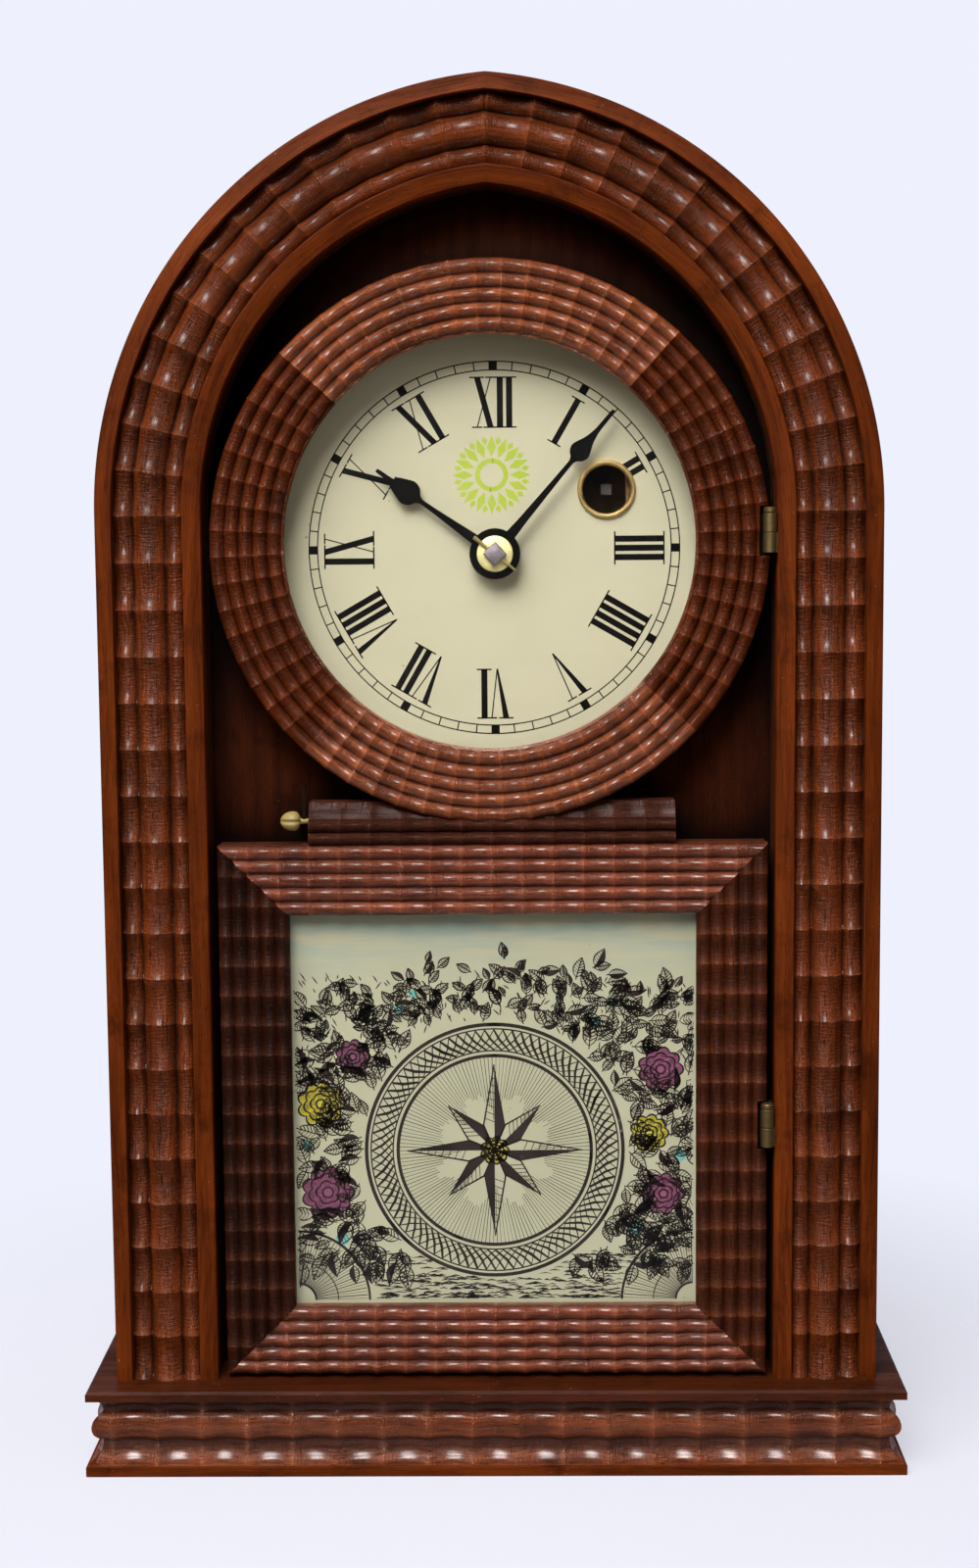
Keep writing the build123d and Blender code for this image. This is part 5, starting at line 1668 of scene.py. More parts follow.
@dataclass(frozen=True)
class HingeSeat:
    """A box let into the door's edge for a part of a hinge, measured from the hinge's middle."""

    inner_x: float
    front: float
    back: float
    below: float
    above: float
    outer_x: float = 99.0

    def corners(self, middle: float) -> tuple[Vector, Vector]:
        """Gives two opposite corners of the seat for a hinge at a height.

        Args:
            middle: Height of the middle of the hinge.

        Returns:
            The corners in metres.
        """
        return (
            place(self.inner_x, self.front, middle - self.below),
            place(self.outer_x, self.back, middle + self.above),
        )


@dataclass
class DoorWoodwork:
    """Bezel quarters, neck moulding and the mitred frame round the tablet."""

    bezel_height: float = 326.0
    bezel_radius: float = 96.0
    bezel_inside: float = 70.7
    bezel_lip: float = 0.8
    crest: float = 0.3
    groove: float = 2.1
    lip_depth: float = 3.2
    back: float = 7.0
    frame_half_width: float = 95.5
    frame_low: float = 32.5
    frame_high: float = 222.0
    member: float = 24.5
    member_beads: int = 5
    frame_pitch: float = 10.6
    stile_ripples: int = 18
    neck_half_width: float = 63.6
    neck_low: float = 222.05
    neck_high: float = 236.85
    neck_bead: float = 4.5
    scallop: float = 1.15
    bezel_steps: int = 10
    frame_steps: int = 12
    barrel_seat: HingeSeat = HingeSeat(92.4, -2.0, 3.4, 7.8, 9.2)
    leaf_seat: HingeSeat = HingeSeat(94.6, 3.3, 8.0, 6.7, 6.7)
    glass_back: float = 8.9
    glass_rebate: float = 3.3
    strip_back: float = 11.5
    strip_set_back: float = 0.5
    strip_ease: float = 0.8
    glass_sides: int = 128

    def hinge_seats(self, middle: float) -> list[tuple[Vector, Vector]]:
        """Gives the notch for a hinge barrel and the mortise for its leaf."""
        return [self.barrel_seat.corners(middle), self.leaf_seat.corners(middle)]

    def bezel_section(self) -> list[Bead]:
        """Draws the bezel from its outer edge to its opening.

        Returns:
            The corners of the section.
        """
        width = self.bezel_radius - self.bezel_inside
        beaded = (width - self.bezel_lip) / self.member_beads
        return [
            *bead_rows(self.member_beads, beaded, self.crest, self.groove),
            *beads([(width - 0.75, self.lip_depth - 0.2), (width - 0.2, self.lip_depth),
                    (width, self.lip_depth + 0.3), (width, self.back), (0.0, self.back)], 0.0),
        ]

    def member_section(self) -> list[Bead]:
        """Draws a frame member from its outer edge to the tablet.

        Returns:
            The corners of the section.
        """
        return [
            *bead_rows(self.member_beads, self.member / self.member_beads, self.crest, self.groove),
            *beads([(self.member, self.back), (0.0, self.back)], 0.0),
        ]

    def neck_section(self) -> list[Bead]:
        """Draws the neck moulding from its foot to the top of its slope.

        Returns:
            The corners of the section.
        """
        height = self.neck_high - self.neck_low
        return [
            *bead_rows(2, self.neck_bead, self.crest, self.groove),
            *beads([(9.1, 3.4), (11.0, 4.2), (height - 0.3, 6.2)], 0.35),
            *beads([(height, 6.5), (height, self.back), (0.0, self.back)], 0.0),
        ]

    def bezel(self) -> list[WaveMoulding]:
        """Lists the four quarters of the bezel.

        Returns:
            The top, left, bottom and right quarter.
        """
        upper_hinge = HINGE_HEIGHTS[0]
        # The top and bottom quarters get the lit copy of the bezel wood and the side quarters get
        # the shaded copy: painted light and painted shade.
        quarters = (
            ("top", 47.5, "bezel_wood", 21), ("left", 137.5, "bezel_dark_wood", 22),
            ("bottom", 227.5, "bezel_wood", 23), ("right", 317.5, "bezel_dark_wood", 24),
        )
        return [
            WaveMoulding(
                f"bezel_ripple_{name}", (f"bezel_quarter_{name}",), "door",
                RingRoute(0.0, 16.0, (DOOR_MIDDLE_X, self.bezel_height), self.bezel_radius, seam),
                self.bezel_section(), finish, scallop=self.scallop, steps=self.bezel_steps,
                seed=seed, seats=self.hinge_seats(upper_hinge) if name == "right" else [],
            )
            for name, seam, finish, seed in quarters
        ]

    def frame_members(self) -> list[WaveMoulding]:
        """Lists the rails and stiles of the frame.

        Returns:
            The top and bottom rails, then the left and right stiles.
        """
        low, high, pitch = self.frame_low, self.frame_high, self.frame_pitch
        edges = {side: DOOR_MIDDLE_X + side * self.frame_half_width for side, _ in SIDES}
        reach = self.frame_half_width / pitch
        members = []
        for rise, name, height in ((1, "top", high), (-1, "bottom", low)):
            route = StraightRoute(
                -reach, reach, (DOOR_MIDDLE_X, 0, height), (1, 0, 0), (0, 0, -rise), (0, 1, 0),
                pitch,
            )
            mitres = [
                (place(edges[side], 0, height), Vector((side, 0, -rise)).normalized())
                for side, _ in SIDES
            ]
            # Painted light: the rails take the lit copy of the frame wood.
            members.append((f"{name}_rail", route, "rail_wood", 31 + rise, mitres, []))
        lower_hinge = HINGE_HEIGHTS[1]
        for side, name in SIDES:
            route = StraightRoute(
                0.0, float(self.stile_ripples), (edges[side], 0, low), (0, 0, 1), (-side, 0, 0),
                (0, 1, 0), (high - low) / self.stile_ripples,
            )
            mitres = [
                (place(edges[side], 0, height), Vector((-side, 0, rise)).normalized())
                for rise, height in ((-1, low), (1, high))
            ]
            # Painted shade: the stiles take the shaded copies of the frame wood.
            finish = "stile_red_wood" if side > 0 else "stile_dark_wood"
            seats = self.hinge_seats(lower_hinge) if side > 0 else []
            members.append((f"{name}_stile", route, finish, 35 + side, mitres, seats))
        return [
            WaveMoulding(
                f"{name}_ripple", (f"door_{name}",), "door", route, self.member_section(), finish,
                scallop=self.scallop, steps=self.frame_steps, seed=seed, mitres=mitres, seats=seats,
            )
            for name, route, finish, seed, mitres, seats in members
        ]

    def neck(self) -> WaveMoulding:
        """Draws the moulding between the bezel and the frame.

        Returns:
            The moulding.
        """
        reach = self.neck_half_width / self.frame_pitch
        route = StraightRoute(
            -reach, reach, (DOOR_MIDDLE_X, 0, self.neck_low), (1, 0, 0), (0, 0, 1), (0, 1, 0),
            self.frame_pitch,
        )
        return WaveMoulding(
            "neck_ripple", ("neck_moulding",), "door", route, self.neck_section(), "neck_wood",
            scallop=self.scallop, steps=self.frame_steps, seed=41,
        )

    def round_glazing(self, palette: Palette) -> None:
        """Turns the dial glass and its retaining strip smooth.

        Args:
            palette: The finishes.
        """
        front, back, end = self.back, self.glass_back, self.strip_back
        rim, inside = self.bezel_inside + self.glass_rebate, self.bezel_inside + self.strip_set_back
        profiles = (
            ("dial_pane", [(front, 0.0), (front, rim), (back, rim), (back, 0.0)],
             "old_glass", "glass", "dial_glass"),
            ("glass_ring",
             [(back, inside), (back, rim), (end, rim), (end, inside + self.strip_ease),
              (end - self.strip_ease, inside), (back, inside)],
             "frame_red_wood", "softwood", "dial_glass_retainer"),
        )
        origin = place(DOOR_MIDDLE_X, 0, self.bezel_height)
        for name, profile, finish, slot, node in profiles:
            piece = turned(name, profile, origin, BACKWARD, self.glass_sides)
            palette.put(finish, piece)
            hand_over(piece, "door", slot, node)

    def build(self, palette: Palette) -> None:
        """Builds the mouldings and finishes the wood behind them.

        Args:
            palette: The finishes.
        """
        for moulding in (*self.bezel(), *self.frame_members(), self.neck()):
            moulding.build(palette)
        nodes = frame["nodes"]
        palette.put("frame_red_wood", nodes["door_ring_core"], nodes["door_frame_core"])
        palette.put("core_pine", nodes["tablet_strips"])
        palette.put("old_glass", nodes["tablet_glass"])
        self.round_glazing(palette)
        LOG.info("door finished")

@dataclass
class DialPrint:
    """The hour figures, minute track and ornament on the round dial."""

    centre: Point = (1.7, 323.8)
    face_depth: float = 20.0
    ink_thickness: float = 0.05
    track_outer: float = 64.85
    track_inner: float = 61.9
    track_sides: int = 180
    tick_inset: float = 0.1
    line_width: float = 0.42
    block_width: float = 2.9
    figure_low: float = 41.8
    figure_high: float = 59.4
    bar_width: float = 2.15
    bar_gap: float = 1.05
    v_width: float = 6.6
    x_width: float = 6.9
    thin_stroke: float = 0.42
    thin_serif_half: float = 0.3
    serif_reach: float = 1.5
    serif_height: float = 0.5
    ornament_centre: Point = (1.0, 349.4)
    ornament_radius: float = 13.7
    ornament_count: int = 16
    ornament_sides: int = 64
    hole_radius: float = 9.0
    hole_slices: int = 40

    def bar(self, x_low: float, x_high: float) -> list[Point]:
        """Draws an upright bar of a figure between the two figure radii."""
        low, high = self.figure_low, self.figure_high
        return [(x_low, low), (x_high, low), (x_high, high), (x_low, high)]

    def slant(self, foot: float, head: float, width: float) -> list[Point]:
        """Draws a slanting stroke whose foot and head are centred at two places.

        Args:
            foot: Middle of the foot.
            head: Middle of the head.
            width: Width of the stroke.

        Returns:
            The outline of the stroke.
        """
        half = width / 2
        low, high = self.figure_low, self.figure_high
        return [(foot - half, low), (foot + half, low), (head + half, high), (head - half, high)]

    def serif(self, x_low: float, x_high: float, upper: bool) -> list[Point]:
        """Draws a thin end line over one or more bars.

        Args:
            x_low: Left edge of the bars.
            x_high: Right edge of the bars.
            upper: True at the head of the figure, False at its foot.

        Returns:
            The outline of the serif.
        """
        edge = self.figure_high if upper else self.figure_low
        other = edge + self.serif_height * (-1 if upper else 1)
        return [
            (x_low - self.serif_reach, edge), (x_high + self.serif_reach, edge),
            (x_high + self.serif_reach, other), (x_low - self.serif_reach, other),
        ]

    def letter(self, letter: str, x: float) -> list[Outline]:
        """Draws one letter of a figure.

        Args:
            letter: I, V or X.
            x: Its left edge.

        Returns:
            Its strokes and serifs as outlines.
        """
        half = self.bar_width / 2
        if letter == "I":
            end = x + self.bar_width
            return [self.bar(x, end), self.serif(x, end, True), self.serif(x, end, False)]
        fine = self.thin_serif_half
        head = x + half
        if letter == "V":
            tip = x + self.v_width * 0.62
            thin = x + self.v_width - self.thin_stroke
            thick_stroke = [
                (tip - 0.2, self.figure_low), (tip + 0.35, self.figure_low),
                (head + half, self.figure_high), (head - half, self.figure_high),
            ]
            return [
                thick_stroke, self.slant(tip + 0.1, thin, self.thin_stroke),
                self.serif(head - half, head + half, True),
                self.serif(thin - fine, thin + fine, True),
            ]
        foot = x + self.x_width - half
        return [
            self.slant(foot, head, self.bar_width), self.slant(head, foot, self.thin_stroke),
            self.serif(head - half, head + half, True), self.serif(foot - half, foot + half, False),
            self.serif(foot - fine, foot + fine, True), self.serif(head - fine, head + fine, False),
        ]

    def figure(self, text: str) -> list[Outline]:
        """Draws one roman figure upright above the origin.

        Args:
            text: The figure in the letters I, V and X.

        Returns:
            Its strokes as outlines, centred sideways.
        """
        widths = {"I": self.bar_width, "V": self.v_width, "X": self.x_width}
        x = -(sum(widths[letter] for letter in text) + self.bar_gap * (len(text) - 1)) / 2
        outlines = []
        for letter in text:
            outlines += self.letter(letter, x)
            x += widths[letter] + self.bar_gap
        return outlines

    def figures(self) -> list[Outline]:
        """Turns the twelve figures into place round the dial.

        Returns:
            The outlines of their strokes, clear of the winding hole.
        """
        hours = ("XII", "I", "II", "III", "IIII", "V", "VI", "VII", "VIII", "IX", "X", "XI")
        centre_x, centre_height = self.centre
        outlines = []
        for hour, text in enumerate(hours):
            turn = -math.radians(30 * hour)
            cosine, sine = math.cos(turn), math.sin(turn)
            for outline in self.figure(text):
                outlines += self.clear_of_hole([
                    (centre_x + x * cosine - y * sine, centre_height + x * sine + y * cosine)
                    for x, y in outline
                ])
        return outlines

    def clear_of_hole(self, outline: Outline) -> list[Outline]:
        """Leaves out the parts of a stroke that the winding hole takes away.

        Args:
            outline: Four corners: foot left, foot right, head right, head left.

        Returns:
            The whole stroke, or the slices of it that lie beside the hole.
        """
        def off_hole(corners: Outline) -> float:
            """Gives the least distance of some corners from the middle of the winding hole."""
            return min(math.hypot(x - WINDING_HOLE[0], y - WINDING_HOLE[1]) for x, y in corners)

        if off_hole(outline) > 2 * self.hole_radius:
            return [outline]
        foot_left, foot_right, head_right, head_left = outline
        slices = []
        for index in range(self.hole_slices):
            low, high = index / self.hole_slices, (index + 1) / self.hole_slices
            corners = [
                tuple(a + (b - a) * share for a, b in zip(start, end))
                for start, end, share in (
                    (foot_left, head_left, low), (foot_right, head_right, low),
                    (foot_right, head_right, high), (foot_left, head_left, high),
                )
            ]
            if off_hole(corners) > self.hole_radius:
                slices.append(corners)
        return slices

    def ringed(
        self, palette: Palette, name: str, outline: Outline, count: int, centre: Point, finish: str,
        first_turn: float = 0.0,
    ) -> bpy.types.Object:
        """Repeats one printed mark round a centre with the ring tree.

        Args:
            palette: The finishes and shared trees.
            name: The piece's name.
            outline: The mark at the top of the ring, about the origin.
            count: How many marks.
            centre: The ring's middle as (x, height).
            finish: The mark's finish.
            first_turn: Turn of the first mark in radians.

        Returns:
            The marks as one mesh.
        """
        front = self.front()
        piece = plate(name, [outline], front, self.ink_thickness)
        piece.data.transform(Matrix.Translation(-place(0, front, 0)))
        run_tree(piece, palette.groups.ring, {
            "Count": count,
            "First Turn": first_turn,
            "Centre": place(centre[0], front, centre[1]),
            "Finish": palette.made[finish],
        })
        return settle(piece)

    def front(self) -> float:
        """Gives the depth of the face of the ink."""
        return self.face_depth - self.ink_thickness / 2

    def printed(self, name: str, outlines: list[Outline]) -> bpy.types.Object:
        """Prints outlines on the dial."""
        return settle(plate(name, outlines, self.front(), self.ink_thickness))

    def track_and_figures(self, palette: Palette) -> bpy.types.Object:
        """Prints the minute track and the hour figures as one piece.

        Args:
            palette: The finishes and shared trees.

        Returns:
            The black print.
        """
        outer, inner, line = self.track_outer, self.track_inner, self.line_width
        lines = self.printed("track_lines", [
            *ring_outlines(self.centre, outer, outer - line, self.track_sides),
            *ring_outlines(self.centre, inner, inner - line, self.track_sides),
        ])
        marks = []
        for name, half, low, high, count in (
            ("minute_ticks", line / 2, inner - self.tick_inset, outer - self.tick_inset, 60),
            ("hour_blocks", self.block_width / 2, inner - line, outer, 12),
        ):
            outline = [(-half, low), (half, low), (half, high), (-half, high)]
            marks.append(self.ringed(palette, name, outline, count, self.centre, "dial_ink"))
        return joined("dial_print", [lines, *marks, self.printed("hour_figures", self.figures())])

    def ornament(self, palette: Palette) -> bpy.types.Object:
        """Prints a plain sunburst: two rounds of lozenges and a ring.

        Args:
            palette: The finishes and shared trees.

        Returns:
            The green print.
        """
        outer, count = self.ornament_radius, self.ornament_count
        rounds = []
        for name, half, low, middle, high, turn in (
            ("sunburst_rays", 1.55, outer * 0.46, outer * 0.70, outer, 0.0),
            ("sunburst_seeds", 1.05, outer * 0.76, outer * 0.87, outer * 0.98, math.pi / count),
        ):
            lozenge = [(0.0, low), (half, middle), (0.0, high), (-half, middle)]
            rounds.append(self.ringed(
                palette, name, lozenge, count, self.ornament_centre, "ornament_green", turn
            ))
        band = ring_outlines(self.ornament_centre, outer * 0.42, outer * 0.30, self.ornament_sides)
        return joined("dial_ornament", [*rounds, self.printed("sunburst_ring", band)])

    def build(self, palette: Palette) -> None:
        """Prints the dial.

        Args:
            palette: The finishes.
        """
        for piece, finish, slot in (
            (self.track_and_figures(palette), "dial_ink", "black_paint"),
            (self.ornament(palette), "ornament_green", "dial_paint"),
        ):
            palette.put(finish, piece)
            hand_over(piece, "case", slot)
        palette.put("dial_cream", frame["nodes"]["dial_plate"])


@dataclass
class WindingGrommet:
    """The brass grommet round the winding hole."""

    outer: float = 10.2
    inner: float = 8.3
    front: float = 18.6
    lip: float = 1.4
    wall: float = 0.5
    back: float = 24.0
    sides: int = 96

    def build(self, palette: Palette) -> None:
        """Turns the grommet.

        Args:
            palette: The finishes.
        """
        front, outer, inner = self.front, self.outer, self.inner
        section = [
            (front + self.lip, outer), (front + 0.5, outer - 0.1), (front + 0.08, outer - 0.5),
            (front, outer - 0.95), (front + 0.1, inner + 0.5), (front + 0.5, inner + 0.1),
            (front + 1.0, inner), (self.back, inner - 0.02), (self.back, inner + self.wall),
            (front + self.lip, inner + self.wall), (front + self.lip, outer),
        ]
        origin = place(WINDING_HOLE[0], 0, WINDING_HOLE[1])
        piece = turned("grommet", section, origin, BACKWARD, self.sides)
        palette.put("bronze", piece)
        hand_over(piece, "case", "brass", "winding_grommet")


@dataclass
class Hand:
    """A black hand with a round hub and a pear-shaped bulb."""

    name: str
    node: str
    body: str
    angle: float
    length: float
    bulb_at: float
    bulb_width: float
    bulb_length: float
    front: float
    hole: float
    hole_sides: int
    hub: float = 8.8
    root: Point = (8.6, 1.8)
    thickness: float = 0.8

    def outline(self) -> Outline:
        """Draws the hand along +X about the arbor.

        Returns:
            The closed outline with the hub.
        """
        half = self.bulb_width / 2
        start = self.bulb_at - half
        tip = self.bulb_at + self.bulb_length - half
        upper = spline([
            self.root, (12.0, 1.62), (17.0, 1.36), (start - 4.5, 0.85), (start - 0.5, 1.15),
            (start + half * 0.35, half * 0.78), (start + half * 0.95, half),
            (start + half * 1.6, half * 0.80), (start + half * 2.3, half * 0.50), (tip - 2.0, 0.98),
            (tip + 1.0, 0.80),
        ], 6)
        upper = [*upper, (self.length - 1.2, 0.72), (self.length, 0.62)]
        first = math.atan2(self.root[1], self.root[0])
        hub = [
            around((0.0, 0.0), self.hub, first + (FULL_TURN - 2 * first) * index / 60)
            for index in range(61)
        ]
        lower = [(x, -y) for x, y in reversed(upper)]
        return [*upper[::-1], *hub[1:-1], *lower[::-1]]

    def build(self, palette: Palette) -> None:
        """Cuts the hand from sheet and sets it on its arbor.

        Args:
            palette: The finishes.
        """
        turn = math.radians(self.angle)
        hole = [
            around((0.0, 0.0), self.hole, FULL_TURN * (index + 0.5) / self.hole_sides)
            for index in range(self.hole_sides)
        ]
        shape = bmesh.new()
        edges = []
        for loop in (self.outline(), hole):
            verts = [
                shape.verts.new(place(
                    ARBOR[0] + x * math.cos(turn) - y * math.sin(turn), self.front,
                    ARBOR[1] + x * math.sin(turn) + y * math.cos(turn),
                ))
                for x, y in loop
            ]
            edges += [shape.edges.new(ends) for ends in zip(verts, [*verts[1:], verts[0]])]
        bmesh.ops.triangle_fill(shape, edges=edges, use_beauty=True)
        bmesh.ops.dissolve_limit(shape, angle_limit=0.01, verts=shape.verts, edges=shape.edges)
        made = bmesh.ops.extrude_face_region(shape, geom=list(shape.faces))
        moved = [part for part in made["geom"] if isinstance(part, bmesh.types.BMVert)]
        bmesh.ops.translate(shape, verts=moved, vec=BACKWARD * self.thickness * MILLIMETRE)
        mesh = bpy.data.meshes.new(self.name)
        shape.to_mesh(mesh)
        shape.free()
        piece = settle(linked(self.name, mesh))
        palette.put("hand_black", piece)
        hand_over(piece, self.body, "black_paint", self.node)


@dataclass
class HandFittings:
    """The brass washer and taper pin that hold the hands, and the end of the arbor."""

    washer_radius: float = 6.3
    washer_hole: float = 2.9
    washer_front: float = 12.3
    washer_back: float = 13.4
    pin_length: float = 18.6
    pin_depth: float = 11.5
    pin_tilt: float = 39.0
    pin_ease: float = 0.2
    end_front: float = 10.0
    end_turn: float = 49.0

    def washer(self) -> bpy.types.Object:
        """Turns the domed washer.

        Returns:
            The washer.
        """
        front, back = self.washer_front, self.washer_back
        rim, hole = self.washer_radius, self.washer_hole
        section = [
            (front + 0.75, rim), (front + 0.45, rim - 0.25), (front + 0.26, rim - 1.0),
            (front + 0.08, rim - 2.0), (front, hole + 0.2), (front + 0.15, hole),
            (back, hole), (back, rim), (front + 0.75, rim),
        ]
        return turned("washer", section, place(ARBOR[0], 0, ARBOR[1]), BACKWARD, 72)

    def pin(self) -> bpy.types.Object:
        """Turns the taper pin, thick end up at the left.

        Returns:
            The pin.
        """
        tilt = math.radians(self.pin_tilt)
        along = Vector((math.cos(tilt), 0, -math.sin(tilt)))
        half, ease = self.pin_length / 2, self.pin_ease
        profile = [
            (-half, 0.0), (-half, 0.5), (-half + ease, 0.72), (half - ease, 0.44), (half, 0.25),
            (half, 0.0),
        ]
        return turned("taper_pin", profile, place(ARBOR[0], self.pin_depth, ARBOR[1]), along, 20)

    def arbor_end(self) -> bpy.types.Object:
        """Cuts the square end of the arbor with eased edges.

        Returns:
            The end of the arbor.
        """
        front = self.end_front
        profile = [
            (front, 0.0), (front, 3.5), (front + 0.2, 4.0), (front + 0.6, 4.25),
            (front + 1.1, 4.25), (front + 1.1, 0.0),
        ]
        middle = place(0, 0, 0)
        end = turned("arbor_end", profile, middle, BACKWARD, 4)
        to_arbor = Matrix.Translation(place(ARBOR[0], 0, ARBOR[1]) - middle)
        end.data.transform(to_arbor @ Matrix.Rotation(math.radians(self.end_turn), 4, "Y"))
        return end

    def build(self, palette: Palette) -> None:
        """Turns the washer, the pin and the arbor's end.

        Args:
            palette: The finishes.
        """
        for piece, finish, slot, nodes in (
            (self.washer(), "washer_brass", "brass", ("hand_washer",)),
            (self.pin(), "brass", "brass", ("hand_taper_pin",)),
            (self.arbor_end(), "grey_steel", "steel", ()),
        ):
            palette.put(finish, piece)
            hand_over(piece, "minute", slot, *nodes)


@dataclass
class TabletPicture:
    """A generic engraved panel: a star roundel in a wreath over a hatched ground."""

    low: float = 57.0
    high: float = 197.5
    half_width: float = 70.7
    face: float = 8.9
    ink_thickness: float = 0.04
    roundel: Point = (DOOR_MIDDLE_X, 112.0)
    seed: int = 29
    star_points: int = 8
    star_waist: float = 10.0
    weave_count: int = 84
    ray_count: int = 150
    leaf_count: int = 1100
    twig_count: int = 380
    hatch_count: int = 900
    fan_count: int = 30

    def stroke(self, points: list[Point], width: float, taper: float = 0.25) -> list[Outline]:
        """Inks a line of changing width.

        Args:
            points: The line's points as (x, height).
            width: Greatest width.
            taper: Width at the ends as a share of the greatest.

        Returns:
            One outline for each piece of the line.
        """
        outlines = []
        last = len(points) - 1
        edges = []
        for index, (x, y) in enumerate(points):
            before, after = points[max(index - 1, 0)], points[min(index + 1, last)]
            dx, dy = after[0] - before[0], after[1] - before[1]
            size = math.hypot(dx, dy) or 1.0
            half = width * (taper + (1 - taper) * math.sin(math.pi * index / last)) / 2
            aside, rise = dy / size * half, dx / size * half
            edges.append(((x - aside, y + rise), (x + aside, y - rise)))
        for (a, b), (c, d) in zip(edges, edges[1:]):
            outlines.append([a, c, d, b])
        return outlines

    def circle(self, centre: Point, radius: float, width: float, sides: int) -> list[Outline]:
        """Inks a circle."""
        return ring_outlines(centre, radius + width / 2, radius - width / 2, sides)

    def star(self) -> list[Outline]:
        """Inks the eight-pointed star with one half of each point solid.

        Returns:
            The outlines of its lines.
        """
        outlines = []
        x, y = self.roundel
        half_step = math.pi / self.star_points
        for point in range(self.star_points):
            turn = FULL_TURN * point / self.star_points
            long = 31.0 if point % 2 == 0 else 23.0
            tip = (x + long * math.sin(turn), y + long * math.cos(turn))
            left, right = (
                (x + self.star_waist * math.sin(angle), y + self.star_waist * math.cos(angle))
                for angle in (turn - half_step, turn + half_step)
            )
            outlines.append([(x, y), tip, right])
            outlines += self.stroke([(x, y), left, tip], 0.6, 0.8)
            for share in range(1, 9):
                part = share / 9
                inward = 0.25 + 0.75 * part
                outlines += self.stroke([
                    (left[0] + (tip[0] - left[0]) * part, left[1] + (tip[1] - left[1]) * part),
                    (x + (tip[0] - x) * inward, y + (tip[1] - y) * inward),
                ], 0.34, 0.8)
        return outlines

    def rings_and_rays(self, chance: random.Random) -> list[Outline]:
        """Inks the rings, the woven band and the rays behind the star.

        Args:
            chance: The seeded source of unevenness.

        Returns:
            The outlines of its lines.
        """
        outlines = []
        for radius, width in ((34.2, 1.2), (36.0, 0.5), (43.8, 0.5), (45.4, 1.3)):
            outlines += self.circle(self.roundel, radius, width, 96)
        for index in range(self.weave_count):
            turn = FULL_TURN * index / self.weave_count
            for lean, width in ((0.075, 0.95), (-0.075, 0.45)):
                stitch = [
                    around(self.roundel, radius, turn + shift)
                    for radius, shift in ((36.3, -lean), (39.9, lean / 3), (43.5, lean))
                ]
                outlines += self.stroke(stitch, width * chance.uniform(0.8, 1.2), 0.7)
        for index in range(self.ray_count):
            turn = FULL_TURN * index / self.ray_count
            start = 12.0 + 9.0 * abs(math.sin(4 * turn)) + chance.uniform(-1.5, 1.5)
            ray = [around(self.roundel, radius, turn) for radius in (start, 33.6)]
            outlines += self.stroke(ray, 0.42 * chance.uniform(0.7, 1.3), 0.45)
        return outlines

    def leaf(self, x: float, y: float, turn: float, length: float, solid: bool) -> list[Outline]:
        """Inks a veined leaf with one half in shade.

        Args:
            x: Where its stalk starts.
            y: Height of its stalk.
            turn: Its direction, clockwise from up, in radians.
            length: From stalk to tip.
            solid: Whether the shaded half is solid instead of hatched.

        Returns:
            The outlines of its lines.
        """
        def turned_point(along: float, aside: float) -> Point:
            """Puts a point of the leaf in place.

            Args:
                along: Distance from the stalk.
                aside: Distance to the side.

            Returns:
                The point in place.
            """
            return (
                x + along * math.sin(turn) + aside * math.cos(turn),
                y + along * math.cos(turn) - aside * math.sin(turn),
            )

        outlines = []
        wide = length * 0.27
        stations = (0, 0.12, 0.25, 0.4, 0.55, 0.7, 0.85, 1.0)
        for side in (-1, 1):
            edge = [
                turned_point(length * s, side * wide * math.sin(math.pi * s ** 0.8))
                for s in stations
            ]
            if side > 0 and solid:
                ends = [turned_point(0, 0), turned_point(length, 0)]
                outlines.append([*ends, *reversed(edge[1:-1])])
                continue
            outlines += self.stroke(edge, 0.5, 0.5)
            for s in (0.2, 0.33, 0.46, 0.59, 0.72):
                aside = side * wide * 0.85 * math.sin(math.pi * min(s + 0.12, 1.0) ** 0.8)
                outlines += self.stroke(
                    [turned_point(length * s, 0), turned_point(length * (s + 0.13), aside)],
                    0.55 if side > 0 else 0.3, 0.7,
                )
        rib = [turned_point(-length * 0.12, 0), turned_point(length * 0.96, 0)]
        outlines += self.stroke(rib, 0.45, 0.9)
        return outlines

    def rosette(self, centre: Point, radius: float) -> list[Outline]:
        """Inks a round rosette of overlapping petals.

        Args:
            centre: Its middle.
            radius: Its size.

        Returns:
            The outlines of its lines.
        """
        outlines = self.circle(centre, radius * 0.2, 0.7, 20)
        for ring, count in ((0.45, 5), (0.74, 7), (1.0, 9)):
            reach = radius * ring
            half = math.pi / count * 1.08
            for petal in range(count):
                turn = FULL_TURN * (petal + ring) / count
                arc = []
                for s in (-1, -0.66, -0.33, 0, 0.33, 0.66, 1):
                    bulge = 0.80 + 0.20 * math.cos(s * math.pi / 2)
                    arc.append(around(centre, reach * bulge, turn + half * s))
                outlines += self.stroke(arc, 0.75, 0.5)
                for s in (-0.75, -0.5, -0.25, 0.0, 0.25):
                    angle = turn + half * s
                    vein = [around(centre, reach * share, angle) for share in (0.55, 0.90)]
                    outlines += self.stroke(vein, 0.36, 0.4)
        return outlines

    def flowers(self) -> list[tuple[float, float, float]]:
        """Lists the rosettes as (x, height, radius)."""
        rounds = self.colour_patches()
        return [*rounds["tablet_yellow"], *rounds["tablet_mauve"]]

    def off_roundel(self, x: float, y: float) -> float:
        """Gives a place's distance from the middle of the roundel."""
        return math.hypot(x - self.roundel[0], y - self.roundel[1])

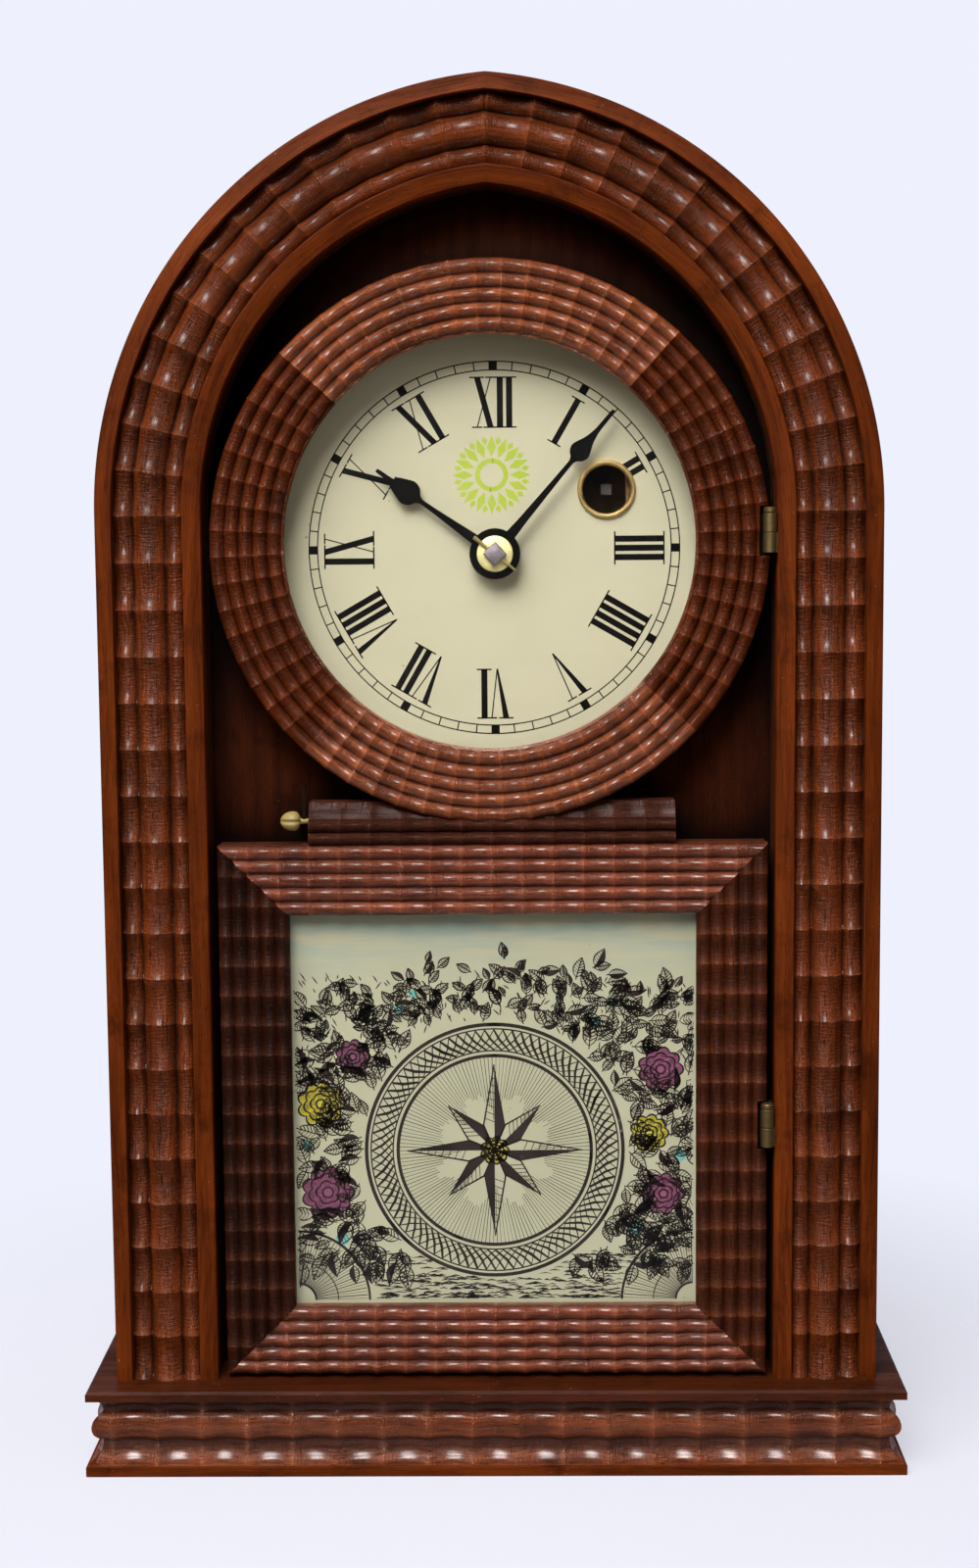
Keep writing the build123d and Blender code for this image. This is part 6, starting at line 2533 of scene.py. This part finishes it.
    def open_ground(self, x: float, y: float, margin: float) -> bool:
        """Tells whether a place lies clear of the roundel and the rosettes.

        Args:
            x: The place.
            y: Its height.
            margin: Space kept round the roundel.

        Returns:
            True where leaves may stand.
        """
        if self.off_roundel(x, y) < 46.5 + margin:
            return False
        return all(math.hypot(x - fx, y - fy) > radius * 0.8 for fx, fy, radius in self.flowers())

    def foliage(self, chance: random.Random) -> list[Outline]:
        """Inks the dense leaves and twigs over and beside the roundel.

        Args:
            chance: The seeded source of unevenness.

        Returns:
            The outlines of the leaves and twigs.
        """
        outlines = []
        reach_x = self.half_width - 2
        middle, height = self.roundel
        for _ in range(self.leaf_count):
            x = middle + chance.uniform(-reach_x, reach_x)
            share = abs(x - middle) / self.half_width
            crown = 178.0 - 13.0 * share ** 2 + 3.0 * math.sin(x * 0.21) + 2.0 * math.sin(x * 0.53)
            y = chance.uniform(70.0, crown)
            if not self.open_ground(x, y, 0.5):
                continue
            turn = math.atan2(x - middle, y - height) + chance.uniform(-1.3, 1.3)
            size = chance.uniform(4.0, 7.5) if y > 150 else chance.uniform(5.5, 9.5)
            outlines += self.leaf(x, y, turn, size, chance.random() < 0.14)
        for _ in range(self.twig_count):
            x = middle + chance.uniform(-reach_x, reach_x)
            y = chance.uniform(140.0, 174.0)
            if self.open_ground(x, y, 1.0):
                reach = chance.uniform(1.2, 3.2)
                lean = chance.uniform(-1.0, 1.0)
                twig = [(x, y), (x + lean, y + reach / 2), (x + lean * 2.2, y + reach)]
                outlines += self.stroke(twig, 0.5, 0.4)
        return outlines

    def hatching(self, chance: random.Random) -> list[Outline]:
        """Inks the short strokes of the ground, clear of the roundel and the fans.

        Args:
            chance: The seeded source of unevenness.

        Returns:
            The outlines of the strokes.
        """
        outlines = []
        middle = self.roundel[0]
        for _ in range(self.hatch_count):
            x = middle + chance.uniform(-self.half_width + 1, self.half_width - 4)
            y = self.low + 1.0 + 17.0 * chance.random() ** 1.4
            if self.off_roundel(x, y) < 47:
                continue
            if min(math.hypot(x - middle - side * 70, y - self.low) for side, _ in SIDES) < 27:
                continue
            reach = chance.uniform(2.0, 5.0)
            stroke = [(x, y), (x + reach / 2, y + 0.35), (x + reach, y)]
            outlines += self.stroke(stroke, chance.uniform(0.3, 0.65), 0.3)
        return outlines

    def fans(self) -> list[Outline]:
        """Inks the fans in the two lower corners.

        Returns:
            The outlines of their rays and arcs.
        """
        outlines = []
        for side, _ in SIDES:
            x, y = self.roundel[0] + side * (self.half_width - 0.6), self.low + 0.6

            def rayed(radius: float, turn: float) -> Point:
                """Gives a point of the fan, with the turn measured up from its foot."""
                return (x - side * radius * math.cos(turn), y + radius * math.sin(turn))

            for index in range(self.fan_count):
                turn = math.pi / 2 * (index + 0.5) / self.fan_count
                ray = [rayed(radius, turn) for radius in (6.0, 24.5)]
                outlines += self.stroke(ray, 0.85 if index % 2 else 0.4, 0.35)
            for radius, width in ((6.0, 0.8), (14.0, 0.4), (25.2, 1.0)):
                arc = [rayed(radius, math.pi / 2 * index / 18) for index in range(19)]
                outlines += self.stroke(arc, width, 0.8)
        return outlines

    def inside(self, outline: Outline) -> bool:
        """Tells whether an outline lies wholly on the picture.

        Args:
            outline: The outline.

        Returns:
            True where no corner lies near or past the edge.
        """
        edge = 0.2
        return all(
            abs(x - self.roundel[0]) < self.half_width - edge
            and self.low + edge < y < self.high - edge
            for x, y in outline
        )

    def colour_patches(self) -> dict[str, list[tuple[float, float, float]]]:
        """Lists the coloured rounds as (x, height, radius) by finish.

        Returns:
            The rounds of each finish.
        """
        return {
            "tablet_yellow": [(-61.0, 129.0, 8.4), (55.0, 118.0, 6.8), (0.3, 112.0, 5.0)],
            "tablet_mauve": [
                (-59.0, 97.0, 9.4), (-49.5, 146.0, 6.2), (59.0, 141.0, 8.0), (60.0, 96.0, 7.6),
            ],
            "tablet_teal": [
                (-33.0, 163.0, 2.0), (-28.0, 168.5, 1.6), (36.0, 158.0, 2.4), (42.0, 165.0, 1.8),
                (50.0, 84.0, 2.6), (-54.0, 80.0, 2.6), (-66.0, 114.0, 2.0), (66.0, 110.0, 2.4),
            ],
        }

    def put_on(
        self, palette: Palette, name: str, outlines: list[Outline], ink: float, finish: str,
        slot: str,
    ) -> None:
        """Lays a coat just in front of the painted ground.

        Args:
            palette: The finishes.
            name: The piece's name.
            outlines: What the coat covers; outlines past the edge of the picture are left out.
            ink: Thickness of the coat.
            finish: Its finish.
            slot: The kind of material.
        """
        kept = [outline for outline in outlines if self.inside(outline)]
        piece = settle(plate(name, kept, self.face - ink, ink))
        palette.put(finish, piece)
        hand_over(piece, "door", slot)

    def build(self, palette: Palette) -> None:
        """Draws the picture.

        Args:
            palette: The finishes.
        """
        chance = random.Random(self.seed)
        outlines = [
            *self.star(), *self.rings_and_rays(chance), *self.foliage(chance),
            *self.hatching(chance), *self.fans(),
        ]
        for x, y, radius in self.flowers():
            outlines += self.rosette((x, y), radius)
        ink = self.ink_thickness
        self.put_on(palette, "tablet_linework", outlines, ink, "tablet_ink", "black_paint")
        for finish, rounds in self.colour_patches().items():
            shapes = [
                [
                    around((x, y), radius * (0.92 + 0.08 * math.cos(9 * turn)), turn)
                    for turn in (FULL_TURN * index / 72 for index in range(72))
                ]
                for x, y, radius in rounds
            ]
            self.put_on(palette, f"{finish}_patches", shapes, ink / 3, finish, "tablet_paint")
        palette.put("tablet_cream", frame["nodes"]["tablet_picture"])


@dataclass
class Hinges:
    """The two butt hinges at the right edge of the door."""

    axis_x: float = 95.8
    axis_depth: float = 0.5
    barrel: float = 2.3
    bore: float = 1.05
    pin: float = 1.0
    sides: int = 40
    half_length: float = 6.7
    lower_knuckle: float = 6.77
    gap: float = 0.2
    ease: float = 0.15
    head: float = 1.9
    head_radius: float = 2.2
    door_leaf: tuple[float, float] = (94.6, 95.5)
    case_leaf: tuple[float, float] = (97.5, 98.4)
    door_leaf_front: float = 3.4
    case_leaf_front: float = 3.8
    door_wrap_front: float = 1.6
    case_wrap_front: float = 0.6
    leaf_back: float = 13.2
    screw_depth: float = 9.2
    screw_radius: float = 1.35
    screw_step: float = 7.0
    screw_slot_half: float = 0.2
    screw_sheet: float = 0.14

    def on_axis(self, name: str, profile: list[Point]) -> bpy.types.Object:
        """Turns a piece of the barrel, with heights along the profile."""
        origin = place(self.axis_x, self.axis_depth, 0)
        return turned(name, profile, origin, Vector((0, 0, 1)), self.sides)

    def knuckle(self, low: float, high: float) -> bpy.types.Object:
        """Turns a tube of the barrel with eased ends.

        Args:
            low: Its lower end.
            high: Its upper end.

        Returns:
            The tube.
        """
        ease, bore, barrel = self.ease, self.bore, self.barrel
        return self.on_axis("knuckle", [
            (low, bore), (low, barrel - ease), (low + ease, barrel), (high - ease, barrel),
            (high, barrel - ease), (high, bore), (low, bore),
        ])

    def pin_piece(self, centre: float) -> bpy.types.Object:
        """Turns a pin with a rounded head.

        Args:
            centre: Height of the middle of the hinge.

        Returns:
            The pin.
        """
        bottom = centre - self.half_length
        neck = centre + self.half_length + self.gap
        top = neck + self.head
        radius = self.head_radius
        return self.on_axis("pin", [
            (bottom, 0.0), (bottom, self.pin - 0.2), (bottom + 0.2, self.pin), (neck, self.pin),
            (neck, radius - self.ease), (neck + self.ease, radius), (top - 0.55, radius),
            (top - 0.2, radius - 0.3), (top, radius - 0.95), (top, 0.0),
        ])

    def leaf(
        self, sides: tuple[float, float], front: float, low: float, high: float
    ) -> bpy.types.Object:
        """Cuts a flat of a leaf from one depth back, between two heights.

        Args:
            sides: Its left and right face.
            front: Depth of its front edge.
            low: Its lower edge.
            high: Its upper edge.

        Returns:
            The flat.
        """
        left, right = sides
        outline = [(left, low), (right, low), (right, high), (left, high)]
        return settle(plate("leaf", [outline], front, self.leaf_back - front))

    def screws(self, palette: Palette, x: float, outward: int, centre: float) -> bpy.types.Object:
        """Sets two slotted screws in a leaf with the screw tree.

        Args:
            palette: The finishes and shared trees.
            x: Where the leaf's face lies.
            outward: 1 where the face looks to the right, -1 to the left.
            centre: Height of the hinge's middle.

        Returns:
            The screws as one mesh.
        """
        radius, sheet = self.screw_radius, self.screw_sheet
        arc = math.acos(self.screw_slot_half / radius)
        halves = []
        for side, _ in SIDES:
            halves.append([
                (side * radius * math.cos(angle), radius * math.sin(angle))
                for angle in (arc * (2 * index / 12 - 1) for index in range(13))
            ])
        disc = [around((0.0, 0.0), radius, FULL_TURN * index / 24) for index in range(24)]
        piece = joined("hinge_screws", [
            settle(plate("screw_halves", halves, 0.0, sheet)),
            settle(plate("screw_disc", [disc], sheet, sheet)),
        ])
        raised = Matrix.Translation((outward * 2 * sheet * MILLIMETRE, 0, 0))
        face_round = Matrix.Rotation(outward * math.pi / 2, 4, "Z")
        piece.data.transform(raised @ face_round @ Matrix.Translation(-place(0, 0, 0)))
        run_tree(piece, palette.groups.screws, {
            "Count": 2,
            "Start": place(x, self.screw_depth, centre - self.screw_step / 2),
            "Step": Vector((0, 0, self.screw_step * MILLIMETRE)),
            "Seed": int(centre) + outward,
            "Finish": palette.made["old_brass"],
        })
        return settle(piece)

    def build(self, palette: Palette) -> None:
        """Builds the leaves, barrels, pins and screws of both hinges.

        Args:
            palette: The finishes.
        """
        case_leaves, door_leaves, pins, case_screws, door_screws = [], [], [], [], []
        for centre in HINGE_HEIGHTS:
            low, high = centre - self.half_length, centre + self.half_length
            joint = low + self.lower_knuckle
            above = joint + self.gap
            case_leaves += [
                self.knuckle(low, joint),
                self.leaf(self.case_leaf, self.case_leaf_front, low, high),
                self.leaf(self.case_leaf, self.case_wrap_front, low, joint),
            ]
            door_leaves += [
                self.knuckle(above, high),
                self.leaf(self.door_leaf, self.door_leaf_front, low, high),
                self.leaf(self.door_leaf, self.door_wrap_front, above, high),
            ]
            pins.append(self.pin_piece(centre))
            case_screws.append(self.screws(palette, self.case_leaf[0], -1, centre))
            door_screws.append(self.screws(palette, self.door_leaf[1], 1, centre))
        for name, pieces, body, nodes in (
            ("case_leaves", case_leaves, "case", ("hinge_case_leaves",)),
            ("door_leaves", door_leaves, "door", ("hinge_door_leaves",)),
            ("headed_pins", pins, "case", ("hinge_pins",)),
            ("case_leaf_screws", case_screws, "case", ()),
            ("door_leaf_screws", door_screws, "door", ()),
        ):
            piece = joined(name, pieces)
            palette.put("old_brass", piece)
            hand_over(piece, body, "brass", *nodes)


@dataclass
class Latch:
    """The turn latch at the left end of the neck and its staple."""

    axis_height: float = 230.4
    axis_depth: float = 5.0
    neck_end: float = -63.3
    stem_radius: float = 0.9
    stem_in_door: float = 7.0
    knob_start: float = 2.8
    knob_length: float = 7.1
    knob_radius: float = 3.4
    knob_widest: float = 0.34
    cleft_width: float = 0.55
    cleft_depth: float = 0.8
    arm_start: float = 1.0
    arm_thickness: float = 1.2
    arm_length: float = 12.5
    hook_drop: float = 3.0

    def egg(self, share: float) -> Point:
        """Gives a point of the knob's profile at a share of its length.

        Args:
            share: Where the point lies, from 0 at the door to 1 at the tip.

        Returns:
            Distance along the knob, and radius.
        """
        widest = self.knob_widest
        lean = abs((share - widest) / (widest if share < widest else 1 - widest))
        return (self.knob_length * share, self.knob_radius * math.sqrt(max(0.0, 1 - lean ** 2.2)))

    def knob(self) -> bpy.types.Object:
        """Turns the stem and the cleft knob.

        Returns:
            The knob with its stem.
        """
        start = -self.stem_in_door - self.knob_start
        stem = [
            (start, 0.0), (start, self.stem_radius - 0.1), (start + 0.1, self.stem_radius),
            (0.0, self.stem_radius),
        ]
        shares = (0.02, 0.06, 0.12, 0.2, 0.3, 0.4, 0.5, 0.6, 0.7, 0.8, 0.88, 0.94, 0.98)
        egg = [self.egg(share) for share in shares]
        origin = place(self.neck_end - self.knob_start, self.axis_depth, self.axis_height)
        profile = [*stem, (0.0, egg[0][1]), *egg, (self.knob_length, 0.0)]
        piece = turned("knob", profile, origin, Vector((-1, 0, 0)), 96)
        for vertex in piece.data.vertices:
            along = (origin.x - vertex.co.x) / MILLIMETRE
            above = (vertex.co.z - origin.z) / MILLIMETRE
            spoke = Vector((0, vertex.co.y - origin.y, 0))
            if along > 0.05 and spoke.length > 0:
                cleft = self.cleft_depth * math.exp(-(above / self.cleft_width) ** 2)
                vertex.co -= spoke.normalized() * min(cleft * MILLIMETRE, spoke.length * 0.6)
        return settle(piece, 50.0)

    def arm(self) -> bpy.types.Object:
        """Bends the arm and its hook out of flat wire.

        Returns:
            The arm with its hook.
        """
        thick = self.arm_thickness
        right = self.neck_end - self.arm_start
        left = right - thick
        top = self.axis_height + self.arm_length
        flats = []
        for name, foot, front, length in (
            ("bar", self.axis_height, self.axis_depth - thick / 2, thick),
            ("hook", top - thick, self.axis_depth + thick / 2, self.hook_drop - thick / 2),
        ):
            outline = [(left, foot), (right, foot), (right, top), (left, top)]
            flats.append(settle(plate(name, [outline], front, length)))
        return joined("arm", flats)

    def build(self, palette: Palette) -> None:
        """Builds the latch and finishes its staple.

        Args:
            palette: The finishes.
        """
        for piece, finish, nodes in (
            (self.knob(), "tarnished_brass", ("latch_knob",)), (self.arm(), "near_black_brass", ()),
        ):
            palette.put(finish, piece)
            hand_over(piece, "latch", "brass", *nodes)
        palette.put("steel", frame["nodes"]["latch_staple"])


@dataclass
class Movement:
    """The going train behind the dial and the pendulum."""

    bob_x: float = 2.0
    bob_height: float = 149.2
    bob_depth: float = 76.2
    bob_radius: float = 21.0
    bob_half_thickness: float = 4.5
    rim_ease: float = 0.2
    rim_steps: int = 14

    def bob(self, palette: Palette) -> None:
        """Turns the lens shaped bob smooth.

        Args:
            palette: The finishes.
        """
        half, rim = self.bob_half_thickness, self.bob_radius - self.rim_ease
        section = [(-half, 0.0)]
        for step in range(1, self.rim_steps + 1):
            angle = math.pi / 2 * step / self.rim_steps
            section.append((-half * math.cos(angle), rim * math.sin(angle)))
        section += [(-along, radius) for along, radius in reversed(section[:-1])]
        origin = place(self.bob_x, self.bob_depth, self.bob_height)
        piece = turned("bob", section, origin, BACKWARD, 72)
        palette.put("bob_brass", piece)
        hand_over(piece, "pendulum", "brass", "pendulum_bob")

    def build(self, palette: Palette) -> None:
        """Finishes the wheels, plates and arbors.

        Args:
            palette: The finishes.
        """
        finishes = {
            # Painted shade: the front plate is near black so that the winding hole shows dark.
            "near_black_brass": ("movement_front_plate",),
            "brass": (
                "movement_back_plate", "great_wheel", "centre_wheel", "third_wheel", "escape_wheel",
                "minute_wheel", "hour_wheel", "rating_nut",
            ),
            "steel": ("movement_pillars", "verge", "click", "pendulum_rod", "suspension_cock"),
            "black_steel": ("winding_arbor",),
            "grey_steel": ("centre_arbor",),
            "blued_steel": ("mainspring",),
        }
        for finish, names in finishes.items():
            palette.put(finish, *(frame["nodes"][name] for name in names))
        self.bob(palette)
        LOG.info("movement finished")


@dataclass(frozen=True)
class Lamp:
    """An oblong soft lamp that only lights, or that only polish mirrors."""

    name: str
    at: tuple[float, float, float]
    size: tuple[float, float]
    power: float
    colour: Colour
    mirrored: bool = False

    def hang(self, aim: Vector) -> None:
        """Hangs the lamp so that it faces a point.

        Args:
            aim: The point that it faces.
        """
        data = bpy.data.lights.new(self.name, "AREA")
        data.shape = "RECTANGLE"
        data.size, data.size_y = self.size
        data.energy = self.power
        data.color = self.colour
        lamp = linked(self.name, data)
        lamp.visible_glossy = self.mirrored
        lamp.visible_diffuse = not self.mirrored
        at = Vector(self.at)
        turn = (aim - at).to_track_quat("-Z", "Y")
        lamp.matrix_world = Matrix.Translation(at) @ turn.to_matrix().to_4x4()


@dataclass
class Studio:
    """Pale floor, soft light and the camera of the photograph."""

    camera_at: tuple[float, float, float] = (0.011895, -0.86352, 0.33554)
    yaw: float = -0.852
    pitch: float = 6.389
    roll: float = -0.480
    lens: float = 55.13
    aim: tuple[float, float, float] = (0.0, 0.0, 0.25)
    backdrop: Colour = (0.855, 0.875, 0.985)
    room: Colour = (0.040, 0.038, 0.036)
    ambient: Colour = (0.185, 0.160, 0.136)
    paper: Colour = (0.80, 0.81, 0.90)
    paper_fleck: Colour = (0.74, 0.75, 0.84)
    floor_reach: float = 3.0
    lamps: tuple[Lamp, ...] = (
        Lamp("wide_window", (-0.62, -1.10, 1.75), (1.8, 1.8), 40.0, (1.0, 0.985, 0.965)),
        Lamp("key_lamp", (-0.28, -1.35, 1.55), (0.8, 0.8), 17.5, (1.0, 0.98, 0.945)),
        Lamp("sheen_window", (-0.28, -1.35, 1.55), (0.66, 0.36), 52.0, (1.0, 0.95, 0.93), True),
        Lamp("side_fill", (1.3, -1.2, 0.7), (1.0, 1.0), 1.8, (0.97, 0.98, 1.0)),
    )

    def camera(self) -> None:
        """Sets the camera where the photograph was taken."""
        yaw, pitch, roll = (math.radians(angle) for angle in (self.yaw, self.pitch, self.roll))
        flat = math.cos(pitch)
        forward = Vector((math.sin(yaw) * flat, math.cos(yaw) * flat, -math.sin(pitch)))
        level = Vector((math.cos(yaw), -math.sin(yaw), 0))
        upright = level.cross(forward)
        right = level * math.cos(roll) + upright * math.sin(roll)
        upward = upright * math.cos(roll) - level * math.sin(roll)
        data = bpy.data.cameras.new("photograph")
        data.lens = self.lens
        data.sensor_width = 36.0
        data.clip_start = 0.02
        camera = linked("photograph", data)
        turned_to = Matrix((right, upward, -forward)).transposed().to_4x4()
        camera.matrix_world = Matrix.Translation(self.camera_at) @ turned_to
        bpy.context.scene.camera = camera

    def world(self) -> None:
        """Shows a pale backdrop behind the clock and lights it evenly."""
        world = bpy.data.worlds.new("studio")
        bpy.context.scene.world = world
        world.use_nodes = True
        world.node_tree.nodes.clear()
        bench = NodeBench(world.node_tree)
        ray = bench.add("ShaderNodeLightPath")
        glossy, through = ray.outputs["Is Glossy Ray"], ray.outputs["Is Transmission Ray"]
        direction = bench.add("ShaderNodeTexCoord").outputs["Generated"]
        depth = bench.add("ShaderNodeSeparateXYZ", {0: direction}).outputs[1]
        behind = bench.spread(depth, -0.1, 0.3)
        mirrored = bench.mix(behind, tint(self.room), tint(self.backdrop, 0.3))
        even = bench.mix(bench.math("MAXIMUM", glossy, through), tint(self.ambient), mirrored)
        colour = bench.mix(ray.outputs["Is Camera Ray"], even, tint(self.backdrop))
        glow = bench.add("ShaderNodeBackground", {"Color": colour, "Strength": 1.0})
        bench.add("ShaderNodeOutputWorld", {0: glow.outputs[0]})

    def floor(self) -> None:
        """Lays a pale floor that fades into the backdrop."""
        reach = self.floor_reach
        corners = [(-reach, -reach), (reach, -reach), (reach, reach), (-reach, reach)]
        piece = new_object("floor", [Vector((x, y, 0)) for x, y in corners], [(0, 1, 2, 3)])
        bench, surface, output = start_material("floor_paper")
        place_in = bench.place_in()
        flat = bench.stretch(place_in, (1.0, 1.0, 0.0))
        away = bench.add("ShaderNodeVectorMath", {0: flat}, operation="LENGTH").outputs["Value"]
        grain = bench.times(bench.noise(place_in, 600.0, 2.0, 0.5), 0.1)
        bench.fill(surface, {
            "Base Color": bench.mix(grain, tint(self.paper), tint(self.paper_fleck)),
            "Roughness": 0.9,
            "Specular IOR Level": 0.1,
        })
        clear = bench.add("ShaderNodeBsdfTransparent")
        fade = bench.spread(away, 0.16, 0.40, 0.62, 1.0)
        either = bench.add(
            "ShaderNodeMixShader", {0: fade, 1: surface.outputs[0], 2: clear.outputs[0]}
        )
        bench.fill(output, {0: either.outputs[0]})
        piece.data.materials.append(bpy.data.materials["floor_paper"])

    def build(self) -> None:
        """Sets camera, light, backdrop and floor."""
        self.camera()
        self.world()
        self.floor()
        for lamp in self.lamps:
            lamp.hang(Vector(self.aim))
        bpy.context.scene.view_settings.view_transform = "Standard"
        LOG.info("studio set")


def main() -> None:
    """Builds the clock's looks piece by piece."""
    logging.basicConfig(level=logging.INFO, format="%(name)s: %(message)s")
    Studio().build()
    palette = Palette(SharedGroups(
        figure=wood_figure_group(), wear_and_shade=wear_and_shade_group(), ripples=ripple_cutter(),
        ring=ring_of_pieces(), screws=screw_row(),
    ))
    hour_hand = Hand(
        "hour_hand_black", "hour_hand", "hour", angle=144.5, length=50.2, bulb_at=37.0,
        bulb_width=8.8, bulb_length=13.0, front=16.2, hole=4.6, hole_sides=48,
    )
    minute_hand = Hand(
        "minute_hand_black", "minute_hand", "minute", angle=49.7, length=64.0, bulb_at=46.0,
        bulb_width=7.2, bulb_length=14.0, front=13.4, hole=3.1, hole_sides=4,
    )
    for maker in (
        CaseWoodwork(), DoorWoodwork(), DialPrint(), WindingGrommet(), hour_hand, minute_hand,
        HandFittings(), TabletPicture(), Hinges(), Latch(), Movement(),
    ):
        maker.build(palette)


if __name__ == "__main__":
    main()
